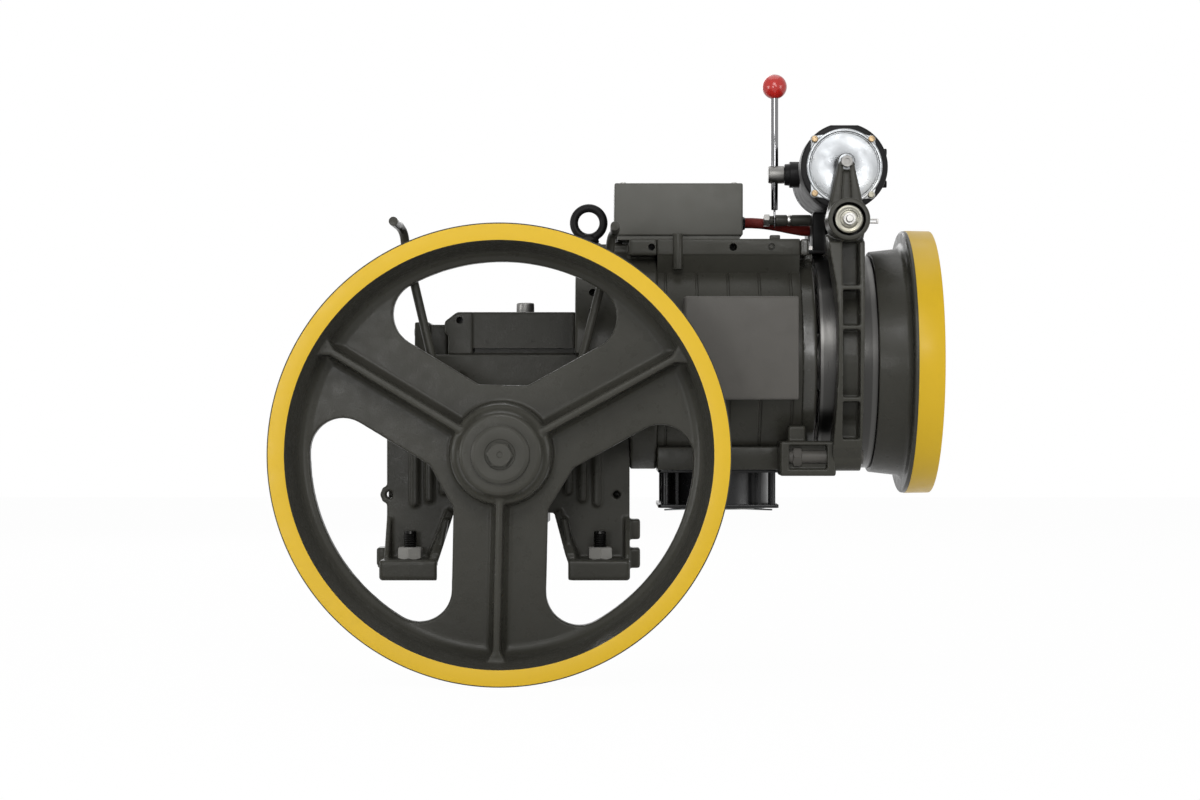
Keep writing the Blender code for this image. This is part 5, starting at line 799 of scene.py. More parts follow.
def make_sheave_end():
    """Disc and bolt that hold the sheave on its shaft."""
    low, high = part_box("sheave_end_disc")
    disc = turned([(0.0, high.y), (0.038, high.y), (0.038, low.y + 0.0022, 0.0005), (0.0335, low.y, 0.0006),
                   (0.0200, low.y, 0.0004), (0.0195, low.y + 0.0008, 0.0003), (0.0, low.y + 0.0008)], "Y",
                  OUTPUT_LINE)
    made("sheave_end_disc_turned", disc, "cover", "sheave_end_disc")
    bolt = carved(hex_prism(0.0295, 0.0125), turned([(0.0, 0.0112), (0.0030, 0.0112), (0.0062, 0.0140),
                                                     (0.0, 0.0140)],
                                                    steps=32))
    bolt = placed(moved(bolt, Matrix.Rotation(math.radians(25), 4, "Z")), "Y",
                  (OUTPUT_X, low.y + 0.0010, OUTPUT_Z),
                  flip=True)
    made("sheave_end_bolt_head", bolt, "cover", "sheave_end_bolt")


def make_output_shaft():
    """Shaft that the sheave and the worm wheel sit on."""
    low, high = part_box("output_shaft")
    hub_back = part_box("sheave")[1].y + 0.0003
    shaft = turned([(0.0, low.y), (0.030, low.y, 0.001), (0.030, hub_back), (0.042, hub_back, 0.001),
                    (0.042, hub_back + 0.012, 0.001), (0.035, hub_back + 0.012), (0.035, -0.0497),
                    (0.039, -0.0497), (0.039, 0.0497), (0.035, 0.0497), (0.035, high.y, 0.001),
                    (0.0, high.y)], "Y", OUTPUT_LINE, steps=72)
    made("output_shaft_turned", shaft, "steel", "output_shaft")


# ---------------------------------------------------------------- gearbox

LEG_TAPER = 0.0225
LEG_REACH = 0.31
FOOT_TOP = 0.0275
CASING_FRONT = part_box("gearbox_housing")[1].y - 0.055


def tapered(shape, side, limit=0.098):
    """Lean the inner faces of a leg outwards towards the back."""
    for point in shape.verts:
        if side * point.co.x < limit:
            point.co.x += side * LEG_TAPER * (point.co.y + 0.15) / LEG_REACH
    return shape


def leg_pieces(side):
    """The leg beside the sump with its foot and the webs that stiffen it, and the room between the legs."""
    shift = 0.0055 if side < 0 else 0.0

    def turned_over(places):
        return [(side * (x + shift), z) for x, z in places]

    room = slab(turned_over([(0.0863, -0.01), (0.0863, FOOT_TOP), (0.0628, 0.0895), (0.040, 0.0895),
                             (0.040, -0.01)]),
                "XZ", -0.16, 0.16)
    leg = slab(turned_over([(0.0863, 0.004), (0.0863, FOOT_TOP), (0.0628, 0.0895), (0.0585, 0.112),
                            (0.110, 0.150),
                            (0.110, 0.004)]), "XZ", 0.0015 - CASING_FRONT, CASING_FRONT - 0.0015)
    pieces = [tapered(leg, side)]
    edge, outer = side * (0.0863 + shift), side * 0.110
    for end in (-1, 1):
        near, far = sorted((end * 0.090, end * 0.1495))
        pieces.append(tapered(block((min(edge, outer), near, 0.0003), (max(edge, outer), far, FOOT_TOP)),
                              side, 0.10))
        web = slab(turned_over([(0.0866, 0.020), (0.0628, 0.0895), (0.0722, 0.0945), (0.0962, 0.034),
                                (0.0970, 0.020)]),
                   "XZ", *sorted((end * 0.080, end * 0.141)), 0.0012)
        slope = slab([(end * 0.075, 0.0), (end * 0.1425, 0.0), (end * 0.1425, 0.034), (end * 0.096, 0.0965),
                      (end * 0.075, 0.110)], "YZ", -0.2, 0.2)
        pieces.append(tapered(carved(web, outward(slope), operation="INTERSECT"), side, 0.12))
    if side < 0:
        pieces.append(block((-0.1790, -0.098, 0.0165), (-0.1600, -0.060, 0.0420), 0.0030))
    return pieces, tapered(room, side, 0.098)


def make_gearbox():
    """Lower casing, worm tunnel and the cover at the worm's free end."""
    body = copy_of("gearbox_housing")
    additions, rooms = [], []
    for side in (-1, 1):
        pieces, room = leg_pieces(side)
        additions += pieces
        rooms.append(room)
        for x, bottom in ((0.126, 0.0985), (0.106, 0.1046), (0.086, 0.1150)):
            half = 0.0052
            places = [(side * x + half * math.cos(a), bottom + half + half * math.sin(a))
                      for a in (math.pi + math.pi * i / 10 for i in range(11))]
            places += [(side * x + half, 0.236), (side * x - half, 0.236)]
            additions.append(slab(places, "XZ", -CASING_FRONT - 0.0055, 0.002 - CASING_FRONT, 0.0016))
    body = carved(body, *rooms)
    body = carved(body, *[block((min(side * 0.094, side * 0.138), -CASING_FRONT - 0.009, 0.095),
                                (max(side * 0.094, side * 0.138), -CASING_FRONT, 0.240)) for side in (-1, 1)])
    body = cast(together(body, *additions), 0.0019, 3, 0.34)
    body = carved(body, rod("Y", (-0.0595, 0.0, 0.277), -0.10, 0.006 - CASING_FRONT, 0.0040, 0.0, 24))
    made("gearbox_casting", body, "casting", "gearbox_housing", crease=180.0)

    low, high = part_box("upper_casing")
    top, joint, face = high.z - 0.0002, low.z, 0.0668
    shape = slab([(-0.0650, joint), (high.x - 0.0005, joint), (high.x - 0.0005, top, 0.0015), (-0.0650, top)],
                 "XZ",
                 -face, face, 0.0015)
    flange = slab([(-0.0820, joint), (-0.0480, joint), (-0.0480, top), (-0.0693, top, 0.003),
                   (-0.0868, 0.3555, 0.003),
                   (-0.0868, 0.3400, 0.002), (-0.0820, 0.3360, 0.002)], "XZ", -face - 0.0018, face + 0.0018,
                  0.0012)
    body = cast(together(shape, flange), 0.0014, 3, 0.45)
    tools = [rod("X", MOTOR_LINE, low.x - 0.01, high.x + 0.01, 0.0361, 0.0, 64),
             rod("Z", (0.024, 0.0, 0.0), 0.30, 0.38, 0.0092, 0.0, 32),
             rod("Y", (-0.0656, 0.0, 0.3573), -0.08, -0.030, 0.0049, 0.0, 32)]
    tools += [rod("Y", (x, 0.0, 0.3270), -0.08, -0.0645, 0.0020, 0.0, 16) for x in (-0.0271, 0.0358)]
    for side in (-1, 1):
        near, far = sorted((side * 0.0500, side * 0.080))
        tools.append(block((-0.0478, near, 0.3118), (high.x + 0.01, far, 0.3183)))
    made("worm_tunnel_casting", carved(body, *tools), "casting", "upper_casing", crease=50.0)

    low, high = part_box("worm_end_cover")
    cap = slab([(low.x + 0.0003, low.z + 0.0003, 0.004), (-0.1080, low.z + 0.0003, 0.002),
                (-0.1080, high.z, 0.001),
                (low.x + 0.0010, high.z, 0.002)], "XZ", low.y + 0.0003, high.y - 0.0003, 0.0015)
    neck = block((-0.112, -0.046, low.z + 0.006), (high.x, 0.046, high.z - 0.003), 0.003)
    end = cast(together(cap, neck), 0.0014, 3, 0.45)
    end = carved(end, rod("X", MOTOR_LINE, low.x + 0.014, high.x + 0.01, 0.030, 0.0, 48))
    made("worm_end_cap", end, "casting", "worm_end_cover", crease=50.0)
    for i, (y, z) in enumerate(((-0.045, 0.275), (0.045, 0.275), (-0.045, 0.341), (0.045, 0.341))):
        washer = turned([(0.0, 0.0), (0.0075, 0.0), (0.0075, 0.0008, 0.0003), (0.0, 0.0008)], steps=32)
        head = placed(together(washer, cap_screw(0.0060, 0.0016)), "X", (low.x + 0.0016, y, z), flip=True)
        trim(f"worm_end_screw_{i}", head, "cover", "worm_end_cover")


def make_output_covers():
    """Bearing covers in front of and behind the sheave's shaft."""
    for name, side in FRONT_AND_REAR:
        node = f"output_{name}_cover"
        low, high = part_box(node)
        face = low.y if side < 0 else high.y
        flange = face - side * 0.010
        inner_end = high.y if side < 0 else low.y
        hole = 0.0365 if side < 0 else 0.0
        profile = [(hole, face), (0.050, face, 0.001), (0.053, face - side * 0.0025, 0.001),
                   (0.060, face - side * 0.0025, 0.001), (0.062, face, 0.001), (0.082, face, 0.003),
                   (0.082, flange, 0.0008), (0.0618, flange), (0.0618, inner_end), (0.054, inner_end),
                   (0.054, flange), (hole, flange)]
        cover = turned(profile, "Y", OUTPUT_LINE, closed=side < 0)
        made(f"{node}_turned", cover, "casting", node)
        for i in range(6):
            place = on_circle((OUTPUT_X, face - side * 0.0005, OUTPUT_Z), "Y", 0.0725, 60 * i + 30)
            head = placed(hex_screw(0.013, 0.0075), "Y", place, flip=side < 0)
            trim(f"{node}_screw_{i}", head, "cover", node)


def make_filler_plug():
    """Plug on top of the worm tunnel."""
    low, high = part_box("filler_plug")
    centre = (low + high) / 2
    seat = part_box("upper_casing")[1].z + 0.0003
    body = turned([(0.0, high.z - 0.0004), (0.0125, high.z - 0.0004, 0.0022), (0.0127, seat, 0.0004),
                   (0.009, seat), (0.009, low.z, 0.001), (0.0, low.z)], "Z", (centre.x, centre.y, 0.0), 72)
    made("filler_plug_turned", body, "dark_steel", "filler_plug")


def make_foot_studs():
    """Four studs that hold the machine to its bed, with their nuts."""
    top, height = 0.028, 0.0165
    i = 0
    for x in (-0.130, 0.130):
        for y in (-0.125, 0.125):
            nut = hex_prism(0.0310, height, both=True)
            stud = moved(threaded(0.0088, 0.0235, sizes().thread_pitch),
                         Matrix.Translation((0, 0, height - 0.0015)))
            turn = math.radians(5 * x / 0.130)
            for name, shape, finish in (("nut", nut, "nut"), ("stud", stud, "black_steel")):
                shape = moved(shape, Matrix.Translation((x, y, top)) @ Matrix.Rotation(turn, 4, "Z"))
                trim(f"foot_{name}_{i}", shape, finish, "gearbox_housing")
            i += 1


# ---------------------------------------------------------------- motor

def below_flat(low_x, high_x, level=0.150):
    """The block that cuts a turned casting off level at its underside."""
    return block((low_x - 0.01, -0.2, 0.0), (high_x + 0.01, 0.2, level))


def make_motor_adapter():
    """Bell between gearbox and motor."""
    low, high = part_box("motor_adapter")
    casing_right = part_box("gearbox_housing")[1].x - 0.0147
    bell = turned([(0.0252, low.x), (0.1645, low.x, 0.003), (0.1645, high.x, 0.001), (0.132, high.x),
                   (0.132, high.x - 0.018), (0.0252, high.x - 0.018)], "X", MOTOR_LINE, 160, closed=True)
    hood = block((low.x - 0.01, -0.2, 0.0), (casing_right + 0.0003, 0.2, 0.3093))
    bell = carved(bell, hood, below_flat(low.x, high.x))
    boss = rod("Z", (0.114, 0.0, 0.0), MOTOR_Z + 0.12, high.z - 0.0001, 0.0178, 0.0015)
    lug = block((0.140, -0.030, 0.42), (0.163, 0.030, 0.4683), 0.004)
    rail = block((0.170, -0.1128, 0.445), (high.x - 0.0002, 0.1128, 0.468), 0.002)
    rail = carved(rail, rod("X", MOTOR_LINE, 0.16, high.x + 0.01, 0.1560, 0.0, 160))
    ribs = [block((low.x + 0.004, y - 0.004, 0.400), (high.x - 0.022, y + 0.004, 0.4636), 0.002)
            for y in (-0.060, 0.060)]
    body = cast(together(bell, boss, lug, rail, *ribs), 0.0018, 3, 0.40)
    tools = [rod("Y", (0.120, 0.0, z), -0.2, -0.06, 0.0052, 0.0, 32) for z in (0.367, 0.393)]
    tools.append(rod("Z", (0.114, 0.0, 0.0), 0.445, 0.48, 0.0063, 0.0, 32))
    tools.append(rod("Y", (0.2010, 0.0, 0.4565), -0.12, -0.080, 0.0048, 0.0, 32))
    made("motor_bell", carved(body, *tools), "casting", "motor_adapter", crease=60.0)
    for i, angle in enumerate((62, 100, 140, 318, 360)):
        place = on_circle((high.x - 0.0185, 0.0, MOTOR_Z), "X", 0.148, angle)
        if place.x < casing_right and place.z < 0.33:
            continue
        trim(f"bell_screw_{i}", placed(hex_screw(0.016, 0.009), "X", place, flip=True), "cover",
             "motor_adapter")


def make_eye_bolt():
    """Lifting eye on the bell."""
    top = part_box("eye_bolt")[1].z
    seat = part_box("motor_adapter")[1].z + 0.0003
    ring_radius, wire_radius = 0.0210, 0.0060
    centre = Vector((0.114, 0.0, top - ring_radius - wire_radius))
    circle = [(ring_radius + wire_radius * math.cos(a), wire_radius * math.sin(a))
              for a in (2 * math.pi * i / 16 for i in range(16))]
    ring = turned(circle, "Y", centre, steps=64, closed=True)
    collar = turned([(0.0, seat), (0.0148, seat, 0.0008), (0.0148, seat + 0.0035, 0.0015),
                     (0.0085, seat + 0.0085, 0.002), (0.0075, seat + 0.0120), (0.0, seat + 0.0120)], "Z",
                    (0.114, 0.0, 0.0), steps=48)
    eye = cast(together(ring, collar), 0.0008, 6, 0.6)
    made("lifting_eye", eye, "black", "eye_bolt", crease=60.0)


def make_motor_frame():
    """Motor casing with its ribs and rails."""
    low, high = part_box("motor_frame")
    profile = [(0.135, low.x), (0.158, low.x, 0.001)]
    for i in range(5):
        x = 0.220 + i * 0.043
        profile += [(0.158, x - 0.0019, 0.0006), (0.1560, x - 0.0012), (0.1560, x + 0.0012),
                    (0.158, x + 0.0019, 0.0006)]
    profile += [(0.158, high.x, 0.001), (0.135, high.x)]
    barrel = turned(profile, "X", MOTOR_LINE, 192, closed=True)
    barrel = carved(barrel, below_flat(low.x, high.x, 0.1502),
                    rod("Z", (0.295, 0.0, 0.0), 0.0, 0.182, 0.060, 0.0, 64))
    made("motor_barrel", barrel, "casting", "motor_frame", crease=30.0)

    depth = 0.1130
    rails = []
    for bottom, top in ((0.445, 0.468), (0.150, 0.182)):
        rail = block((low.x, -depth, bottom), (high.x, depth, top), 0.0022)
        rails.append(carved(rail, rod("X", MOTOR_LINE, low.x - 0.01, high.x + 0.01, 0.1565, 0.0, 160)))
    top_rail, low_rail = rails
    fills = [slab([(side * 0.1128, 0.4475), (side * 0.1000, 0.4196), (side * 0.0500, 0.4475)], "YZ",
                  low.x + 0.0005, high.x - 0.0005) for side in (-1, 1)]
    hole_z = 0.4565
    top_rail = carved(top_rail,
                      rod("Y", (0.3134, 0.0, hole_z), -depth - 0.01, -depth + 0.040, 0.0054, 0.0, 32),
                      rod("Y", (0.3660, 0.0, hole_z), -depth - 0.01, -depth + 0.004, 0.0052, 0.0, 32))
    pip = rod("Y", (0.3660, 0.0, hole_z), -depth - 0.0002, -depth + 0.006, 0.0030, 0.0008, 24)
    low_rail = carved(low_rail, rod("Z", (0.295, 0.0, 0.0), 0.0, 0.19, 0.060, 0.0, 64))
    boss = turned([(0.0, 0.4255), (0.0066, 0.4255, 0.001), (0.0068, 0.4753, 0.002), (0.0, 0.4753)], "Z",
                  (0.237, -depth, 0.0), 40)
    bump = block((0.364, -depth + 0.001, 0.466), (0.378, -depth + 0.016, 0.4732), 0.0015)
    made("motor_rails", together(top_rail, *fills, low_rail, pip, boss, bump), "casting", "motor_frame",
         crease=30.0)


def make_end_shield():
    """Shield that closes the motor at the brake drum's side."""
    low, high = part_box("motor_end_shield")
    depth = 0.1128
    disc = turned([(0.125, low.x), (0.1503, low.x), (0.1503, high.x - 0.002, 0.003), (0.128, high.x, 0.003),
                   (0.120, high.x - 0.004, 0.003), (0.062, high.x - 0.006, 0.003), (0.058, high.x, 0.002),
                   (0.040, high.x), (0.040, low.x + 0.006), (0.125, low.x + 0.006)], "X", MOTOR_LINE, 160,
                  closed=True)
    lugs = [block((low.x + 0.0002, -depth, bottom), (low.x + 0.0118, depth, top), 0.002)
            for bottom, top in ((0.4452, 0.4678), (0.1502, 0.1818))]
    lugs = [carved(lug, rod("X", MOTOR_LINE, low.x - 0.01, high.x, 0.127, 0.0, 96)) for lug in lugs]
    pad = block((low.x + 0.010, -0.0488, 0.41),
                (high.x - 0.0002, 0.0488, high.z if high.z < 0.46 else 0.4510), 0.002)
    pad = carved(pad, rod("X", MOTOR_LINE, low.x - 0.01, high.x + 0.01, 0.140, 0.0, 96))
    body = cast(together(disc, *lugs, pad), 0.0017, 4, 0.45)
    body = carved(body, below_flat(low.x, high.x, 0.1501))
    made("end_shield_casting", body, "shield", "motor_end_shield", crease=50.0)


def make_terminal_box():
    """Lid of the terminal box."""
    low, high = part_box("terminal_box_lid")
    wall = 0.003
    lid = block(low, high, 0.0026, 4)
    room = block((low.x + wall, low.y + wall, low.z - 0.01), (high.x - wall, high.y - wall, high.z - wall))
    exit_hole = rod("X", (0.0, 0.035, 0.4985), high.x - 0.01, high.x + 0.01, 0.0090, 0.0, 32)
    made("terminal_lid", carved(lid, room, exit_hole), "box", "terminal_box_lid", crease=30.0)
    for i, (x, y) in enumerate(((low.x + 0.012, low.y + 0.012), (high.x - 0.012, low.y + 0.012),
                                (low.x + 0.012, high.y - 0.012), (high.x - 0.012, high.y - 0.012))):
        trim(f"lid_screw_{i}", placed(pan_screw(0.0046, 0.0022), "Z", (x, y, high.z)), "dull_steel",
             "terminal_box_lid")


def make_junction_cover():
    """Front cover of the motor, left bare."""
    low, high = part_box("front_junction_cover")
    wall = 0.004
    shape = block(low, high, 0.0036, 4)
    room = block((low.x + wall, low.y + wall, low.z + wall), (high.x - wall, 0.0, high.z - wall))
    saddle = rod("X", MOTOR_LINE, low.x - 0.01, high.x + 0.01, 0.1584, 0.0, 192)
    made("junction_hood", carved(shape, room, saddle), "hood", "front_junction_cover", crease=30.0)


# ---------------------------------------------------------------- cooling fan

# the fan's frame reaches this far below its box in the CAD; the bore holds the wheel
FAN_DROP = 0.0030
FAN_BORE = 0.0700


def make_fan():
    """Frame, five-bladed wheel and wire guard; the wheel hangs under the frame's three arms."""
    low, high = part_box("fan_housing")
    low = low - Vector((0.0, 0.0, FAN_DROP))
    middle = (low + high) / 2
    line = Vector((middle.x, middle.y, 0.0))
    thick = 0.0048
    plates = []
    for bottom, top in ((low.z, low.z + thick), (high.z - thick, high.z)):
        corners = [(low.x, low.y, 0.006), (high.x, low.y, 0.006), (high.x, high.y, 0.006),
                   (low.x, high.y, 0.006)]
        plates.append(slab(corners, "XY", bottom, top, 0.0008))
    duct = turned([(0.0715, low.z + 0.001), (0.0745, low.z + 0.001), (0.0738, middle.z),
                   (0.0745, high.z - 0.001),
                   (0.0715, high.z - 0.001)], "Z", line, 128, closed=True)
    posts = []
    for x_side in (-1, 1):
        for y_side in (-1, 1):
            corner = Vector((middle.x + x_side * 0.0745, y_side * 0.0655, 0.0))
            posts.append(rod("Z", corner, low.z + 0.001, high.z - 0.001, 0.0052, 0.0, 24))
            for dx, dy in ((0.0, -0.014), (-0.017, 0.0)):
                x, y = corner.x + x_side * dx, corner.y + y_side * dy
                posts.append(block((x - 0.0018, y - 0.0018, low.z + 0.001),
                                   (x + 0.0018, y + 0.0018, high.z - 0.001)))
    plates = [carved(plate, rod("Z", line, low.z - 0.01, high.z + 0.01, FAN_BORE, 0.0, 128))
              for plate in plates]
    arms = []
    for i in range(3):
        arm = block((0.020, -0.003, high.z - 0.0046), (0.0725, 0.003, high.z - 0.0002), 0.0006)
        arms.append(moved(arm, Matrix.Translation(line)
                          @ Matrix.Rotation(math.radians(120 * i + 30), 4, "Z")))
    cap = turned([(0.0, high.z), (0.0265, high.z, 0.001), (0.0265, high.z - 0.0048, 0.0005),
                  (0.0, high.z - 0.0048)], "Z", line, 64)
    made("fan_frame", together(*plates, duct, *posts, *arms, cap), "plastic", "fan_housing")

    low_r, high_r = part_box("fan_rotor")
    hub = turned([(0.0, low_r.z), (0.0225, low_r.z, 0.003), (0.0255, low_r.z + 0.006, 0.001),
                  (0.0255, high_r.z, 0.001), (0.0, high_r.z)], "Z", line, 64)
    blades = []
    for i in range(5):
        blade = bmesh.new()
        bmesh.ops.create_grid(blade, x_segments=10, y_segments=6, size=0.5)
        bmesh.ops.scale(blade, vec=(0.043, 0.034, 1.0), verts=blade.verts)
        bmesh.ops.translate(blade, vec=(0.0455, 0.0, 0.0), verts=blade.verts)
        for point in blade.verts:
            point.co.z = 0.0025 * (1.0 - (point.co.y / 0.017) ** 2)
            turn = math.radians(44 - 18 * (point.co.x - 0.024) / 0.043)
            point.co = Matrix.Rotation(turn, 3, "X") @ point.co
        bmesh.ops.recalc_face_normals(blade, faces=blade.faces)
        bmesh.ops.solidify(blade, geom=blade.faces[:], thickness=0.0018)
        centre_z = (low_r.z + high_r.z) / 2
        blades.append(moved(blade, Matrix.Translation((middle.x, middle.y, centre_z))
                            @ Matrix.Rotation(2 * math.pi * i / 5, 4, "Z")))
    rotor = together(hub, *blades)
    bmesh.ops.recalc_face_normals(rotor, faces=rotor.faces)
    made("fan_wheel", rotor, "plastic", "fan_rotor")

    low_g, high_g = (corner - Vector((0.0, 0.0, FAN_DROP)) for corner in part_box("fan_guard"))
    wire = 0.0012
    rings = []
    for radius in (0.020, 0.036, 0.053, 0.070):
        circle = [(radius + wire * math.cos(a), high_g.z - wire + wire * math.sin(a))
                  for a in (2 * math.pi * i / 10 for i in range(10))]
        rings.append(turned(circle, "Z", line, 96, closed=True))
    reach = math.hypot(high.x - low.x, high.y - low.y) / 2 - 0.0122
    for side in (-1, 1):
        angle = side * math.atan2(high.y - low.y, high.x - low.x)
        bar = rod("X", (0.0, 0.0, 0.0), -reach, reach, wire, 0.0004, 12)
        rings.append(moved(bar, Matrix.Translation((middle.x, middle.y, low_g.z + wire))
                           @ Matrix.Rotation(angle, 4, "Z")))
    made("finger_guard", together(*rings), "zinc", "fan_guard", crease=40.0)


# ---------------------------------------------------------------- drum, flywheel and worm shaft

# one turn of the worm, equal to one tooth of the wheel
WORM_PITCH = 0.015708
SHAFT_END_RADIUS = 0.0205


def make_drum():
    """Turned brake drum."""
    low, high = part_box("brake_drum")
    radius = (high.z - low.z) / 2
    inner = radius - 0.012
    drum = turned([(inner, low.x, 0.001), (radius, low.x, 0.0012), (radius, high.x, 0.0012),
                   (SHAFT_END_RADIUS, high.x), (SHAFT_END_RADIUS, low.x + 0.004),
                   (0.040, low.x + 0.004, 0.002),
                   (0.040, high.x - 0.014, 0.006), (inner - 0.002, high.x - 0.014, 0.006)], "X", MOTOR_LINE,
                  192,
                  closed=True)
    paint(drum, 1, lambda at, normal: (at - Vector(MOTOR_LINE)).yz.length < radius - 0.0012)
    made("brake_drum_turned", drum, ["track", "dull_steel"], "brake_drum", crease=30.0)


def make_flywheel():
    """Flywheel, the nut that holds it and the long shaft with the worm."""
    low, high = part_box("flywheel")
    radius = (high.z - low.z) / 2
    flange, end = 0.555, high.x
    web_right = end - 0.018
    web_left = web_right - 0.016
    wheel = turned([(radius - 0.0006, end, 0.0015), (radius, flange + 0.006, 0.0006),
                    (radius - 0.0006, flange + 0.005, 0.0004), (radius - 0.0006, flange, 0.003),
                    (0.1612, flange, 0.008), (0.1560, low.x, 0.0012), (0.147, low.x, 0.001),
                    (0.147, web_left, 0.008), (0.038, web_left, 0.006), (0.038, low.x, 0.001),
                    (SHAFT_END_RADIUS, low.x), (SHAFT_END_RADIUS, high.x - 0.006 - 0.014),
                    (0.038, high.x - 0.020, 0.001),
                    (0.040, web_right, 0.006), (radius - 0.024, web_right, 0.010),
                    (radius - 0.020, end, 0.0015)],
                   "X", MOTOR_LINE, 240, closed=True)
    paint(wheel, 1, lambda at,
          normal: at.x > flange + 0.0055 and (at - Vector(MOTOR_LINE)).yz.length > radius - 0.0195)
    made("flywheel_turned", wheel, ["casting", "rim"], "flywheel", crease=30.0)

    low_n, high_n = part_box("shaft_nut")
    nut = hex_prism(0.045, high_n.x - low_n.x, both=True, bore=SHAFT_END_RADIUS)
    made("shaft_clamp_nut", placed(nut, "X", (low_n.x, 0.0, MOTOR_Z)), "dull_steel", "shaft_nut")

    low_s, high_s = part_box("worm_shaft")
    tail = high_s.x
    shaft = turned([(0.0, low_s.x), (0.0175, low_s.x, 0.001), (0.0175, low_s.x + 0.0226),
                    (0.019, low_s.x + 0.0226), (0.019, 0.0737), (0.0175, 0.0737), (0.0175, 0.0963),
                    (0.0225, 0.0963), (0.0225, 0.4279), (0.020, 0.4279), (0.020, tail, 0.0015),
                    (0.006, tail, 0.0008), (0.0015, tail - 0.006), (0.0, tail - 0.006)], "X", MOTOR_LINE, 64)
    thread = bmesh.new()
    pitch, steps, turns = WORM_PITCH, 24, 5.25
    half = pitch / 4 - 0.0011
    wire(thread, [(-half - 0.0022, 0.0185), (-half + 0.0018, 0.0296), (half - 0.0018, 0.0296),
                  (half + 0.0022, 0.0185)], True)
    start = -turns / 2
    bmesh.ops.rotate(thread, verts=thread.verts, cent=(0, 0, 0),
                     matrix=Matrix.Rotation(2 * math.pi * (start - 0.25) - math.pi / 2, 3, "X"))
    bmesh.ops.translate(thread, vec=(pitch / 2 + pitch * start, 0, 0), verts=thread.verts)
    bmesh.ops.holes_fill(thread, edges=thread.edges)
    bmesh.ops.spin(thread, geom=thread.verts[:] + thread.edges[:] + thread.faces[:], axis=(1, 0, 0),
                   cent=(0, 0, 0), angle=2 * math.pi * turns, steps=round(steps * turns),
                   dvec=(pitch / steps, 0, 0))
    outward(thread)
    moved(thread, Matrix.Translation(MOTOR_LINE))
    made("worm_and_journal", together(shaft, thread), "steel", "worm_shaft", crease=40.0)


# ---------------------------------------------------------------- brake arms and pivots

ARM_FACE_Y = -0.1372
ARM_BOLT_Z = 0.5700
# the shoe's face around the drum, and the angles it spans
SHOE_RADIUS = 0.1590
SHOE_ANGLES = [math.radians(-38 + 76 * i / 40) for i in range(41)]
# height, and the arm's left and right sides there
ARM_WAIST = ((0.1250, 0.450, 0.484), (0.175, 0.4440, 0.4840), (0.232, 0.4485, 0.4850), (0.297, 0.4510, 0.4862),
             (0.362, 0.4510, 0.4868), (0.401, 0.4480, 0.4872), (0.440, 0.4415, 0.4876),
             (0.474, 0.4375, 0.4878))


def arm_shape():
    """The front arm as a casting, before its bores; +Y is towards the drum."""
    low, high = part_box("front_brake_arm")
    pivot = middle_of("front_pivot_pin")
    cup = middle_of("front_spring_disc")
    top = cup.z - 0.0171
    places = [(pivot.y + 0.019 * math.cos(a), pivot.z + 0.019 * math.sin(a))
              for a in (math.pi + math.pi * i / 16 for i in range(17))]
    places += [(-SHOE_RADIUS * math.cos(a), MOTOR_Z + SHOE_RADIUS * math.sin(a)) for a in SHOE_ANGLES]
    places.append((ARM_FACE_Y, top))
    for i in range(1, 24):
        share = i / 24
        z = top + (pivot.z - top) * share
        places.append((-(0.1897 - 0.0137 * (2 * share - 1) ** 2), z))
    side = mirrored(slab([(-y, z) for y, z in places], "YZ", low.x, high.x))
    left = [(x_low, z) for z, x_low, x_high in ARM_WAIST]
    right = [(x_high, z) for z, x_low, x_high in ARM_WAIST]
    front = slab([(x, z) for x, z in left + [(left[-1][0], 0.49), (right[-1][0], 0.49)] + right[::-1]], "XZ",
                 -0.21, -0.10)
    body = carved(side, front, operation="INTERSECT")
    levels = (0.190, 0.247, 0.344, 0.398, cup.z - 0.0270)
    pockets = []
    for i, (bottom, ceiling) in enumerate(zip(levels, levels[1:])):
        bottom, ceiling = bottom + 0.0028, ceiling - (0.0028 if i < 3 else 0.002)
        face = [(-0.24, bottom), (-0.24, ceiling)]
        inside = []
        for j in range(9):
            z = ceiling + (bottom - ceiling) * j / 8
            reach = math.sqrt(max((SHOE_RADIUS + 0.010) ** 2 - (z - MOTOR_Z) ** 2, 0.0))
            inside.append((-max(reach, 0.146), z))
        pockets.append(slab(face + inside, "YZ", 0.4575, 0.4805))
    body = carved(body, *pockets)
    finger = slab([(cup.x - 0.0285, cup.z), (0.4500, cup.z - 0.028), (0.4880, cup.z - 0.028),
                   (cup.x + 0.0285, cup.z), (cup.x + 0.0122, 0.5640, 0.004), (cup.x + 0.0095, 0.5790, 0.007),
                   (cup.x - 0.0095, 0.5790, 0.007), (cup.x - 0.0122, 0.5640, 0.004)], "XZ",
                  -0.1508, ARM_FACE_Y, 0.002)
    ridges = []
    for side_sign in (-1, 1):
        ridge = slab([(cup.x + side_sign * 0.0240, cup.z + 0.010),
                      (cup.x + side_sign * 0.0100, ARM_BOLT_Z, 0.003),
                      (cup.x + side_sign * 0.0045, ARM_BOLT_Z, 0.002),
                      (cup.x + side_sign * 0.0080, cup.z + 0.010)],
                     "XZ", -0.1570, -0.1400, 0.0018)
        ridges.append(ridge)
    boss = rod("Y", (cup.x, 0.0, ARM_BOLT_Z), -0.1560, ARM_FACE_Y, 0.0122, 0.001, 40)
    barrel = turned([(0.0, ARM_FACE_Y), (0.0282, ARM_FACE_Y, 0.002), (0.0285, low.y + 0.0003, 0.0015),
                     (0.0, low.y + 0.0003)], "Y", (cup.x, 0.0, cup.z), 96)
    return together(body, finger, boss, barrel, *ridges), cup, pivot, low


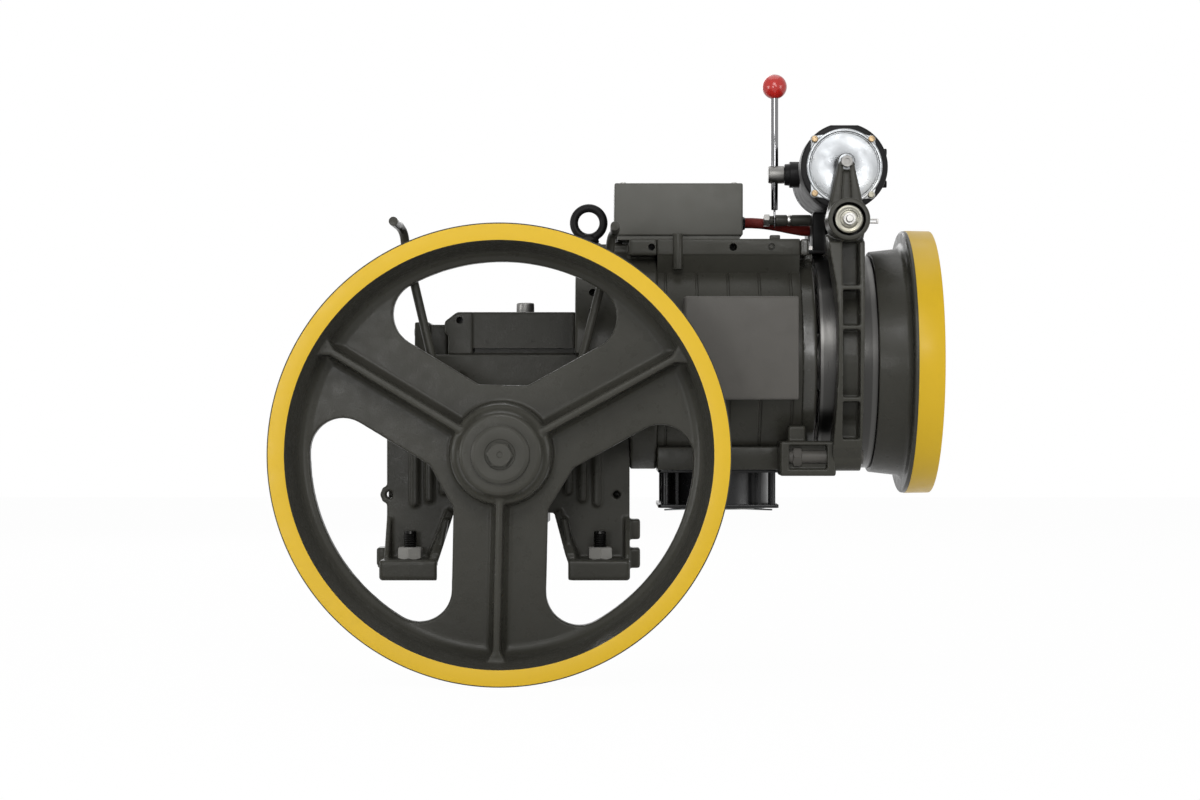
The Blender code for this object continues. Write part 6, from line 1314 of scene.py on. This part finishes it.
def make_brake_arms():
    """Both cast arms with their bolts and pins, and the linings on their shoes."""
    for prefix, side in (("front", 1), ("rear", -1)):
        node = f"{prefix}_brake_arm"
        shape, cup, pivot, low = arm_shape()
        shape = cast(shape, 0.0013, 4, 0.45)
        shape = carved(shape,
                       rod("Y", (cup.x, 0.0, cup.z), low.y - 0.01, -0.1472, 0.0226, 0.0, 64),
                       rod("Y", (cup.x, 0.0, cup.z), -0.16, -0.12, 0.0076, 0.0, 32),
                       rod("X", (0.0, pivot.y, pivot.z), 0.43, 0.50, 0.0104, 0.0, 48))
        if side < 0:
            shape = mirrored(shape)
        made(f"{node}_casting", shape, "casting", node, crease=50.0)
        bolt = carved(hex_screw(0.0152, 0.0085), rod("Z", (0, 0, 0), 0.0066, 0.02, 0.0042, 0.0, 24))
        bolt = placed(bolt, "Y", (cup.x, side * -0.1558, ARM_BOLT_Z), flip=side > 0)
        ring = turned([(0.0, 0.1545), (0.0112, 0.1545, 0.0005), (0.0112, 0.1562, 0.0006), (0.0, 0.1562)], "Y",
                      (cup.x, 0.0, ARM_BOLT_Z), 48)
        ring = ring if side < 0 else mirrored(ring)
        trim(f"{prefix}_arm_bolt", bolt, "dark_steel", node)
        trim(f"{prefix}_arm_washer", ring, "zinc", node)
        legs = [rod("X", (0.0, side * -0.1480, cup.z + lift),
                    cup.x + 0.026, cup.x + 0.0435, 0.0011, 0.0004, 12) for lift in (-0.0023, 0.0023)]
        legs.append(block((cup.x + 0.0415, side * -0.1480 - 0.0012, cup.z - 0.0034),
                          (cup.x + 0.0440, side * -0.1480 + 0.0012, cup.z + 0.0034), 0.0005))
        trim(f"{prefix}_arm_split_pin", together(*legs), "dull_steel", node)

        lining = f"{prefix}_brake_lining"
        low_l, high_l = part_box(lining)
        inner, outer = 0.1506, 0.1584
        places = [(-inner * math.cos(a), MOTOR_Z + inner * math.sin(a)) for a in SHOE_ANGLES]
        places += [(-outer * math.cos(a), MOTOR_Z + outer * math.sin(a)) for a in reversed(SHOE_ANGLES)]
        pad = slab([(side * y, z) for y, z in places], "YZ", low_l.x, high_l.x, 0.0006, 2)
        made(f"{lining}_shoe", outward(pad), "lining", lining, crease=30.0)


def make_pivots():
    """Brackets and pins that the brake arms swing on."""
    for prefix, side in FRONT_AND_REAR:
        bracket = f"{prefix}_pivot_bracket"
        node = f"{prefix}_pivot_pin"
        low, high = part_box(node)
        centre = (low + high) / 2
        body_low, body_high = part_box(bracket)
        back = block((body_low.x + 0.006, min(centre.y + side * 0.003, centre.y - side * 0.013),
                      body_low.z + 0.004),
                     (body_high.x - 0.006, max(centre.y + side * 0.003, centre.y - side * 0.013),
                      body_high.z - 0.004))
        lug = block((0.3860, min(side * 0.1510, side * 0.1260), body_high.z - 0.004),
                    (0.4100, max(side * 0.1510, side * 0.1260), 0.2110), 0.0030)
        body = cast(together(copy_of(bracket), back, lug), 0.0011, 4, 0.4)
        made(f"{bracket}_casting", body, "casting", bracket, crease=60.0)
        head_left = body_low.x + 0.018
        pin = rod("X", (0.0, centre.y, centre.z), low.x, high.x, 0.0099, 0.0012)
        head = placed(hex_prism(0.0245, 0.012, both=True), "X", (head_left, centre.y, centre.z))
        made(f"{node}_turned", together(pin, head), "hood", node)


def make_springs():
    """Stud through both arms, and the disc, nut and coil at each end of it."""
    stud_low, stud_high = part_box("spring_stud")
    cup = middle_of("spring_stud")
    stud = placed(turned([(0.0, 0.0), (0.0042, 0.0), (0.0050, 0.0012),
                          (0.0050, stud_high.y - stud_low.y - 0.0012),
                          (0.0042, stud_high.y - stud_low.y), (0.0, stud_high.y - stud_low.y)], steps=32),
                  "Y", (cup.x, stud_low.y, cup.z))
    made("spring_stud_turned", stud, "dull_steel", "spring_stud")
    for prefix, side in FRONT_AND_REAR:
        node = f"{prefix}_spring_disc"
        low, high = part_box(node)
        inner = high.y if side < 0 else low.y
        face = inner + side * 0.004
        disc = turned([(0.0052, inner), (0.0052, face), (0.0110, face, 0.0008),
                       (0.0125, face - side * 0.0012, 0.0008),
                       (0.0165, face - side * 0.0006, 0.001), (0.0195, face - side * 0.0012, 0.0012),
                       (0.0195, inner, 0.0006)], "Y", (cup.x, 0.0, cup.z), 96, closed=True)
        nut = hex_prism(0.0160, 0.0070, both=True, bore=0.0052)
        nut = placed(moved(nut, Matrix.Rotation(math.radians(14), 4, "Z")), "Y", (cup.x, face, cup.z),
                     flip=side < 0)
        made(f"{node}_plated", outward(disc), "plating", node)
        trim(f"{node}_nut", nut, "dull_steel", node)
        node = f"{prefix}_spring"
        low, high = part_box(node)
        coil = made(f"{node}_coil", copy_of(node), "steel", node, crease=60.0)
        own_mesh(coil)


# ---------------------------------------------------------------- magnet, release lever and bracket

MAGNET_BORE = 0.0450
# the screws of the end plates, across and up from the magnet's middle
MAGNET_EARS = ((0.0367, 0.0372), (-0.0412, 0.0372), (-0.0412, -0.0372), (0.0362, -0.0390))


def make_magnet():
    """Front bell and barrel with their screws, and the two end plates."""
    low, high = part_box("magnet_front_plate")
    centre = Vector(((low.x + high.x) / 2, 0.0, (low.z + high.z) / 2))
    end = -high.y + 0.0003
    radius, flat, tube_radius = 0.0600, 0.0570, 0.0510
    rise = math.asin(flat / radius)
    places = [(centre.x + radius * math.cos(a), centre.z + radius * math.sin(a))
              for a in (-rise + 2 * rise * i / 24 for i in range(25))]
    places += [(2 * centre.x - x, 2 * centre.z - z) for x, z in places]
    bell = carved(slab(places, "XZ", -end, -0.085, 0.0030, 4),
                  rod("Y", centre, -end - 0.01, -0.08, MAGNET_BORE, 0.0, 96))
    barrel = turned([(MAGNET_BORE, -0.087), (tube_radius, -0.087), (tube_radius, end, 0.003),
                     (MAGNET_BORE, end)], "Y", centre,
                    96, closed=True)
    barrel = carved(barrel, rod("Z", (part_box("brake_cable")[1].x - 0.0075, 0.035, 0.0), 0.50, 0.54, 0.0045,
                                0.0, 24))
    box_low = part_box("magnet_housing")[0]
    boss = turned([(0.0072, box_low.x, 0.0008), (0.0150, box_low.x, 0.001),
                   (0.0155, box_low.x + 0.007, 0.001),
                   (0.0185, box_low.x + 0.007, 0.001), (0.0185, centre.x - 0.052),
                   (0.0072, centre.x - 0.052)], "X",
                  (0.0, 0.0, centre.z), 64, closed=True)
    studs = [placed(hex_screw(0.0070, 0.0045), "X", (box_low.x + 0.0072, 0.012, centre.z + z), flip=True)
             for z in (0.010, -0.010)]
    made("magnet_body", together(bell, barrel, boss, *studs), "black", "magnet_housing", crease=28.0)

    for prefix, side in FRONT_AND_REAR:
        node = f"magnet_{prefix}_plate"
        low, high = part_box(node)
        inner, face = (high.y, low.y) if side < 0 else (low.y, high.y)
        disc = turned([(0.0092, inner), (0.0092, face, 0.0006), (0.0455, face, 0.0006),
                       (0.0463, face - side * 0.0009, 0.0004), (0.0475, face - side * 0.0009, 0.0004),
                       (0.0483, face, 0.0006), (0.0520, face, 0.0012), (0.0520, inner, 0.0006)], "Y",
                      centre, 144, closed=True)
        ears = []
        for i, ear in enumerate(MAGNET_EARS):
            across, up = (ear[0], ear[1]) if side < 0 else (ear[0] * 0.82, ear[1] * 0.82)
            middle = math.atan2(up, across)
            root = 0.0505 if side < 0 else 0.0430
            places = [(root * math.cos(middle + swing), root * math.sin(middle + swing))
                      for swing in (-0.33, -0.17, 0.0, 0.17, 0.33)][::-1]
            places += [(across + 0.0058 * math.cos(middle + a), up + 0.0058 * math.sin(middle + a))
                       for a in (math.radians(-75 + 15 * k) for k in range(11))]
            thin = face - side * 0.0012
            ears.append(slab([(centre.x + x, centre.z + z) for x, z in places], "XZ", min(inner, thin),
                             max(inner, thin),
                             0.0006))
            screw = placed(cap_screw(0.0046, 0.0042), "Y", (centre.x + across, face, centre.z + up),
                           flip=side < 0)
            trim(f"magnet_{prefix}_screw_{i}", screw, "plating" if i == 3 else "screw", node)
        made(f"{node}_zinc", together(outward(disc), *ears), "zinc", node)
    side_screws = []
    for z in (0.022, -0.022):
        for y in (-0.100, 0.100):
            x = centre.x + math.sqrt((radius if y < 0 else tube_radius) ** 2 - z ** 2) - 0.004
            side_screws.append(placed(hex_screw(0.0095, 0.0090), "X", (x - 0.0002, y, centre.z + z)))
    trim("magnet_side_screws", together(*side_screws), "black", "magnet_housing")


def make_magnet_bracket():
    """Pedestal that carries the magnet."""
    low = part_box("magnet_bracket")[0]
    stud = middle_of("spring_stud")
    magnet_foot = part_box("magnet_housing")[0].z - 0.0003
    column = block((0.430, -0.024, low.z), (0.448, 0.024, magnet_foot - 0.001), 0.0025)
    foot = block((low.x, -0.045, low.z), (0.447, 0.045, low.z + 0.005), 0.0015)
    saddle = block((0.431, -0.023, magnet_foot - 0.010), (0.500, 0.023, magnet_foot), 0.0020)
    lug = slab([(stud.x - 0.013, magnet_foot - 0.002), (stud.x - 0.013, stud.z, 0.008),
                (stud.x, stud.z - 0.0119, 0.006),
                (stud.x + 0.013, stud.z, 0.008), (stud.x + 0.013, magnet_foot - 0.002)], "XZ", -0.022, 0.022,
               0.0015)
    lug = carved(lug, rod("Y", (stud.x, 0.0, stud.z), -0.03, 0.03, 0.0053, 0.0, 32))
    web = slab([(0.4475, low.z + 0.010), (0.4475, magnet_foot - 0.008), (0.462, magnet_foot - 0.008)], "XZ",
               -0.004, 0.004, 0.001)
    made("magnet_pedestal", together(column, foot, saddle, lug, web), "black", "magnet_bracket", crease=30.0)
    for side in (-1, 1):
        bolt = placed(hex_screw(0.010, 0.0062), "Z", (0.4235, side * 0.036, low.z + 0.0050))
        trim(f"pedestal_bolt_{'front' if side < 0 else 'rear'}", bolt, "dull_steel", "magnet_bracket")


BALL_RADIUS = 0.0175


def make_lever():
    """Bar, hub and pointer of the release lever, and its ball."""
    low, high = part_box("release_lever")
    x = low.x + 0.009
    axis_z = middle_of("magnet_front_plate").z
    knob_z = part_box("lever_knob")[1].z - BALL_RADIUS
    bar = turned([(0.0, axis_z), (0.0053, axis_z), (0.0053, knob_z - 0.0150, 0.0006),
                  (0.0040, knob_z - 0.0145),
                  (0.0040, knob_z - 0.006), (0.0, knob_z - 0.006)], "Z", (x, 0.0, 0.0), 48)
    boss = turned([(0.0, low.x), (0.0118, low.x, 0.0015), (0.0125, low.x + 0.004, 0.001),
                   (0.0125, high.x, 0.0012),
                   (0.0072, high.x, 0.0004), (0.0072, high.x - 0.0138), (0.0, high.x - 0.0138)], "X",
                  (0.0, 0.0, axis_z), 64)
    tail = turned([(0.0, axis_z), (0.0050, axis_z), (0.0046, axis_z - 0.050, 0.0006),
                   (0.0015, axis_z - 0.0505),
                   (0.0013, low.z + 0.002), (0.0004, low.z), (0.0, low.z)], "Z", (x, 0.0, 0.0), 40)
    paint(tail, 2, lambda at, normal: at.z > axis_z - 0.0504)
    paint(boss, 1, lambda at, normal: True)
    made("release_handle", together(bar, boss, tail), ["chrome", "dark_steel", "dark_chrome"],
         "release_lever",
         crease=35.0)

    ball = [(BALL_RADIUS * math.sin(a), knob_z - BALL_RADIUS * math.cos(a))
            for a in (math.radians(22 + 158 * i / 36) for i in range(36))]
    knob = turned([(0.0, knob_z - 0.0095), (0.0052, knob_z - 0.0095),
                   (0.0052, knob_z - 0.0165, 0.0004)] + ball + [(0.0, knob_z + BALL_RADIUS)],
                  "Z", (x, 0.0, 0.0), 96)
    made("ball_knob", knob, "knob", "lever_knob", crease=50.0)


def make_stop_pin():
    """Pin that stops the release lever."""
    low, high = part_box("lever_stop_pin")
    centre = (low + high) / 2
    line = (0.0, centre.y, centre.z)
    nut = placed(hex_prism(0.0165, 0.0085, both=True), "X", (low.x, centre.y, centre.z))
    body = turned([(0.0, low.x + 0.008), (0.0065, low.x + 0.008), (0.0065, low.x + 0.0165),
                   (0.0080, low.x + 0.0165, 0.0008),
                   (0.0080, low.x + 0.033, 0.0008), (0.0072, low.x + 0.033), (0.0072, low.x + 0.040),
                   (0.0080, low.x + 0.040, 0.0008), (0.0080, high.x), (0.0, high.x)], "X", line, 48)
    collar = turned([(0.0, low.x + 0.034), (0.0080, low.x + 0.034, 0.0006), (0.0080, low.x + 0.0385, 0.0006),
                     (0.0, low.x + 0.0385)], "X", line, 48)
    made("lever_stop", body, "cover", "lever_stop_pin")
    trim("lever_stop_nut", nut, "steel", "lever_stop_pin")
    trim("lever_stop_collar", collar, "steel", "lever_stop_pin")


# ---------------------------------------------------------------- cable and rope guards

# the cable from the terminal box to the magnet, across and up
CABLE_ROUTE = ((0.319, 0.4985), (0.335, 0.4997), (0.360, 0.4990), (0.385, 0.4955), (0.408, 0.4910),
               (0.428, 0.4885), (0.4425, 0.4910), (0.4505, 0.4985), (0.4520, 0.5070))


def make_cable():
    """Red sleeve of the magnet's cable, and its gland at the terminal box."""
    low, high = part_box("brake_cable")
    y = (low.y + high.y) / 2
    route = [(x, y, z) for x, z in CABLE_ROUTE] + [(CABLE_ROUTE[-1][0], y, high.z)]
    made("brake_cable_sleeve", tube(route, 0.0075, 24, round_ends=False), "sleeve", "brake_cable",
         crease=60.0)
    box_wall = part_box("terminal_box_lid")[1].x
    gland = turned([(0.0076, box_wall), (0.0120, box_wall, 0.0006), (0.0120, box_wall + 0.003, 0.0008),
                    (0.0105, box_wall + 0.006, 0.0008), (0.0085, box_wall + 0.010, 0.0006),
                    (0.0076, box_wall + 0.010)], "X", (0.0, y, 0.4992), 48, closed=True)
    trim("cable_gland", outward(gland), "plastic", "terminal_box_lid")


# height at which both guard rods are fixed to the casting
GUARD_ROOT_Z = 0.262


def guard_route(root_x, degrees):
    """Points of a bent rod from the casing, up behind the sheave and forward over its grooves."""
    sheave_low, sheave_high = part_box("sheave")
    foot_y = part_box("left_rope_guard")[1].y
    stand_y = sheave_low.y + SHEAVE_RIM_WIDTH + 0.016
    tip_y = sheave_low.y + 0.006
    reach, root_z, bend = (sheave_high.x - sheave_low.x) / 2 + 0.0315, GUARD_ROOT_Z, 0.022
    tip = (reach * math.cos(math.radians(degrees)), OUTPUT_Z + reach * math.sin(math.radians(degrees)))
    slope = (tip[0] - root_x) / (tip[1] - root_z)
    rise = tip[1] - 0.0163 - root_z
    route = [(root_x, foot_y, root_z), (root_x, (foot_y + stand_y) / 2, root_z),
             (root_x, stand_y + bend, root_z),
             (root_x + slope * bend * 0.3, stand_y + bend * 0.3, root_z + bend * 0.3),
             (root_x + slope * bend, stand_y, root_z + bend)]
    route += [(root_x + slope * rise * share, stand_y, root_z + rise * share) for share in (0.4, 0.7, 0.95)]
    return route + [(root_x + slope * rise, stand_y - bend * 0.3, root_z + rise + bend * 0.35),
                    (tip[0], stand_y - bend, tip[1]), (tip[0], (stand_y + tip_y) / 2, tip[1]),
                    (tip[0], tip_y, tip[1])]


def make_rope_guards():
    """Two bent rods that keep the ropes in their grooves."""
    for name, root_x, degrees in (("left_rope_guard", -0.0862, 114.4), ("right_rope_guard", 0.096, 63.2)):
        made(f"{name}_rod", tube(guard_route(root_x, degrees), 0.0060, 24), "casting", name, crease=60.0)
        foot_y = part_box(name)[1].y
        collar = turned([(0.0062, foot_y), (0.0150, foot_y, 0.0008), (0.0150, foot_y - 0.005, 0.0012),
                         (0.0090, foot_y - 0.012, 0.001), (0.0062, foot_y - 0.012)], "Y",
                        (root_x, 0.0, GUARD_ROOT_Z), 48,
                        closed=True)
        trim(f"{name}_collar", outward(collar), "casting", name)


# ---------------------------------------------------------------- pieces inside the machine

INSIDE = {
    "steel": ("output_front_bearing", "output_rear_bearing", "worm_end_bearing", "worm_drive_bearing",
              "motor_end_bearing", "front_plunger", "rear_plunger", "release_shaft", "motor_rotor"),
    "bronze": ("worm_wheel_rim",),
    "casting": ("worm_wheel_hub",),
    "copper": ("stator_core", "magnet_coil"),
    "box": ("terminal_box",),
}


def finish_inside():
    """Give the pieces that keep their own shape a finish."""
    for finish, nodes in INSIDE.items():
        for node in nodes:
            data = frame["nodes"][node].data
            data.materials.clear()
            data.materials.append(FINISHES[finish])


# ---------------------------------------------------------------- stage

WHITE = (1.0, 1.0, 1.0, 1.0)
AIM = Vector((0.15, 0.0, 0.2))
CAMERA_PLACE = (0.130, -3.553, 0.246)


def make_stage():
    """Floor, lamps and camera."""
    settings = bpy.context.scene.machine_stage
    scene = bpy.context.scene
    scene.view_settings.view_transform = "Standard"

    world = bpy.data.worlds.new("studio")
    world.use_nodes = True
    scene.world = world
    tree = world.node_tree
    light = tree.nodes["Background"]
    light.inputs["Color"].default_value = WHITE
    light.inputs["Strength"].default_value = settings.sky
    white = add_node(tree, "ShaderNodeBackground", {"Color": WHITE, "Strength": 1.0})
    mix = add_node(tree, "ShaderNodeMixShader", None, {"Fac": seen_rays(tree), 1: light.outputs["Background"],
                                                       2: white.outputs["Background"]})
    tree.links.new(mix.outputs["Shader"], tree.nodes["World Output"].inputs["Surface"])

    shape = bmesh.new()
    bmesh.ops.create_grid(shape, x_segments=1, y_segments=1, size=6.0)
    bmesh.ops.translate(shape, vec=(0.13, 0.0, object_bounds()[0].z - 0.0005), verts=shape.verts)
    floor = as_object(shape, "floor")
    floor.data.materials.append(floor_material(settings.floor_shade))
    floor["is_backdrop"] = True

    for name, place, size, power in (("key_lamp", (0.05, -2.6, 1.75), 1.1, settings.key_power),
                                     ("left_card", (-0.52, -2.75, 0.32), 0.40, settings.card_power),
                                     ("right_card", (0.78, -2.70, 0.92), 0.40, settings.card_power),
                                     ("left_lamp", (-2.4, -1.3, 0.45), 0.9, settings.fill_power),
                                     ("right_lamp", (2.6, -1.5, 0.50), 0.9, settings.fill_power * 0.6),
                                     ("rear_lamp", (-0.6, 2.9, 1.6), 1.8, settings.fill_power * 1.3),
                                     ("top_lamp", (0.2, 0.5, 3.0), 2.6, settings.top_power)):
        lamp = bpy.data.lights.new(name, "AREA")
        lamp.shape = "SQUARE"
        lamp.size = size
        lamp.energy = power
        item = bpy.data.objects.new(name, lamp)
        item.location = place
        item.rotation_euler = (AIM - Vector(place)).to_track_quat("-Z", "Y").to_euler()
        scene.collection.objects.link(item)

    camera = bpy.data.cameras.new("camera")
    camera.lens = settings.lens
    camera.sensor_width = 36.0
    camera.clip_end = 50.0
    item = bpy.data.objects.new("camera", camera)
    item.location = CAMERA_PLACE
    item.rotation_euler = (math.pi / 2, 0.0, 0.0)
    scene.collection.objects.link(item)
    scene.camera = item


def seen_rays(tree):
    """1 for rays from the camera, and for mirrored and refracted ones."""
    path = add_node(tree, "ShaderNodeLightPath")
    total = path.outputs["Is Camera Ray"]
    for name in ("Is Glossy Ray", "Is Transmission Ray"):
        total = add_node(tree, "ShaderNodeMath", None, {0: total, 1: path.outputs[name]}, operation="ADD",
                         use_clamp=True).outputs[0]
    return total


def floor_material(shade):
    """Pale floor: white where it is seen, with a trace of the object's shadow kept."""
    material = bpy.data.materials.new("floor_paper")
    material.use_nodes = True
    tree = material.node_tree
    shader = tree.nodes["Principled BSDF"]
    shader.inputs["Base Color"].default_value = (shade, shade, shade, 1.0)
    shader.inputs["Roughness"].default_value = 0.9
    shader.inputs["Specular IOR Level"].default_value = 0.0
    glow = add_node(tree, "ShaderNodeEmission", {"Color": WHITE})
    share = add_node(tree, "ShaderNodeMath", {1: 0.98}, {0: seen_rays(tree)}, operation="MULTIPLY")
    mix = add_node(tree, "ShaderNodeMixShader", None, {"Fac": share.outputs[0], 1: shader.outputs["BSDF"],
                                                       2: glow.outputs["Emission"]})
    tree.links.new(mix.outputs["Shader"], tree.nodes["Material Output"].inputs["Surface"])
    return material


# ---------------------------------------------------------------- operators and panel

class MACHINE_OT_stage(Operator):
    """Make the floor, lamps and camera"""

    bl_idname = "machine.stage"
    bl_label = "Stage"

    def execute(self, context):
        mix_finishes()
        make_stage()
        return {"FINISHED"}


class MACHINE_OT_sheave(Operator):
    """Make the rope sheave's rim, web, hub and ribs"""

    bl_idname = "machine.sheave"
    bl_label = "Sheave"

    def execute(self, context):
        make_sheave()
        return {"FINISHED"}


class MACHINE_OT_sheave_end(Operator):
    """Make the sheave's end disc and bolt"""

    bl_idname = "machine.sheave_end"
    bl_label = "Sheave end"

    def execute(self, context):
        make_sheave_end()
        return {"FINISHED"}


class MACHINE_OT_output_shaft(Operator):
    """Make the shaft that carries the sheave"""

    bl_idname = "machine.output_shaft"
    bl_label = "Output shaft"

    def execute(self, context):
        make_output_shaft()
        return {"FINISHED"}


class MACHINE_OT_gearbox(Operator):
    """Make the lower casing, the worm tunnel and its end cover"""

    bl_idname = "machine.gearbox"
    bl_label = "Gearbox"

    def execute(self, context):
        make_gearbox()
        return {"FINISHED"}


class MACHINE_OT_output_covers(Operator):
    """Make the two bearing covers on the sheave shaft"""

    bl_idname = "machine.output_covers"
    bl_label = "Output covers"

    def execute(self, context):
        make_output_covers()
        return {"FINISHED"}


class MACHINE_OT_filler_plug(Operator):
    """Make the plug on the worm tunnel"""

    bl_idname = "machine.filler_plug"
    bl_label = "Filler plug"

    def execute(self, context):
        make_filler_plug()
        return {"FINISHED"}


class MACHINE_OT_foot_studs(Operator):
    """Make the studs and nuts on the feet"""

    bl_idname = "machine.foot_studs"
    bl_label = "Foot studs"

    def execute(self, context):
        make_foot_studs()
        return {"FINISHED"}


class MACHINE_OT_motor_bell(Operator):
    """Make the bell between the gearbox and the motor"""

    bl_idname = "machine.motor_bell"
    bl_label = "Motor bell"

    def execute(self, context):
        make_motor_adapter()
        return {"FINISHED"}


class MACHINE_OT_lifting_eye(Operator):
    """Make the lifting eye on the bell"""

    bl_idname = "machine.lifting_eye"
    bl_label = "Lifting eye"

    def execute(self, context):
        make_eye_bolt()
        return {"FINISHED"}


class MACHINE_OT_motor_barrel(Operator):
    """Make the motor's barrel and rails"""

    bl_idname = "machine.motor_barrel"
    bl_label = "Motor barrel"

    def execute(self, context):
        make_motor_frame()
        return {"FINISHED"}


class MACHINE_OT_end_shield(Operator):
    """Make the motor's brake-end shield"""

    bl_idname = "machine.end_shield"
    bl_label = "End shield"

    def execute(self, context):
        make_end_shield()
        return {"FINISHED"}


class MACHINE_OT_boxes(Operator):
    """Make the terminal box's lid and the front cover"""

    bl_idname = "machine.boxes"
    bl_label = "Terminal box and cover"

    def execute(self, context):
        make_terminal_box()
        make_junction_cover()
        return {"FINISHED"}


class MACHINE_OT_fan(Operator):
    """Make the fan's frame, wheel and finger guard"""

    bl_idname = "machine.fan"
    bl_label = "Cooling fan"

    def execute(self, context):
        make_fan()
        return {"FINISHED"}


class MACHINE_OT_drum(Operator):
    """Make the brake drum"""

    bl_idname = "machine.drum"
    bl_label = "Brake drum"

    def execute(self, context):
        make_drum()
        return {"FINISHED"}


class MACHINE_OT_flywheel(Operator):
    """Make the flywheel, its nut and the worm shaft"""

    bl_idname = "machine.flywheel"
    bl_label = "Flywheel and worm"

    def execute(self, context):
        make_flywheel()
        return {"FINISHED"}


class MACHINE_OT_brake_arms(Operator):
    """Make the two brake arms and their linings"""

    bl_idname = "machine.brake_arms"
    bl_label = "Brake arms"

    def execute(self, context):
        make_brake_arms()
        return {"FINISHED"}


class MACHINE_OT_pivots(Operator):
    """Make the pivot brackets and pins of the brake arms"""

    bl_idname = "machine.pivots"
    bl_label = "Pivots"

    def execute(self, context):
        make_pivots()
        return {"FINISHED"}


class MACHINE_OT_springs(Operator):
    """Make the spring stud, its discs and nuts"""

    bl_idname = "machine.springs"
    bl_label = "Brake springs' ends"

    def execute(self, context):
        make_springs()
        return {"FINISHED"}


class MACHINE_OT_magnet(Operator):
    """Make the brake magnet with its plates and screws"""

    bl_idname = "machine.magnet"
    bl_label = "Brake magnet"

    def execute(self, context):
        make_magnet()
        return {"FINISHED"}


class MACHINE_OT_magnet_bracket(Operator):
    """Make the pedestal under the brake magnet"""

    bl_idname = "machine.magnet_bracket"
    bl_label = "Magnet pedestal"

    def execute(self, context):
        make_magnet_bracket()
        return {"FINISHED"}


class MACHINE_OT_lever(Operator):
    """Make the release lever and its ball"""

    bl_idname = "machine.lever"
    bl_label = "Release lever"

    def execute(self, context):
        make_lever()
        return {"FINISHED"}


class MACHINE_OT_stop_pin(Operator):
    """Make the stop of the release lever"""

    bl_idname = "machine.stop_pin"
    bl_label = "Lever stop"

    def execute(self, context):
        make_stop_pin()
        return {"FINISHED"}


class MACHINE_OT_cable(Operator):
    """Make the sleeve and gland of the brake cable"""

    bl_idname = "machine.cable"
    bl_label = "Brake cable"

    def execute(self, context):
        make_cable()
        return {"FINISHED"}


class MACHINE_OT_rope_guards(Operator):
    """Make the two bent rods beside the ropes"""

    bl_idname = "machine.rope_guards"
    bl_label = "Rope guards"

    def execute(self, context):
        make_rope_guards()
        return {"FINISHED"}


class MACHINE_OT_inside(Operator):
    """Finish the bearings, wheel, windings and other inner pieces"""

    bl_idname = "machine.inside"
    bl_label = "Inner pieces"

    def execute(self, context):
        finish_inside()
        return {"FINISHED"}


OPERATORS = (
    MACHINE_OT_stage, MACHINE_OT_sheave, MACHINE_OT_sheave_end, MACHINE_OT_output_shaft, MACHINE_OT_gearbox,
    MACHINE_OT_output_covers, MACHINE_OT_filler_plug, MACHINE_OT_foot_studs, MACHINE_OT_motor_bell,
    MACHINE_OT_lifting_eye, MACHINE_OT_motor_barrel, MACHINE_OT_end_shield, MACHINE_OT_boxes, MACHINE_OT_fan,
    MACHINE_OT_drum, MACHINE_OT_flywheel, MACHINE_OT_brake_arms, MACHINE_OT_pivots, MACHINE_OT_springs,
    MACHINE_OT_magnet, MACHINE_OT_magnet_bracket, MACHINE_OT_lever, MACHINE_OT_stop_pin, MACHINE_OT_cable,
    MACHINE_OT_rope_guards, MACHINE_OT_inside,
)


class MACHINE_PT_panel(Panel):
    """Lists the machine's sizes, colours and operators."""

    bl_label = "Traction machine"
    bl_idname = "MACHINE_PT_panel"
    bl_space_type = "VIEW_3D"
    bl_region_type = "UI"
    bl_category = "Traction machine"

    def draw(self, context):
        for kind in OPERATORS:
            self.layout.operator(kind.bl_idname)
        for group in ("machine_sizes", "machine_colours", "machine_stage"):
            settings = getattr(context.scene, group)
            for name in settings.bl_rna.properties.keys():
                if name not in {"rna_type", "name"}:
                    self.layout.prop(settings, name)


SETTINGS = (("machine_sizes", MachineSizes), ("machine_colours", MachineColours),
            ("machine_stage", StageSettings))


def register():
    """Add the settings, operators and panel."""
    for name, kind in SETTINGS:
        bpy.utils.register_class(kind)
        setattr(bpy.types.Scene, name, PointerProperty(type=kind))
    for kind in (*OPERATORS, MACHINE_PT_panel):
        bpy.utils.register_class(kind)


def unregister():
    """Take them away again."""
    for kind in (MACHINE_PT_panel, *reversed(OPERATORS)):
        bpy.utils.unregister_class(kind)
    for name, kind in reversed(SETTINGS):
        delattr(bpy.types.Scene, name)
        bpy.utils.unregister_class(kind)


def main():
    """Run every operator."""
    register()
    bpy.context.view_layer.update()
    for kind in OPERATORS:
        getattr(bpy.ops.machine, kind.bl_idname.split(".")[1])()


if __name__ == "__main__":
    main()
